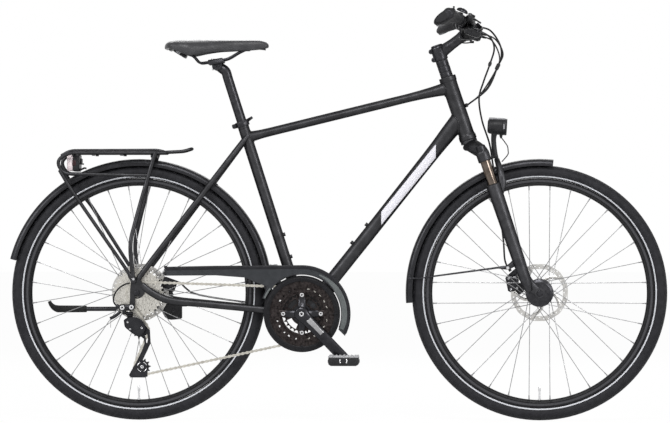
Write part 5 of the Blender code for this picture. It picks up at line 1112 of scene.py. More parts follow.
def addFrontMudguard():
    bm = bmesh.new()
    guardShell(bm, frontHub, *guard["front"], 72)
    arch = steer(77, 57)
    inward = (frontHub - arch).normalized()
    gap = (arch - frontHub).length - guard["radius"] * mm
    sweep(bm, [arch + inward * 6.4 * mm, arch + inward * (gap + 1.6 * mm)], (9, 5), 20)
    clip = frontHub + spokeWay(173.6) * (guard["radius"] - 9) * mm
    eye = steer(369, -10)
    steel = []
    for side in (-1, 1):
        y = side * (guard["half"] - 1)
        softBlock(bm, clip + across * (y + side * 0.2) * mm, (8.5, 4.2, 20), 1.6)
        outY = side * (fork["legY"] + 3.6) * mm
        first, last = eye + across * outY, clip + across * (y + side) * mm
        path = [
            first, moved(first, -14, 0, 0), moved(first, -26, 0, 0), moved(last, 26, 0, 0),
            moved(last, -5, 0, 0),
        ]
        steel.append((path, [(1.9, 5), (1.9, 4)] + [(1.9, 1.9)] * 3))
    known = set(bm.faces)
    for path, sizes in steel:
        sweep(bm, path, sizes, 12)
    known = paintFrom(bm, known, 1)
    for side in (-1, 1):
        head = eye + across * side * (fork["legY"] + 5.2) * mm
        spun(
            bm, rounded([(0.2, 0), (4.2, 0), (4.2, 2.6), (2, 2.6), (2, 1.4), (0.2, 1.4)], 0.4), head,
            axis=across * side, steps=20,
        )
    paintFrom(bm, known, 2)
    addPiece(
        "frontMudguard", bm, "fork_sliders", [guardBlack, anodised, brightSteel], ["front_mudguard"],
        sharp=32,
    )


def addRearMudguard():
    bm = bmesh.new()
    guardShell(bm, rearHub, *guard["rear"], 120)
    bridgeWay = (seat(tubes["seatLength"] - 52) - rearHub).normalized()
    lower = fromCrank(-67, 0, 9) - rearHub
    for way, end in ((bridgeWay, guard["radius"] + 1.7), (lower.normalized(), lower.length / mm - 7.3)):
        sweep(bm, [rearHub + way * (guard["radius"] - 1.2) * mm, rearHub + way * end * mm], (8, 7), 20)
    addPiece("rearMudguard", bm, "frame", guardBlack, ["rear_mudguard"], sharp=32)


guardBlack = finish(
    "mudguardBlack", (0.024, 0.024, 0.026), (0.036, 0.036, 0.039), 0.28, metallic=0.5, grain=30, bump=0.1,
    bumpScale=1200, edge=0.0,
)
addForkCrown()
addForkLowers()
addFrontMudguard()
addRearMudguard()
print("fork and mudguards are made")


# saddle and post

saddle = {
    "rear": (-210, 207.6),
    "plan": [
        (0, 40, 1.5, 10), (2, 49, 5.5, 15), (12, 71, 12, 20), (36, 81, 16, 32), (62, 82.5, 16.8, 43),
        (80, 77, 16.8, 44), (112, 60, 16.8, 38), (150, 39, 16.6, 33), (190, 27, 16.4, 31),
        (235, 21, 16.2, 28), (262, 18, 15.4, 25), (277, 14.5, 11.5, 18), (283, 10.5, 7.5, 12.5),
        (285, 6, 3.4, 6),
    ],
    "roof": [
        (0, 0), (0.06, 0), (0.13, 0), (0.26, 0.004), (0.42, 0.016), (0.58, 0.04), (0.72, 0.085),
        (0.82, 0.14), (0.86, 0.165), (0.90, 0.215), (0.955, 0.33), (0.99, 0.47), (1, 0.62), (0.99, 0.82),
        (0.965, 0.96), (0.93, 1), (0.885, 0.97),
    ],
    "channel": 3.4, "seam": 0.9, "postExposed": 165, "postRadius": 13.55, "padDepth": 20,
}
saddleRear = moved(seatTop, saddle["rear"][0], 0, saddle["rear"][1])


def saddlePoint(x, y, z):
    return moved(saddleRear, x, y, z)


def leather():
    made = finish(
        "saddleCover", (0.024, 0.024, 0.026), (0.044, 0.044, 0.047), 0.38, grain=45, worn=0.2, level=0.25
    )
    place = made.node_tree.nodes["Texture Coordinate"].outputs["Object"]
    cells = addNode(made.node_tree, "TexVoronoi", {"Scale": 900, "Vector": place})
    raised(made, cells.outputs["Distance"], 0.25)
    return made


def saddleRing(x, half, top, drop):
    # One cross-section: a roof with a soft channel, a seam along each shoulder and wings turned under.
    deep = min(drop, saddle["padDepth"]) / drop
    right = list(saddle["roof"]) + [
        (0.84, deep + (1 - deep) * 0.45), (0.78, deep), (0.55, deep), (0.25, deep)
    ]
    ring = []
    for a, h in right + [(0, deep)] + [(-a, h) for a, h in right[:0:-1]]:
        low = 0
        onRoof = h < 0.3
        if onRoof and half > 20:
            fade = min(1, (half - 20) / 18) * min(1, x / 60)
            low = saddle["channel"] * fade * max(0, 1 - (abs(a) * half / 11) ** 2)
        if 0.845 < abs(a) < 0.875 and onRoof and 6 < x < 280:
            low += saddle["seam"]
        ring.append(saddlePoint(x, half * a, top - drop * h - low))
    return ring


def addSaddlePad():
    rows = [((x, half, top), (drop, 0.0)) for x, half, top, drop in saddle["plan"]]
    path, extra = smooth([(Vector(p), s) for p, s in rows], 5)
    rings = [saddleRing(p.x, p.y, p.z, max(s[0], 1)) for p, s in zip(path, extra)]
    bm = bmesh.new()
    first = [bm.verts.new(p) for p in rings[0]]
    edges = [bm.edges.new((first[k], first[(k + 1) % len(first)])) for k in range(len(first))]
    opening, row = edges, first
    for ring in rings[1:]:
        made = bmesh.ops.extrude_edge_only(bm, edges=edges)
        verts = [g for g in made["geom"] if isinstance(g, bmesh.types.BMVert)]
        edges = [g for g in made["geom"] if isinstance(g, bmesh.types.BMEdge)]
        edges = [e for e in edges if all(v in set(verts) for v in e.verts)]
        order = []
        for old in row:
            order.append(next(e.other_vert(old) for e in old.link_edges if e.other_vert(old) in set(verts)))
        for vert, place in zip(order, ring):
            vert.co = place
        row = order
    for rim in (opening, edges):
        face = bmesh.ops.edgeloop_fill(bm, edges=rim)["faces"]
        bmesh.ops.inset_region(bm, faces=face, thickness=2.2 * mm, depth=0.8 * mm)
    pad = addPiece("saddlePadding", bm, "saddle_and_post", leather(), ["saddle_pad"], sharp=50)
    smoothing = pad.modifiers.new("softened", "SUBSURF")
    smoothing.levels = 1
    smoothing.render_levels = 1


def addStitches():
    # A raised thread along both shoulders, in short stitches.
    bm = bmesh.new()
    rows = [((x, half, top), (drop, 0.0)) for x, half, top, drop in saddle["plan"][2:-3]]
    path, extra = smooth([(Vector(p), s) for p, s in rows], 12)
    for side in (-1, 1):
        line = [saddlePoint(p.x, side * p.y * 0.80, p.z - s[0] * 0.128 + 0.15) for p, s in zip(path, extra)]
        gone = 0.0
        for one, two in zip(line, line[1:]):
            gone += (two - one).length / mm
            if gone > 3.4:
                gone = 0.0
                step = (two - one).normalized() * 1.15 * mm
                middle = (one + two) / 2
                arched = [moved(middle + step * share, 0, 0, 0.25) for share in (-0.4, 0.4)]
                sweep(bm, [middle - step, *arched, middle + step], 0.32, 5)
    addPiece("saddleStitches", bm, "saddle_and_post", threadBlack, sharp=80)


threadBlack = finish(
    "saddleThread", (0.03, 0.03, 0.032), (0.05, 0.05, 0.053), 0.7, grain=600, bump=0.5, bumpScale=4000,
    sheen=0.2,
)


def addSaddleBase():
    bm = bmesh.new()
    left = [Vector((x, 0.70 * half, top - min(drop, saddle["padDepth"]) - 0.6))
            for x, half, top, drop in saddle["plan"] if 10 < x < 280]
    right = [(0.4, 5), (0.85, 4.6), (0.97, 3), (1, 1.6), (0.96, 0.4)]
    section = [(-a, b) for a, b in right[::-1]] + [(0, 5)] + right + [(0, 0)]
    edges = opening = None
    for p in smooth(left, 4):
        verts = [bm.verts.new(saddlePoint(p.x, p.y * a, p.z - b)) for a, b in section]
        fresh = [bm.edges.new((verts[k], verts[(k + 1) % len(verts)])) for k in range(len(verts))]
        if edges:
            bmesh.ops.bridge_loops(bm, edges=edges + fresh)
        else:
            opening = fresh
        edges = fresh
    bmesh.ops.edgeloop_fill(bm, edges=opening)
    bmesh.ops.edgeloop_fill(bm, edges=edges)
    slant = Matrix.Rotation(radians(31.6), 3, "Y")
    softBlock(bm, saddlePoint(41, 0, -20.5), (38, 52, 10), 2.6, slant)
    for side in (-1, 1):
        softBlock(bm, saddlePoint(39, side * 33, -9.5), (16, 12, 8), 2)
        softBlock(bm, saddlePoint(226, side * 10, -10.5), (16, 9, 7), 2)
    known = set(bm.faces)
    for side in (-1, 1):
        y = side * 22
        line = [
            (38, y * 1.5, -8), (64, y * 1.28, -20), (80, y * 1.1, -31), (95, y, -46), (116, y, -45.5),
            (161, y, -38.5), (180, y * 0.9, -32), (203, y * 0.72, -18.5), (226, y * 0.55, -8),
        ]
        sweep(bm, smooth([saddlePoint(*p) for p in line], 6), 3.5, 16)
    known = paintFrom(bm, known, 1)
    patch = slant @ Vector((-6, 0, 0))
    for y in (-26.2, 26.2):
        softBlock(bm, saddlePoint(41 + patch.x, y, -20.5 + patch.z), (13, 1.6, 6.4), 0.7, slant)
    paintFrom(bm, known, 2)
    addPiece(
        "saddleBase", bm, "saddle_and_post", [plastic, forged, palePlastic], ["saddle_base"],
        sharp=34,
    )


palePlastic = finish(
    "paleGreyPlastic", (0.22, 0.22, 0.23), (0.30, 0.30, 0.31), 0.5, grain=80, bump=0.2, bumpScale=1600
)


def addSeatpost():
    radius = saddle["postRadius"]
    head = saddlePoint(143, 0, -54)
    top = seat(tubes["seatLength"] + saddle["postExposed"] - 22)
    bend = top.lerp(head, 0.45) + seatUp * 2 * mm
    line = [
        (p, (radius, radius))
        for p in (seat(tubes["seatLength"] - 120), seat(tubes["seatLength"] + 20), top - seatUp * 26 * mm)
    ]
    line += [(top, (radius, radius * 1.01)), (bend, (radius * 0.97, radius * 1.02)), (head, (11, 12))]
    bm = bmesh.new()
    sweep(bm, *smooth(line, 7), 40)
    for side in (-1, 1):
        ear = [
            (0.2, 0), (14, 0), (14, 18.1), (11.4, 18.1), (10.8, 16.8), (7.4, 16.8), (7, 17.6), (4, 17.6),
            (3.4, 14), (0.2, 14),
        ]
        spun(bm, rounded(ear, 0.5), head, axis=across * side, steps=40)
        collar(bm, saddlePoint(139, side * 22, -42.2), Vector((1, 0, 0.155)), 3.5, 6.6, -20, 20, 0.5, 20)
    cradle = Matrix.Rotation(radians(-8.5), 3, "Y")
    softBlock(bm, moved(head, -2, 0, 8.4), (44, 58, 9), 2.8, cradle)
    known = set(bm.faces)
    for along in (-13, 12):
        screw = [(0.2, -26), (2.4, -26), (2.4, 3), (4.6, 3), (4.6, 6.4), (2, 6.4), (2, 4.6), (0.2, 4.6)]
        spun(bm, rounded(screw, 0.4), moved(head, along, 0, 13), axis=(0, 0, 1), steps=18)
    paintFrom(bm, known, 1)
    addPiece(
        "seatpost", bm, "saddle_and_post", [anodised, brightSteel], ["seatpost"], sharp=34
    )
    refined("seatClamp", "seat_clamp", "frame", anodised, 0.6)
    refined("seatClampLever", "seat_clamp_lever", "seat_clamp_lever", anodised, 0.7, sharp=60)


addSaddlePad()
addStitches()
addSaddleBase()
addSeatpost()
print("saddle and post are made")


# stem, bar, grips and controls

cockpit = {
    "barLine": [
        (0, 0, 0), (0, 28, 0), (-1, 60, 2), (-6, 100, 15), (-12, 140, 28), (-24, 190, 34), (-40, 255, 39),
        (-47, 305, 42),
    ],
    "barRadius": 11.1, "clampRadius": 15.9, "barMiddle": (76, 56), "gripRadius": 15.4,
    "wingWay": (-0.83, 0, -0.558),
    "bellTilt": (0.4, 0, 0.92),
}
stemCentre = steer(-tubes["headLength"] - fork["spacers"] - fork["stem"] / 2)
barCentre = moved(stemCentre, cockpit["barMiddle"][0], 0, cockpit["barMiddle"][1])
wingWay = Vector(cockpit["wingWay"])
leverAxis = Vector((1, 0, 1)).normalized()


def barAt(y, side=1, x=0, z=0):
    line = cockpit["barLine"]
    for one, two in zip(line, line[1:]):
        if y <= two[1] or two is line[-1]:
            t = (y - one[1]) / (two[1] - one[1])
            return moved(
                barCentre, one[0] + (two[0] - one[0]) * t + x, side * y, one[2] + (two[2] - one[2]) * t + z
            )


def screwHead(bm, place, out, radius=3.6, height=2.6):
    # A socket-head screw with its hexagonal hole.
    spun(
        bm,
        rounded(
            [
                (radius * 0.5, height - 1.6), (radius * 0.52, height), (radius, height), (radius, -3),
                (0.2, -3),
            ],
            0.4,
        ),
        place, axis=out, steps=18,
    )
    spun(bm, [(0.15, height - 1.6), (radius * 0.5, height - 1.6)], place, axis=out, steps=6)


def addStem():
    down = -tubes["headLength"] - fork["spacers"]
    bm = bmesh.new()
    sleeve = [(14.6, 0.4), (18.6, 0.4), (19.5, 3), (19.5, 36), (18.2, fork["stem"]), (14.6, fork["stem"])]
    spun(
        bm, rounded([(r, up - down) for r, up in sleeve], 1.2, True), headBottom, axis=steerUp, steps=48,
        closed=True,
    )
    way = (barCentre - stemCentre).normalized()
    arm = [(outFrom(stemCentre, way, 12), (14, 17.5)), (outFrom(stemCentre, way, 26), (15, 16))]
    arm += [(stemCentre.lerp(barCentre, 0.5), (14.6, 14.6))]
    arm += [(outFrom(barCentre, way, -24), (15.5, 14.8)), (outFrom(barCentre, way, -14), (18, 17))]
    sweep(bm, *smooth(arm, 6), 36)
    spun(
        bm,
        rounded([(16.2, -22), (19.6, -22), (20.5, -20.6), (20.5, 20.6), (19.6, 22), (16.2, 22)], 0.7, True),
        barCentre, steps=48, closed=True,
    )
    over = Vector((-way.z, 0, way.x))
    for up in (-1, 1):
        softBlock(
            bm, barCentre + (way * 4 + over * up * 20) * mm, (20, 40, 9), 3,
            Matrix.Rotation(-atan2(way.z, way.x), 3, "Y"),
        )
    for rise in (8, 32):
        rod(bm, steer(down - rise, -20, -10.5), steer(down - rise, -20, 10.5), 6.6, 24, soft=1.2)
    known = set(bm.faces)
    for up in (-1, 1):
        for side in (-1, 1):
            screwHead(bm, barCentre + (way * 15 + over * up * 20 + across * side * 14) * mm, way)
    for rise in (8, 32):
        screwHead(bm, steer(down - rise, -20, -10.5), -across)
    paintFrom(bm, known, 1)
    addPiece("stem", bm, "steering", [anodised, forged], ["stem"], sharp=34)


def addBar():
    half = [barAt(y) for y in (2, 24, 28, 44, 60, 80, 100, 120, 140, 165, 190, 222, 255, 304)]
    thick = [cockpit["clampRadius"]] * 3 + [14.4, 12.2] + [cockpit["barRadius"]] * 9
    line = [(p + across * -2 * p.y, (r, r)) for p, r in zip(reversed(half), reversed(thick))]
    line += [(p, (r, r)) for p, r in zip(half, thick)]
    bm = bmesh.new()
    sweep(bm, *smooth(line, 4), 32, up=(0, 0, 1), soft=1)
    addPiece("handlebar", bm, "steering", anodised, ["handlebar"], sharp=34)


def gripRubber():
    made = finish("gripRubber", (0.014, 0.014, 0.015), (0.020, 0.020, 0.022), 0.62, grain=70)
    tree = made.node_tree
    place = tree.nodes["Texture Coordinate"].outputs["Object"]
    ribs = addNode(tree, "TexWave", {"Scale": 90, "Distortion": 1.5, "Vector": place})
    ribs.bands_direction = "Y"
    dots = addNode(tree, "TexVoronoi", {"Scale": 650, "Vector": place})
    both = mathNode(
        tree, "ADD", mathNode(tree, "MULTIPLY", ribs.outputs["Fac"], 0.35), dots.outputs["Distance"]
    )
    raised(made, both, 0.35, 0.0005)
    return made


def addGrip(side, name, node):
    bm = bmesh.new()
    reach = cockpit["gripRadius"]
    core = [
        (184, reach * 0.97), (186, reach), (200, reach * 0.96), (222, reach * 0.93), (250, reach * 0.95),
        (280, reach), (306.9, reach),
    ]
    sweep(bm, *smooth([(barAt(y, side), (r, r)) for y, r in core], 5), 32, up=wingWay, soft=1.6)
    wing = [
        (200, 0, 12.5, 12.5), (212, 2, 15, 13.6), (226, 4.5, 19.5, 14.2), (244, 8, 25, 14.2),
        (262, 11, 29, 14.6), (280, 13.4, 32.6, 15.2), (294, 14.4, 34.4, 15.4), (302.4, 14, 33.6, 14.4),
        (308.9, 12.4, 30.4, 11.4),
    ]
    shape = [(barAt(y, side) + wingWay * off * mm, (a, b)) for y, off, a, b in wing]
    sweep(bm, *smooth(shape, 5), 40, up=wingWay, soft=3)
    known = set(bm.faces)
    lower = [
        (moved(barAt(y, side) + wingWay * (off + a - 15) * mm, 4, 0, -7.4), (12.6, 4.6))
        for y, off, a, _ in wing[4:8]
    ]
    sweep(bm, *smooth(lower, 4), 24, up=wingWay, soft=2.4)
    known = paintFrom(bm, known, 1)
    collar(bm, barAt(180.6, side), barAt(190, side) - barAt(170, side), 11.8, 16.6, -4, 4, 1)
    spun(
        bm, rounded([(0.2, 5), (8.6, 5), (11, 3), (11, -3), (0.2, -3)], 1), barAt(303.2, side),
        axis=barAt(305, side) - barAt(255, side), steps=32,
    )
    paintFrom(bm, known, 2)
    addPiece(name, bm, "steering", [gripSkin, palmGrey, anodised], [node], sharp=45)


def addControl(side, word):
    bm = bmesh.new()
    for y, wide, thick in ((158, 8, 16.5), (116, 6, 15.6)):
        collar(
            bm, barAt(y, side), barAt(y + 8, side) - barAt(y - 8, side), 11.6, thick, -wide, wide, 1.4, 36
        )
    rows = [
        (172, 22, 3, 6, 6.5), (167, 24, 4, 9.6, 9.2), (158, 25, 5, 11, 10.6), (132, 23.6, 4.4, 10.4, 11.2)
    ]
    rows += [(110, 22.6, 3, 10, 10.2), (101, 26, 2.4, 8, 8), (96, 29.4, 2, 5.4, 5.4)]
    body = [(barAt(y, side, x, z), (a, b)) for y, x, z, a, b in rows]
    sweep(bm, *smooth(body, 5), 28, soft=1.5)
    softBlock(bm, barAt(142, side, 27, 15), (20, 40, 6.5), 2.2, Matrix.Rotation(radians(24), 3, "Y"))
    tilt = Matrix.Rotation(radians(20), 3, "Y")
    softBlock(bm, barAt(124, side, 26, -24), (44, 40, 23), 7.5, tilt, 4)
    softBlock(bm, barAt(124, side, 41, -31), (15, 30, 15), 5, tilt, 3)
    pivot = barAt(148, side, 45, -12)
    for step in (-1, 1):
        ears = ((barAt(148, side, 27, 4), 4.5), (barAt(148, side, 38, -6), 8), (pivot, 8.6))
        sweep(
            bm, [place + leverAxis * step * off * mm for place, off in ears], [(6, 3), (5.6, 2.4), (5, 2)],
            16, soft=1,
        )
    known = set(bm.faces)
    for off in (-13, 13):
        screwHead(bm, barAt(142 + off, side, 28.6, 17.6), Vector((0.4, 0, 0.91)), 2.4, 1.4)
    screwHead(bm, barAt(158, side, 3, -17.4), Vector((0, 0, -1)), 3, 2)
    screwHead(bm, pivot + leverAxis * 9.6 * mm, leverAxis, 3, 1.6)
    for place, axis, wide, long, tip in (
        (barAt(95, side, 30, 2), (0.2, -side, 0), 5, 6, 3),
        (barAt(104, side, 45, -21), (0.2, -side, 0.1), 4.6, 5, 2.9),
    ):
        barrel = [(0.2, -6), (wide, -6), (wide, long), (tip, 8), (0.2, 8)]
        spun(bm, rounded(barrel, 0.6), place, axis=axis, steps=20)
    known = paintFrom(bm, known, 1)
    softBlock(bm, barAt(126, side, 31, -13.4), (22, 17, 3), 1.2, tilt)
    paintFrom(bm, known, 2)
    addPiece(
        f"control{word.title()}", bm, "steering", [plastic, forged, smokePlastic], [f"control_{word}"],
        sharp=38,
    )
    bm = bmesh.new()
    blade = [
        (0, 0, 0, 5, 4.4), (6, 10, -6, 4.8, 5), (9, 22, -10, 4, 6), (9.4, 38, -14, 3.5, 6.6),
        (8, 55, -17, 3.5, 7), (4, 72, -19, 3.6, 7), (0, 86, -20, 3.8, 6.6),
    ]
    sweep(
        bm, *smooth([(moved(pivot, x, y * side, z), (a, b)) for x, y, z, a, b in blade], 6), 24,
        up=(-1, 0, 1), soft=3
    )
    rod(bm, pivot - leverAxis * 5 * mm, pivot + leverAxis * 5 * mm, 5, 24, soft=0.6)
    addPiece(
        f"brakeLever{word.title()}", bm, f"brake_lever_{word}", anodised, [f"brake_lever_{word}"],
        sharp=45,
    )
    bm = bmesh.new()
    thumb = barAt(128, side, 24, -43.5)
    disc(bm, thumb, (0, 0, 1), 6, -3, 3.4, 0.8)
    blade = [
        (0, 0, 0, 2, 5), (-9, 3, -1.6, 2, 5.4), (-18, 8, -2, 2, 6), (-28, 14, -0.8, 2.2, 7.4),
        (-36, 20, 1, 2.4, 8),
    ]
    sweep(
        bm, *smooth([(moved(thumb, x, y * side, z), (a, b)) for x, y, z, a, b in blade], 5), 20,
        up=(0, 0, 1), soft=2
    )
    addPiece(
        f"shiftLever{word.title()}", bm, f"shift_lever_{word}", plastic, [f"shift_lever_{word}"],
        sharp=45,
    )


def addBell():
    foot = barAt(175, -1)
    tilt = Vector(cockpit["bellTilt"]).normalized()
    bm = bmesh.new()
    collar(bm, foot, barAt(190, -1) - barAt(160, -1), 11.6, 14.3, -4, 4, 0.8, 36)
    disc(bm, foot, tilt, 5, 9, 19, 0.5, 28)
    pivot = foot + tilt * 16.5 * mm - Vector((9.5, 0, -4)) * mm
    rod(bm, foot + tilt * 14 * mm, moved(pivot, 1.2, 0, -0.5), 2.2, 14)
    known = set(bm.faces)
    dome = [
        (15.6, 20.6), (16.2, 21.2), (16, 24.4), (15, 26.2), (12.4, 28.8), (8, 30.6), (3.6, 31.4),
        (3.2, 30.9), (0.2, 30.9),
    ]
    inside = [(0.2, 29.6), (8, 29), (12, 27), (14.6, 23.8), (15, 20.8)]
    spun(bm, inside + dome, foot, axis=tilt, steps=48)
    known = paintFrom(bm, known, 1)
    spun(bm, rounded([(0.2, 30.6), (3, 30.6), (2.6, 32), (0.2, 32)], 0.4), foot, axis=tilt, steps=20)
    paintFrom(bm, known, 2)
    addPiece("bell", bm, "steering", [plastic, forged, brightSteel], ["bell"], sharp=38)
    bm = bmesh.new()
    sweep(
        bm,
        *smooth(
            [
                (pivot, (1.8, 1.8)), (moved(pivot, -9, 0, 4), (1.6, 1.6)),
                (moved(pivot, -11, 0, 16), (2.6, 2.6)),
            ],
            6,
        ),
        16, soft=1
    )
    addPiece("bellStriker", bm, "bell_striker", forged, ["bell_striker"], sharp=45)


gripSkin = gripRubber()
palmGrey = finish(
    "palmGreyRubber", (0.11, 0.11, 0.115), (0.16, 0.16, 0.165), 0.62, grain=90, bump=0.5, bumpScale=900
)
addStem()
addBar()
addGrip(-1, "gripRight", "grip_right")
addGrip(1, "gripLeft", "grip_left")
addControl(-1, "right")
addControl(1, "left")
addBell()
print("stem, bar, grips and controls are made")


# chain, sprockets and cranks

drive = {
    "pitch": 12.7, "links": 114, "chainLine": 50, "ringStep": 7, "rings": (48, 36, 26),
    "cogs": (11, 13, 15, 17, 20, 23, 26, 30, 34), "cogStep": 4.35, "chainCog": 2, "pulleyTeeth": 11,
    "crank": 170, "crankAngle": -46, "crankOffset": 79, "spider": 52, "guardRadius": 105.6, "innerBore": 26,
    "bores": (62, 54.6, 26),
    "plateRadius": 4.1, "plateWaist": 2.4,
}


def pivotOf(body):
    for joint in frame["joints"]:
        if joint["child"] == body and "pos_m" in joint:
            return Vector(joint["pos_m"])


guideCentre, tensionCentre = pivotOf("guide_pulley"), pivotOf("tension_pulley")


def pitchRadius(teeth):
    return drive["pitch"] / (2 * sin(pi / teeth))


def tangentRun(one, radiusOne, turnOne, two, radiusTwo, turnTwo):
    gap = Vector((two.x - one.x, two.z - one.z))
    lean = asin((turnOne * radiusOne - turnTwo * radiusTwo) / gap.length)
    normal = atan2(gap.y, gap.x) - pi / 2 + lean
    out = Vector((cos(normal), sin(normal)))
    ends = ((one, radiusOne * turnOne), (two, radiusTwo * turnTwo))
    return [Vector((centre.x, centre.z)) + out * reach for centre, reach in ends]


def chainRuns():
    # The loop's straight runs and arcs, each with where it starts and how long it is in links.
    stops = [(crankCentre, drive["rings"][1], 1), (rearHub, drive["cogs"][drive["chainCog"]], 1),
             (guideCentre, drive["pulleyTeeth"], -1), (tensionCentre, drive["pulleyTeeth"], 1)]
    straights = []
    for k in range(4):
        one, two = stops[k], stops[(k + 1) % 4]
        straights.append(
            tangentRun(one[0], pitchRadius(one[1]) * mm, one[2], two[0], pitchRadius(two[1]) * mm, two[2])
        )
    runs, total = [], 0.0
    for k in range(4):
        start, end = straights[k]
        length = (end - start).length / (drive["pitch"] * mm)
        runs.append((None, (start, end), total, length))
        total += length
        centre, teeth, turn = stops[(k + 1) % 4]
        middle = Vector((centre.x, centre.z))
        first = atan2(end.y - middle.y, end.x - middle.x)
        leave = straights[(k + 1) % 4][0] - middle
        swing = (turn * (atan2(leave.y, leave.x) - first)) % (2 * pi) * turn
        length = abs(swing) * teeth / (2 * pi)
        runs.append((middle, (first, swing, teeth), total, length))
        total += length
    return runs, total


loopRuns, loopLength = chainRuns()


def loopPoint(u):
    u %= loopLength
    for middle, shape, start, length in loopRuns:
        if u <= start + length or start == loopRuns[-1][2]:
            t = (u - start) / length
            if middle is None:
                return shape[0].lerp(shape[1], t)
            first, swing, teeth = shape
            angle = first + swing * t
            return middle + Vector((cos(angle), sin(angle))) * pitchRadius(teeth) * mm


def toothPhase(number):
    # Where a roller sits on one of the loop's four sprockets, so that the teeth stand between rollers.
    _, (first, swing, _), start, length = loopRuns[2 * number - 1 if number else 7]
    return first + swing * (ceil(start) - start) / length


def linkTemplate(outer):
    near, far = (2.25, 3.15) if outer else (1.2, 2.1)
    radius, waist, pitch = drive["plateRadius"] * mm, drive["plateWaist"] * mm, drive["pitch"] * mm
    arcs = [(radius * cos(radians(a)), radius * sin(radians(a))) for a in range(60, 301, 40)]
    outline = arcs + [(pitch / 2, -waist)] + [(pitch - x, -z) for x, z in arcs] + [(pitch / 2, waist)]
    part = bmesh.new()
    for side in (-1, 1):
        cutPlate(part, outline, [], side * near, side * far)
    if outer:
        for x in (0, pitch):
            spun(part, [(0.1, -3.6), (1.75, -3.5), (1.75, 3.5), (0.1, 3.6)], Vector((x, 0, 0)), steps=8)
    else:
        for x in (0, pitch):
            spun(
                part, [(1.8, -1.15), (3.85, -1.15), (3.85, 1.15), (1.8, 1.15)], Vector((x, 0, 0)), steps=10,
                closed=True,
            )
    mesh = bpy.data.meshes.new("link")
    part.to_mesh(mesh)
    part.free()
    return mesh


def addChain():
    bm = bmesh.new()
    templates = [linkTemplate(True), linkTemplate(False)]
    links = drive["links"]
    pins = [loopPoint(k * loopLength / links) for k in range(links)]
    for k, pin in enumerate(pins):
        ahead = (pins[(k + 1) % links] - pin).normalized()
        known = len(bm.verts)
        bm.from_mesh(templates[k % 2])
        bm.verts.ensure_lookup_table()
        turn = Matrix(((ahead.x, 0, -ahead.y), (0, 1, 0), (ahead.y, 0, ahead.x))).to_4x4()
        place = Matrix.Translation((pin.x, -drive["chainLine"] * mm, pin.y)) @ turn
        bmesh.ops.transform(bm, matrix=place, verts=bm.verts[known:])
    for mesh in templates:
        bpy.data.meshes.remove(mesh)
    addPiece("chainLinks", bm, "frame", chainSteel, ["chain"], sharp=40)


def toothOutline(centre, teeth, phase, valley=4.6, tip=1.5):
    radius = pitchRadius(teeth)
    step = 2 * pi / teeth
    root, shoulder, point = 2.7 / radius, 1.7 / radius, 0.8 / radius
    shape = [(-root, -valley + 0.7), (0, -valley), (root, -valley + 0.7), (step / 2 - shoulder, -0.4),
             (step / 2 - point, tip), (step / 2 + point, tip), (step / 2 + shoulder, -0.4)]
    return [
        polar(centre, radius + out, phase + k * step + turn) for k in range(teeth) for turn, out in shape
    ]


def addCassette():
    bm = bmesh.new()
    firstY = -drive["chainLine"] - drive["chainCog"] * drive["cogStep"]
    for k, teeth in enumerate(drive["cogs"]):
        y = firstY + k * drive["cogStep"]
        phase = toothPhase(1) if k == drive["chainCog"] else 0.13 * k
        holes = [ringPoints(rearHub, 12, 24)]
        if teeth >= 20:
            reach = (pitchRadius(teeth) - 12) * mm
            count = 8 if teeth < 26 else 12
            for n in range(count):
                angle = 2 * pi * n / count + 0.2 * k
                holes.append(ringPoints(rearHub + Vector((cos(angle), 0, sin(angle))) * reach, 3.1, 10))
        cutPlate(bm, toothOutline(rearHub, teeth, phase), holes, y - 0.9, y + 0.9)
    known = set(bm.faces)
    lastY = firstY + 8 * drive["cogStep"]
    body = [
        (12.5, firstY - 2.2), (15.4, firstY - 2.2), (16, firstY - 0.9), (16, firstY + 9),
        (19.6, firstY + 13), (19.6, lastY + 1.4), (12.5, lastY + 1.4),
    ]
    spun(bm, rounded(body, 0.4, True), rearHub, steps=48, closed=True)
    for n in range(12):
        angle = 2 * pi * n / 12
        out = Vector((cos(angle), 0, sin(angle)))
        softBlock(
            bm, outFrom(rearHub, out, 14, firstY - 2.3), (2.6, 1.6, 1.8), 0.4,
            Matrix.Rotation(-angle, 3, "Y"),
        )
    paintFrom(bm, known, 1)
    addPiece("cassette", bm, "cassette", [cogSteel, anodised], ["cassette"], sharp=34)


def slotAt(angle, near, far, span):
    # A curved window between two radii, in degrees about the crank's axle.
    edges = ((near, (-0.5, -0.25, 0, 0.25, 0.5)), (far, (0.5, 0.25, 0, -0.25, -0.5)))
    return [
        polar(crankCentre, radius, radians(angle + span * turn))
        for radius, turns in edges for turn in turns
    ]


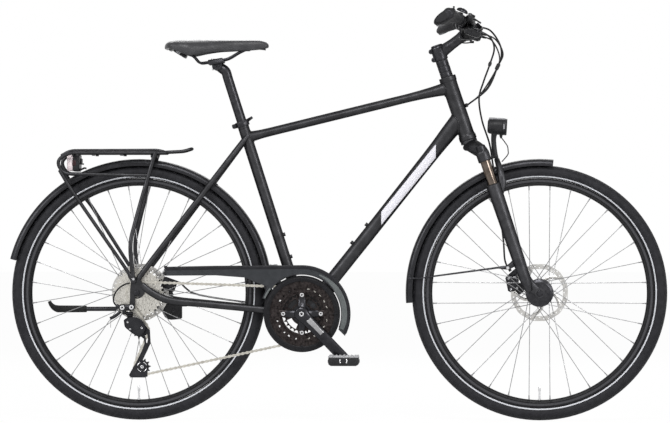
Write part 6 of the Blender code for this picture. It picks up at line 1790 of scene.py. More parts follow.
def addRings():
    bolts = [crankCentre + spokeWay(90 * k) * drive["spider"] * mm for k in range(4)]
    line = -drive["chainLine"]
    for number, name in enumerate(("outer", "middle", "inner")):
        teeth = drive["rings"][number]
        y = line + (number - 1) * drive["ringStep"]
        phase = toothPhase(0) if number == 1 else 0.05
        bm = bmesh.new()
        bore = drive["bores"][number]
        holes = [ringPoints(crankCentre, bore, 64, 0.01)]
        if number == 0:
            # Slots over the middle ring's teeth.
            holes += [slotAt(15 * n, 67.6, 72, 5.6) for n in range(24) if n % 6]
        elif number == 2:
            holes += [slotAt(90 * n + 45, 31.5, 45.5, 44) for n in range(4)]
        cutPlate(bm, toothOutline(crankCentre, teeth, phase), holes, y - 0.9, y + 0.9)
        if number < 2:
            for bolt in bolts:
                out = (bolt - crankCentre).normalized()
                sweep(
                    bm, [bolt + (across * y - out * 6.5) * mm, bolt + (across * y + out * 12) * mm],
                    [(1.25, 8), (1.25, 10)], 16,
                )
        materials = [ringBlack, guardPlastic]
        if number == 0:
            known = set(bm.faces)
            guardY = line - drive["ringStep"] - 2.6
            edge = drive["guardRadius"]
            section = [
                (89.6, guardY + 1.7), (89.6, guardY - 1.4), (92, guardY - 2.1), (99, guardY - 2.1),
                (100.2, guardY - 1.4), (103, guardY - 1.5), (edge - 0.6, guardY - 1.9),
                (edge, guardY - 1.2), (edge, guardY + 1), (edge - 1, guardY + 1.5),
            ]
            spun(bm, rounded(section, 0.4, True), crankCentre, steps=128, closed=True)
            for k in range(4):
                out = spokeWay(90 * k)
                softBlock(
                    bm, outFrom(crankCentre, out, 93, guardY - 1.7), (13, 3.2, 5.6), 1.1,
                    Matrix.Rotation(-radians(90 * k), 3, "Y"),
                )
                for n in range(1, 8):
                    way = spokeWay(90 * k + 11.25 * n)
                    softBlock(
                        bm, outFrom(crankCentre, way, 96, guardY - 2.0), (2.2, 1.0, 9), 0.4,
                        Matrix.Rotation(-radians(90 * k + 11.25 * n), 3, "Y"), 2,
                    )
            paintFrom(bm, known, 1)
        addPiece(
            f"chainring{name.title()}", bm, "crankset", materials, [f"chainring_{name}"],
            sharp=34,
        )


def crankWay(side):
    turn = radians(drive["crankAngle"]) + (0 if side < 0 else pi)
    return Vector((cos(turn), 0, sin(turn)))


def socketRing(bm, place, out, radius, hole, height):
    # A washer face with a socket sunk in it.
    spun(
        bm, rounded([(hole, height - 3), (hole, height), (radius, height), (radius, -2), (0.2, -2)], 0.4),
        place, axis=out, steps=28,
    )


def addCrank(side, name, node):
    way = crankWay(side)
    foot = crankCentre + across * side * drive["crankOffset"] * mm
    tip = outFrom(crankCentre, way, drive["crank"], side * (drive["crankOffset"] + 5))
    bm = bmesh.new()
    boss = [
        (-19, 4.6, 8), (-16.6, 6.4, 12.6), (-11, 7.4, 17), (-2, 7.8, 19.6), (8, 7.8, 19), (22, 7.4, 16.6)
    ]
    end = [(-14, 6.2, 15), (-2, 6.2, 14.6), (8, 5.8, 13), (12, 5, 9), (13.8, 3.4, 5)]
    arm = [(outFrom(foot, way, reach), (a, b)) for reach, a, b in boss]
    arm += [(foot.lerp(tip, 0.3), (6.8, 15.4)), (foot.lerp(tip, 0.6), (6.4, 15))]
    arm += [(outFrom(tip, way, reach), (a, b)) for reach, a, b in end]
    sweep(bm, *smooth(arm, 5), 36, up=across)
    rod(bm, tip - across * side * 2 * mm, tip + across * side * 92 * mm, 4.5, 20)
    if side < 0:
        hubY = -drive["chainLine"] - drive["ringStep"] / 2
        far, near = 2 * drive["crankOffset"] + 2, drive["crankOffset"] + hubY + 2
        spun(bm, [(0.2, 0), (9, 0), (9, far), (0.2, far)], foot, steps=40)
        spun(bm, rounded([(0.2, 0), (17, 0), (19, 6), (19, near), (0.2, near)], 1.2), foot, steps=40)
        inner, last = drive["innerBore"] - 0.3, 0.5 + drive["ringStep"] - drive["chainLine"]
        spun(bm, [(9, hubY), (inner, hubY), (inner, last), (9, last)], crankCentre, steps=48, closed=True)
        flat = drive["ringStep"] / 2 - 1.4
        bolts = [outFrom(crankCentre, spokeWay(90 * k), drive["spider"], hubY - 4.4) for k in range(4)]
        for k in range(4):
            out = spokeWay(90 * k)
            rows = (
                (12, -6, 5, 12), (24, -2.5, 3.4, 11), (38, 0, flat, 9.4), (52, 0, flat, 8.4),
                (59, 0, flat, 6),
            )
            line = [(outFrom(crankCentre, out, reach, hubY + y), (a, b)) for reach, y, a, b in rows]
            sweep(bm, *smooth(line, 4), 20, up=across, soft=0.8)
    known = set(bm.faces)
    lift = way.cross(across).normalized() * 3.4 * mm
    panel = [
        outFrom(foot, way, 24, side * 6.9) + lift, foot.lerp(tip, 0.46) + across * side * 6 * mm + lift
    ]
    sweep(bm, panel, [(1.3, 7.6), (1.3, 6.4)], 20, up=across, soft=0.8)
    known = paintFrom(bm, known, 1)
    socketRing(bm, foot + across * side * 7 * mm, across * side, 6.6, 3.6, 2.2)
    socketRing(bm, tip + across * side * 5.6 * mm, across * side, 7.2, 4.7, 1.2)
    if side < 0:
        for k in range(4):
            socketRing(bm, bolts[k], -across, 5.6, 2.5, 1)
    known = paintFrom(bm, known, 2)
    spun(
        bm, [(0.2, -1), (3.5, -1), (3.5, 1.4), (0.2, 1.4)], foot + across * side * 7 * mm,
        axis=across * side, steps=6,
    )
    if side < 0:
        for k in range(4):
            spun(bm, [(0.2, -3), (2.4, -3), (2.4, -1), (0.2, -1)], bolts[k], axis=-across, steps=12)
    paintFrom(bm, known, 3)
    addPiece(
        name, bm, "crankset", [forged, polishedBlack, brightSteel, plastic], [node], sharp=36
    )


def addPedal(side, name, node):
    tip = outFrom(crankCentre, crankWay(side), drive["crank"], side * (drive["crankOffset"] + 5))
    centre = tip + across * side * 54 * mm
    bm = bmesh.new()
    spun(
        bm,
        rounded(
            [(4.9, -43), (9.6, -43), (9.6, -30), (8.8, -18), (8.8, 18), (9.4, 30), (9.4, 37), (4.9, 37)],
            0.8, True,
        ),
        centre, axis=across * side, steps=32, closed=True,
    )
    for x in (-35, 35):
        softBlock(bm, moved(centre, x, 0, -4), (13, 76, 24), 5.6)
        softBlock(bm, moved(centre, x * 1.1, 0, -5), (9, 62, 13), 4)
    for y in (-34, 34):
        softBlock(bm, moved(centre, 0, y, -5), (76, 10, 25), 4.6)
    for y in (-17, 0, 17):
        softBlock(bm, moved(centre, 0, y, -1), (70, 4, 12), 1.5)
    known = set(bm.faces)
    for x in (-1, 1):
        for y in range(-3, 4):
            softBlock(bm, moved(centre, x * 35.5, y * 10.4, 9.4), (9, 5.6, 5), 1.3, None, 2)
        softBlock(bm, moved(centre, x * 35.5, 0, 7.4), (12, 74, 4), 1)
    for y in (-1, 1):
        for x in range(-3, 4):
            softBlock(bm, moved(centre, x * 10.4, y * 35, 9.2), (6, 5.6, 4.6), 1.3, None, 2)
        softBlock(bm, moved(centre, 0, y * 35, 7.4), (80, 8, 4), 1)
    known = paintFrom(bm, known, 1)
    for start in (-36, 144):
        turned = [
            centre + across * side * 39.6 * mm + (spokeWay(start + 7.2 * k) * 9.6 + Vector((0, 0, -4))) * mm
            for k in range(11)
        ]
        sweep(bm, turned, (1.4, 1.6), 10, up=across, soft=0.5)
    known = paintFrom(bm, known, 2)
    disc(bm, centre - Vector((0, 0, 4)) * mm, across * side, 7, 36, 40.6, 0.8, 28)
    paintFrom(bm, known, 3)
    finishes = [plastic, pedalGrey, brightSteel, forged]
    addPiece(name, bm, node, finishes, [node], sharp=36)


def addBracketShell():
    half, radius = tubes["shellWidth"] / 2, tubes["shellRadius"]
    bm = bmesh.new()
    for side in (-1, 1):
        cup = [
            (9.6, half - 8), (17, half - 8), (17, half + 0.4), (radius - 0.6, half + 0.4),
            (radius - 0.6, half + 2.2), (17, half + 2.4), (16, half + 1.4), (9.6, half + 1.4),
        ]
        spun(bm, rounded(cup, 0.4, True), crankCentre, axis=across * side, steps=48, closed=True)
        for n in range(8):
            way = spokeWay(45 * n)
            softBlock(
                bm, outFrom(crankCentre, way, radius - 2.2, side * (half + 2.1)), (3, 1.2, 5), 0.4,
                Matrix.Rotation(-radians(45 * n), 3, "Y"), 2,
            )
    addPiece("bottomBracket", bm, "frame", anodised, ["bottom_bracket"], sharp=36)


ringBlack = finish(
    "blackRing", (0.012, 0.010, 0.010), (0.05, 0.042, 0.041), 0.3, metallic=0.8, grain=150, bump=0.3,
    bumpScale=1300, worn=0.25, edge=0.3,
)
guardPlastic = finish(
    "ringGuardPlastic", (0.007, 0.007, 0.008), (0.012, 0.012, 0.014), 0.42, grain=90, bump=0.15,
    bumpScale=1500,
)
polishedBlack = finish(
    "polishedPanel", (0.24, 0.24, 0.245), (0.46, 0.46, 0.47), 0.24, metallic=0.9, grain=30, bump=0.1,
    bumpScale=2400,
)
pedalGrey = finish(
    "pedalGrey", (0.26, 0.26, 0.265), (0.42, 0.42, 0.43), 0.5, metallic=0.2, grain=160, bump=0.4,
    bumpScale=1100,
)
addChain()
addCassette()
addRings()
addCrank(-1, "crankRight", "crank_right")
addCrank(1, "crankLeft", "crank_left")
addPedal(-1, "pedalRight", "pedal_right")
addPedal(1, "pedalLeft", "pedal_left")
addBracketShell()
print("chain, sprockets and cranks are made")


# chain guard, derailleurs and brakes

cover = {"outer": 133.2, "inner": 109.5, "face": (-67, -65), "rim": (-66, -44), "rearReach": 75}


def onFace(points):
    return [Vector((x, cover["face"][0] * mm, z)) for x, z in points]


def addChainGuard():
    reach = (rearHub.x + cover["rearReach"] * mm - crankCentre.x) / mm
    outer, inner = cover["outer"], cover["inner"]
    bm = bmesh.new()
    tail = [
        (-237, 132.6), (reach + 5, 129.6), (reach, 124), (reach, 105), (-237, 106), (-156, 100), (-130, 88),
        (-95, 75), (-109, 43),
    ]
    outline = arcAt(crankCentre, outer, -27, 90, 44) + flatAt(crankCentre, tail) + arcAt(
        crankCentre, inner, 158, -23, 60
    )
    cutPlate(bm, outline, [], *cover["face"], edge=0.5)
    tail = [(-236, 132.2), (reach + 5, 129.2), (reach + 5, 127.2), (-236, 130.2)]
    rimLine = arcAt(crankCentre, outer - 0.2, -20, 89, 40) + flatAt(crankCentre, tail)
    cutPlate(bm, rimLine + arcAt(crankCentre, outer - 2.2, 89, -20, 40), [], *cover["rim"], edge=0.4)
    washerY = -(tubes["shellWidth"] / 2 + 2.9)
    washer = [(13, washerY), (22.5, washerY), (22.5, washerY - 2), (13, washerY - 2)]
    spun(bm, rounded(washer, 0.4, True), crankCentre, steps=48, closed=True)
    plate = bmesh.new()
    backing = arcAt(crankCentre, 60, -62, 166, 60) + arcAt(crankCentre, 21, 166, -62, 40)
    cutPlate(plate, backing, [], washerY - 2, washerY, edge=0.4)
    addPiece("guardBacking", plate, "frame", plastic)
    way = spokeWay(38)
    rows = ((17, washerY - 1, 9), (60, washerY - 1, 8), (116, washerY - 1, 8), (128.2, -50, 9))
    stay = [(outFrom(crankCentre, way, reach, y), (1.2, wide)) for reach, y, wide in rows]
    sweep(bm, *smooth(stay, 4), 16, up=across)
    known = set(bm.faces)
    line = arcAt(crankCentre, outer - 4, -24, 90, 40)
    line += flatAt(crankCentre, [(-120, 128.2), (-237, 127.4), (reach + 6, 124.6)])
    sweep(bm, onFace(line), (1.5, 5.2), 12, up=across)
    sweep(bm, onFace(arcAt(crankCentre, inner - 0.1, -20, 128, 44)), (1.2, 1.4), 10, up=across)
    known = paintFrom(bm, known, 1)
    softBlock(bm, moved(crankCentre, reach + 4, cover["face"][0] + 1, 129), (9, 7, 7), 1.4)
    softBlock(bm, moved(crankCentre, reach + 1, cover["face"][0] + 1, 112), (8, 7, 9), 1.4)
    known = paintFrom(bm, known, 2)
    # A raised rib along the arc and a short one further back, in a paler grey: a painted highlight where the
    # curved face of the guard catches the light.
    swells = [min(1, (k + 4) / 8, (36 - k) / 14) for k in range(37)]
    sizes = [(1.2 + 0.8 * swell, 2 + 6.4 * swell) for swell in swells]
    sweep(bm, onFace(arcAt(crankCentre, 117.4, -21, 66, 36)), sizes, 16, up=across)
    sweep(bm, onFace(arcAt(crankCentre, 111.6, 141, 157, 10)), (1.4, 2.6), 12, up=across)
    paintFrom(bm, known, 3)
    addPiece(
        "chainGuard", bm, "frame", [coverGrey, coverTrim, plastic, coverPaintedHighlight], ["chain_guard"],
        sharp=34,
    )


def addBoltAt(bm, place, out, radius=6.2, hole=2.7):
    socketRing(bm, place, out, radius, hole, 1.6)
    spun(bm, [(0.2, -1), (hole, -1)], place, axis=out, steps=10)


def addRearDerailleur():
    bolt = fromRear(-13.8, 0, -38.7)
    linkTop = pivotOf("derailleur_link")
    bm = bmesh.new()
    disc(bm, bolt, -across, 9, 73.9, 88.5, 1, 32)
    arm = [
        (moved(bolt, 8, -82, 1), (6, 5)), (bolt - across * 82 * mm, (6.4, 9.4)),
        (fromRear(-26, -83, -39.5), (6.4, 8.4)), (fromRear(-39, -83, -40), (6.4, 9.6)),
        (fromRear(-49, -83, -40), (6, 6)),
    ]
    sweep(bm, *smooth(arm, 5), 24, up=across, soft=0.8)
    disc(bm, fromRear(-39, 0, -40), -across, 8, 75, 90, 1, 32)
    neck = [
        (fromRear(-36, -83, -43), (5.4, 5)), (linkTop - Vector((10.5, 0, -4)) * mm, (5.4, 5)),
        (linkTop - Vector((10.5, 0, 3)) * mm, (5, 4)),
    ]
    sweep(bm, *smooth(neck, 5), 18, up=across, soft=0.6)
    sweep(
        bm,
        smooth(
            [fromRear(*p) for p in ((-44, -84, -50), (-52, -84, -58), (-62, -84, -65), (-73, -84, -70))], 4
        ),
        4.4, 16, soft=1,
    )
    disc(bm, fromRear(-52, -84, -37), Vector((-0.8, 0, 0.6)), 5.6, -5, 5, 0.6, 20)
    addPiece("derailleurMount", bm, "frame", forged, ["rear_derailleur_mount"], sharp=40)
    refined("derailleurLink", "rear_derailleur_link", "derailleur_link", forged, 0.7, sharp=40)
    refined("derailleurKnuckle", "rear_derailleur_knuckle", "derailleur_knuckle", forged, 0.8, sharp=40)
    bm = bmesh.new()
    addBoltAt(bm, fromRear(-13.8, -89, -38.7), -across, 6.4, 2.6)
    addBoltAt(bm, fromRear(-39, -91, -40), -across, 6.4, 2.6)
    addPiece("derailleurBolts", bm, "frame", brightSteel, sharp=36)
    bm = bmesh.new()
    outer = [
        (-35, -74), (-18, -65), (10, -71), (25, -90), (21, -107), (7, -119), (-8, -113), (-22, -102),
        (-32, -92),
    ]
    points = smooth([Vector((x, 0, z)) for x, z in flatAt(rearHub, outer + outer[:1])], 4)[:-1]
    cutPlate(bm, [(p.x, p.z) for p in points], [], -92, -82.5, edge=3.6)
    turns = [2 * pi * k / 32 for k in range(32)]
    oval = [(17 * cos(t) - 4 * sin(t) - 2, 4 * cos(t) + 13 * sin(t) - 89) for t in turns]
    cutPlate(bm, flatAt(rearHub, oval), [], -93.6, -91, edge=1.6)
    addPiece("derailleurShield", bm, "derailleur_link", forged, sharp=40)
    bm = bmesh.new()
    for x, z in ((-24, -80), (-17, -99), (15, -96)):
        screwHead(bm, fromRear(x, -91.6, z), -across, 2.6, 1.6)
    addPiece("shieldScrews", bm, "derailleur_link", brightSteel, sharp=36)
    shape = [
        (10, -79.6), (34, -102), (36, -138.8), (27, -158.6), (13, -188), (24, -192.4), (28, -206.5),
        (27.5, -230.5), (21.3, -233.3), (-19, -233.3), (-23, -226.2), (-17, -214.9), (-3, -191),
        (13, -158.6), (20, -138.8), (15.8, -119), (-1.2, -107.8),
    ]
    window = [(20, -115), (27.4, -113), (29, -128), (26.6, -140), (23.6, -137), (23.4, -126)]

    def turned(points):
        shift = tensionCentre.x - rearHub.x - 13.3 * mm
        return [(x + shift, z) for x, z in flatAt(rearHub, points)]

    bm = bmesh.new()
    line = -drive["chainLine"]
    cutPlate(bm, turned(shape), [turned(window)], line - 7, line - 5.4, edge=0.5)
    cutPlate(bm, turned(shape), [turned(window)], line + 5.4, line + 6.8, edge=0.5)
    for centre in (guideCentre, tensionCentre):
        spot = Vector((centre.x, 0, centre.z))
        rod(bm, spot + across * (line - 6) * mm, spot + across * (line + 6) * mm, 3, 20)
    known = set(bm.faces)
    for centre in (guideCentre, tensionCentre):
        spot = Vector((centre.x, 0, centre.z))
        addBoltAt(bm, spot + across * (line - 7) * mm, -across, 4.6, 1.9)
        addBoltAt(bm, spot + across * (line + 6.8) * mm, across, 4.2, 1.9)
    ringSpot = Vector((tensionCentre.x, (line - 7.3) * mm, tensionCentre.z))
    for start in (20, 110, 200, 290):
        sweep(
            bm, [ringSpot + spokeWay(start + 7 * k) * 13 * mm for k in range(9)], (0.8, 1.0), 8, up=across,
            soft=0.4,
        )
    paintFrom(bm, known, 1)
    addPiece(
        "derailleurCage", bm, "derailleur_cage", [forged, brightSteel], ["rear_derailleur_cage"],
        sharp=36,
    )
    for name, node, centre, number in (
        ("guidePulley", "guide_pulley", guideCentre, 2),
        ("tensionPulley", "tension_pulley", tensionCentre, 3),
    ):
        bm = bmesh.new()
        holes = [ringPoints(centre, 3.4, 20)]
        holes += [ringPoints(centre + spokeWay(72 * n + 20) * 10.6 * mm, 2.5, 12) for n in range(5)]
        cutPlate(
            bm, toothOutline(centre, drive["pulleyTeeth"], toothPhase(number), 4.6, 1.2), holes, line - 0.9,
            line + 0.9, edge=0.2,
        )
        hub = [(3.4, line - 2.6), (6.4, line - 2.6), (6.4, line + 2.6), (3.4, line + 2.6)]
        spun(bm, rounded(hub, 0.4, True), Vector((centre.x, 0, centre.z)), steps=28, closed=True)
        addPiece(name, bm, node, plastic, [node], sharp=36)


def addFrontDerailleur():
    refined("frontDerailleurBand", "front_derailleur_clamp", "frame", anodised, 0.5, sharp=36)
    refined("frontDerailleurCage", "front_derailleur_cage", "front_derailleur_cage", forged, 0.3, sharp=36)


def addCalipers():
    refined("rearCaliper", "rear_brake_caliper", "frame", anodised, 1.1, sharp=40)
    refined("frontCaliper", "front_brake_caliper", "fork_sliders", anodised, 1.2, sharp=40)
    bm = bmesh.new()
    spot = moved(frontHub, -74, 26.6, 26)
    lean = Matrix.Rotation(radians(-12), 3, "Y")
    for x, z in ((-8, 15), (-8, -15), (9, 15), (9, -15)):
        place = spot + lean @ Vector((x, 0, z)) * mm
        screwHead(bm, place, -across, 3, 1.6)
    addPiece("frontCaliperScrews", bm, "fork_sliders", brightSteel, sharp=36)
    bm = bmesh.new()
    spot = moved(rearHub, 80, 63.2, 22)
    lean = Matrix.Rotation(radians(20), 3, "Y")
    for x in (-13, 13):
        place = spot + lean @ Vector((x, 0, 9)) * mm + across * 5.6 * mm
        screwHead(bm, place, across, 3.4, 2.4)
    addPiece("rearCaliperScrews", bm, "frame", brightSteel, sharp=36)
    refined("frontAxle", "front_axle", "fork_sliders", forged, 0.5, sharp=36)
    refined("rearAxle", "rear_axle", "frame", forged, 0.5, sharp=36)


coverGrey = finish(
    "coverGreyPlastic", (0.026, 0.028, 0.031), (0.036, 0.038, 0.042), 0.4, grain=60, bump=0.2,
    bumpScale=1500,
)
coverTrim = finish(
    "coverDarkTrim", (0.013, 0.013, 0.015), (0.020, 0.020, 0.023), 0.34, grain=60, bump=0.15, bumpScale=1500
)
# The paler grey of the chain guard's ribs: a painted highlight along the guard's curved face.
coverPaintedHighlight = finish(
    "coverPaintedHighlightBand", (0.088, 0.096, 0.096), (0.125, 0.135, 0.135), 0.36, grain=60, bump=0.15, bumpScale=1500
)
addChainGuard()
addRearDerailleur()
addFrontDerailleur()
addCalipers()
print("chain guard, derailleurs and brakes are made")


# rack, lamps and stand

carrier = {
    "tube": 5, "half": 58, "deck": 387, "foot": 82.7, "bend": 26,
    "rail": ((78, 0.72, 0), (40, 1, 0), (-190, 1, 0), (-224, 1, -22), (-206, 1, -58), (36, 1, -63)),
    "lamp": (-175, -28.2), "lampSize": (25, 84, 47), "lensDepth": 7,
    "standPivot": (78, 86, -54), "standTilt": 15,
}


def bent(points, radius, steps=6):
    # A run of straight lines whose corners are rounded, as a bent tube's are.
    points = [Vector(p) for p in points]
    path = [points[0]]
    for before, corner, after in zip(points, points[1:], points[2:]):
        back, on = before - corner, after - corner
        reach = min(radius * mm, 0.48 * back.length, 0.48 * on.length)
        start, end = corner + back.normalized() * reach, corner + on.normalized() * reach
        for k in range(steps + 1):
            t = k / steps
            path.append(start * (1 - t) ** 2 + corner * 2 * t * (1 - t) + end * t * t)
    return path + [points[-1]]


def addRack():
    bm = bmesh.new()
    deck, tube = carrier["deck"], carrier["tube"]
    for side in (-1, 1):
        half, foot = side * carrier["half"], side * carrier["foot"]
        rail = [fromRear(x, half * wide, deck + z) for x, wide, z in carrier["rail"]]
        sweep(bm, bent(rail, carrier["bend"]), tube, 14, up=across, soft=1)
        shift = 0 if side < 0 else 14
        rows = (
            (-215, half, deck - 48), (-196, half * 1.05, deck - 80), (-156 + shift, half * 1.12, 247),
            (-26, foot, 62), (-9, foot, 33),
        )
        leg = bent([fromRear(*p) for p in rows], 22)
        sweep(bm, leg, [tube] * (len(leg) - 2) + [(3.4, 6.6)] * 2, 14, up=across)
        rows = (
            (50, half, deck - 1), (43, half, 366), (4, half * 1.1, 229), (-19, foot, 138), (-10, foot, 42)
        )
        strut = bent([fromRear(*p) for p in rows], 30)
        sweep(bm, strut, [(tube * 0.9, tube * 1.16)] * (len(strut) - 2) + [(3.2, 6.2)] * 2, 14, up=across)
        for x, z in ((-9, 33), (-10, 42)):
            disc(bm, fromRear(x, foot, z), across, 7, -3.3, 3.3, 0.8)
        for x, z in ((-145, 6.4), (-75, 6.4), (-121, -6.4), (-43, -6.4)):
            softBlock(bm, fromRear(x, half, deck + z), (9, 7, 4.4), 1.2)
    for y in (-30, 30):
        bar = [
            fromRear(x, y * wide, deck + z)
            for x, wide, z in ((-212, 1.5, -8), (-188, 1.1, 6.5), (56, 1, 7.5), (76, 1, 1))
        ]
        sweep(bm, bent(bar, 18), 4, 14, soft=1.5)
    for x in (52, -60, -176):
        rod(bm, fromRear(x, -carrier["half"], deck), fromRear(x, carrier["half"], deck), tube * 0.9, 14)
    rows = ((46, -28, 0), (125, -26, 4), (147, -20, 11), (147, 20, 11), (125, 26, 4), (46, 28, 0))
    hoop = [fromRear(x, y, deck + z) for x, y, z in rows]
    sweep(bm, bent(hoop, 16), tube * 0.9, 14)
    for y in (-15, -5, 5, 15):
        softBlock(bm, fromRear(-62, y, deck + 4.2), (246, 6, 2.6), 1.1)
    softBlock(bm, fromRear(-62, 0, deck + 3), (240, 38, 1.6), 0.6)
    softBlock(bm, fromRear(44, 0, deck - 8), (16, 100, 12), 2.4)
    known = set(bm.faces)
    for side in (-1, 1):
        screwHead(bm, fromRear(-8.5, side * (carrier["foot"] + 3.2), 38.5), across * side, 3.4, 2.4)
    paintFrom(bm, known, 1)
    addPiece("rearRack", bm, "frame", [paint, brightSteel], ["rear_rack"], sharp=34)


def addTailLight():
    x, down = carrier["lamp"]
    long, wide, tall = carrier["lampSize"]
    centre = fromRear(x, 0, carrier["deck"] + down)
    depth = carrier["lensDepth"]
    bm = bmesh.new()
    softBlock(bm, moved(centre, depth / 2, 0, 0), (long - depth, wide, tall), 4.5)
    softBlock(bm, moved(centre, long / 2 + 1, 0, 6), (9, 30, 14), 3)
    rod(bm, moved(centre, long / 2, -24, -2), moved(centre, long / 2 + 12, -24, -3), 2, 12)
    sweep(
        bm,
        smooth(
            [
                centre + Vector(p) * mm
                for p in ((12, -20, -17), (19, -22, -17), (25, -22, -14), (31, -20, -15))
            ],
            4,
        ),
        2.6, 12, soft=1,
    )
    known = set(bm.faces)
    softBlock(bm, moved(centre, -long / 2 + depth / 2 - 4, 0, 0), (depth + 10, wide - 3, tall - 3), 4.4)
    for z in range(-3, 4):
        softBlock(bm, moved(centre, -long / 2 - 8.4, 0, z * 5), (2.2, wide - 14, 1.7), 0.7, None, 2)
    known = paintFrom(bm, known, 1)
    softBlock(bm, moved(centre, -1, 0, 0), (11, wide + 1.2, 16), 2)
    paintFrom(bm, known, 2)
    addPiece("tailLight", bm, "frame", [plastic, rearLens, redLens], ["tail_light"], sharp=40)


def addHeadlight():
    centre = steer(-9.4, 88.3)
    ahead = Vector((1, 0, -0.06)).normalized()
    foot = steer(70.2, 57)
    bm = bmesh.new()
    shell = [
        (0.3, -28), (12, -28), (17.6, -27), (20.6, -23), (23, -8), (23.2, 12.4), (22.4, 12.9), (22.4, 14),
        (23.2, 14.5), (23.2, 24), (22, 26), (20.2, 26), (19.4, 22), (19.4, 12), (0.3, 12),
    ]
    spun(bm, rounded(shell, 1), centre, axis=ahead, steps=56)
    rows = ((foot, -1, -2, 10, 8), (foot, -4, 14, 8.5, 7.6), (foot, -6, 34, 6.5, 7.2))
    rows += ((centre, -11, -34, 7, 7.2), (centre, -9, -18, 8.5, 8.4))
    strut = [(moved(base, x, 0, z), (a, b)) for base, x, z, a, b in rows]
    sweep(bm, *smooth(strut, 5), 20, up=across, soft=0.8)
    rod(bm, moved(centre, -10, -11, -20), moved(centre, -10, 11, -20), 5, 24, soft=0.8)
    rod(bm, moved(foot, -1, -12, 2), moved(foot, -1, 12, 2), 5.4, 24, soft=0.8)
    sweep(
        bm, smooth([centre + Vector(p) * mm for p in ((9, 0, -18), (9.5, 0, -27), (10, 0, -33))], 3),
        [4.4] * 4 + [3] * 3, 16, soft=0.8,
    )
    wire = [
        centre + Vector(p) * mm
        for p in ((9, 0, -29), (19, 1, -42), (27, 2, -54), (29, 2, -66), (28, 2, -78))
    ] + [moved(foot, 16, 0, -12)]
    sweep(bm, smooth(wire, 7), 1.5, 10)
    known = set(bm.faces)
    spun(
        bm, [(0.3, 0.2), (18.8, 0), (19.3, 2.6), (12, 4.2), (0.3, 5)], centre + ahead * 21 * mm, axis=ahead,
        steps=56,
    )
    # The pale blocks beside the lens are its side windows, and their pale colour also paints the glint seen there.
    # The pale sheet on top, added below, is a painted highlight where light falls on the top of the shell.
    glint = bmesh.new()
    for side in (-1, 1):
        softBlock(glint, centre + (ahead * 17.6 + across * side * 22.4) * mm, (4.4, 2.4, 13), 1)
    known = paintFrom(bm, known, 1)
    bowl = [(17.8, 21), (14.5, 15.5), (8.5, 13), (3.4, 12.6), (3.4, 17), (0.3, 17.6)]
    spun(bm, bowl, centre, axis=ahead, steps=56)
    known = paintFrom(bm, known, 2)
    spun(
        bm, rounded([(19.6, 24.4), (20.6, 25.9), (22.2, 25.6), (22.4, 23.2)], 0.3, True), centre,
        axis=ahead, steps=56, closed=True,
    )
    paintFrom(bm, known, 3)
    # A pale sheet along the top of the shell: a painted highlight where light falls on the lamp.
    softBlock(glint, moved(centre, -1, 0, 21.2), (46, 24, 5.4), 2, Matrix.Rotation(0.06, 3, "Y"))
    addPiece("headlightWindowsAndPaintedHighlight", glint, "fork_sliders", palePlastic)
    addPiece(
        "headlight", bm, "fork_sliders", [plastic, clearLens, brightSteel, forged], ["headlight"],
        sharp=36,
    )


def addStand():
    pivot = fromRear(*carrier["standPivot"])
    tilt = radians(carrier["standTilt"])
    swing = Vector((0, cos(tilt), sin(tilt)))
    bm = bmesh.new()
    outline = [
        (58, -36), (58, -44), (61, -58), (68, -70), (76, -75.5), (86, -77), (111, -75), (115, -71),
        (115, -40), (128, -40), (128, -31), (60, -31),
    ]
    cutPlate(bm, flatAt(rearHub, outline), [], 60, 80, edge=2.4)
    rod(bm, pivot - swing * 18 * mm, pivot - swing * 0.6 * mm, 9, 28, soft=0.6)
    known = set(bm.faces)
    screwHead(bm, fromRear(92, 60, -52), -across, 5, 1.2)
    paintFrom(bm, known, 1)
    addPiece(
        "standBracket", bm, "frame", [plastic, anodised], ["kickstand_bracket"], sharp=36
    )
    bm = bmesh.new()
    disc(bm, pivot, swing, 12, 0.3, 17, 1.6, 36)
    along = pivot + swing * 9 * mm
    rows = (
        (2, 2, 6, 9), (-14, 3.6, 6.2, 8.4), (-40, 5, 5.8, 7), (-120, 4.6, 5.4, 6.3), (-240, 4.2, 5.2, 6.1)
    )
    leg = [(moved(along, x, 0, z), (a, b)) for x, z, a, b in rows]
    sweep(bm, *smooth(leg, 5), 24, up=across, soft=0.6)
    known = set(bm.faces)
    rows = (
        (-234, 4.2, 6.4, 8.6), (-238, 4.2, 7, 9.4), (-303, 4.2, 7.4, 9.8), (-314, 4.8, 7.6, 9.8),
        (-324, 9, 7.6, 8), (-332, 17, 7.2, 6), (-336.5, 26, 6.4, 4.6),
    )
    sleeve = [(moved(along, x, 0, z), (a, b)) for x, z, a, b in rows]
    sweep(bm, *smooth(sleeve, 5), 24, up=across, soft=1.4)
    known = paintFrom(bm, known, 1)
    rod(bm, moved(along, -96, 0, 4.9), moved(along, -233, 0, 4.2), 6.25, 24, 6.15)
    paintFrom(bm, known, 2)
    addPiece(
        "standLeg", bm, "kickstand", [forged, rubber, anodised], ["kickstand_leg"], sharp=36
    )


clearLens = finish(
    "clearLens", (0.50, 0.49, 0.50), (0.66, 0.65, 0.66), 0.12, grain=60, bump=0.4, bumpScale=420, coat=0.6
)
rearLens = finish(
    "paleRearLens", (0.62, 0.53, 0.54), (0.8, 0.71, 0.72), 0.12, grain=60, bump=0.4, bumpScale=420, coat=0.5
)
addRack()
addTailLight()
addHeadlight()
addStand()
print("rack, lamps and stand are made")


# hoses and cables

routing = {"hose": 2.5, "shift": 2.1, "port": (-89, 25.58), "rise": (3, 0, 5), "spread": (-6, 1, 7)}


def hang(x, y, z):
    # A point of a loop below the bar, in millimetres from the middle of the stem's clamp.
    return moved(stemCentre, x, y, z)


def ferrule(bm, path, radius, long=16):
    # A boot over the end of a hose or cable.
    way = (path[1] - path[0]).normalized()
    boot = [path[0] + way * reach * mm for reach in (-1, long * 0.6, long)]
    sweep(bm, boot, [radius * share for share in (1.7, 1.6, 1.15)], 16, soft=0.5)


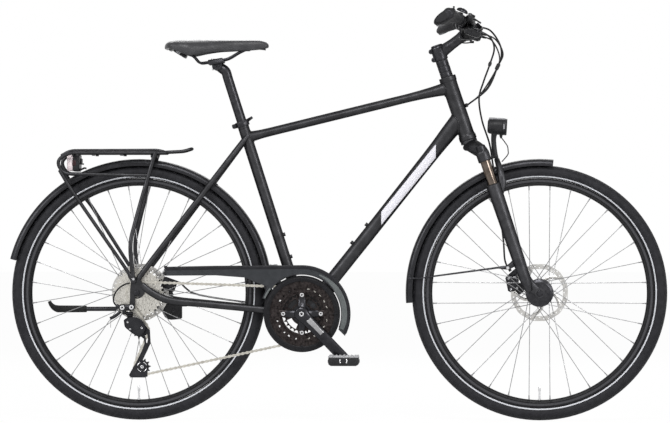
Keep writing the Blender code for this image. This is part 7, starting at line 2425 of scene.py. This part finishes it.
def addCables():
    port = steer(*routing["port"])
    rise = Vector(routing["rise"]) * mm
    hose = [
        barAt(93.2, -1, 28, 2), hang(139, -78, 62), hang(166, -46, 27), hang(172, -20, -6),
        hang(162, -8, -35), hang(130, -4, -99),
    ]
    right = [
        barAt(101.5, -1, 46, -20), hang(154, -84, 37), hang(176, -40, -1), hang(162, -5, -36),
        hang(134, 0, -97),
    ]
    left = [
        barAt(101.5, 1, 46, -20), hang(146, 84, 39), hang(166, 40, -3), hang(160, 0, -39),
        hang(118, 5, -107),
    ]
    runs = [(hose, routing["hose"]), (right, routing["shift"]), (left, routing["shift"])]
    bm = bmesh.new()
    for (points, radius), aside in zip(runs, routing["spread"]):
        path = smooth(points + [port + rise + across * aside * mm, port + across * aside * mm], 9)
        sweep(bm, path, radius, 12)
        ferrule(bm, path, radius)
        ferrule(bm, path[::-1], radius, 9)
    known = set(bm.faces)
    clip = [hang(165, -5, -28), hang(164, -5, -31), hang(158.6, -3, -42), hang(157, -3, -45)]
    sweep(bm, clip, [(6.2, 4.6), (7, 5.4), (7, 5.4), (6.2, 4.6)], 20, up=across, soft=1)
    paintFrom(bm, known, 1)
    cables = addPiece(
        "controlCables", bm, None, [cableBlack, plastic], ["control_cables"], sharp=50
    )
    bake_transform(cables)
    hose = [
        barAt(93.2, 1, 28, 2), hang(138, 86, 51), hang(152, 60, 17), hang(140, 38, -28), hang(122, 30, -78),
        hang(110, 32, -123), steer(-40, 53, 36), steer(28, 52, 38), steer(83, 43, 38),
        fromFront(-114, 37.5, 258), fromFront(-100, 37.5, 148), fromFront(-95, 38, 88),
        fromFront(-80, 38, 60),
    ]
    path = smooth(hose, 9)
    bm = bmesh.new()
    sweep(bm, path, routing["hose"], 12)
    ferrule(bm, path, routing["hose"])
    ferrule(bm, path[::-1], routing["hose"], 12)
    known = set(bm.faces)
    clip = [path[27] + (path[26] - path[27]).normalized() * 7 * mm, path[27], path[28]]
    sweep(bm, clip, [4, 5, 4], 16, soft=1)
    paintFrom(bm, known, 1)
    front = addPiece(
        "frontBrakeHose", bm, None, [cableBlack, plastic], ["front_brake_hose"], sharp=50
    )
    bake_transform(front)


def addCableEnds():
    # The runs that stay with the frame: the loop into the rear mechanism and its bare end.
    bm = bmesh.new()
    rows = (
        (-45, -84, -38), (-58, -84, -32), (-63.5, -83.6, -20), (-60, -83, -2), (-47, -81.4, 15),
        (-30, -80.6, 25), (-19, -80.4, 27.5),
    )
    path = smooth([fromRear(*p) for p in rows], 8)
    sweep(bm, path, 2.2, 12)
    ferrule(bm, path, 2.2, 9)
    known = set(bm.faces)
    rod(bm, fromRear(-71, -84, -72), fromRear(-71.6, -84, -95), 0.8, 8)
    paintFrom(bm, known, 1)
    addPiece("rearShiftLoop", bm, "frame", [cableBlack, spokeSteel], sharp=50)


cableBlack = finish(
    "cableBlack", (0.008, 0.008, 0.009), (0.013, 0.013, 0.014), 0.4, grain=160, bump=0.12, bumpScale=1600
)
addCables()
addCableEnds()
print("hoses and cables are made")
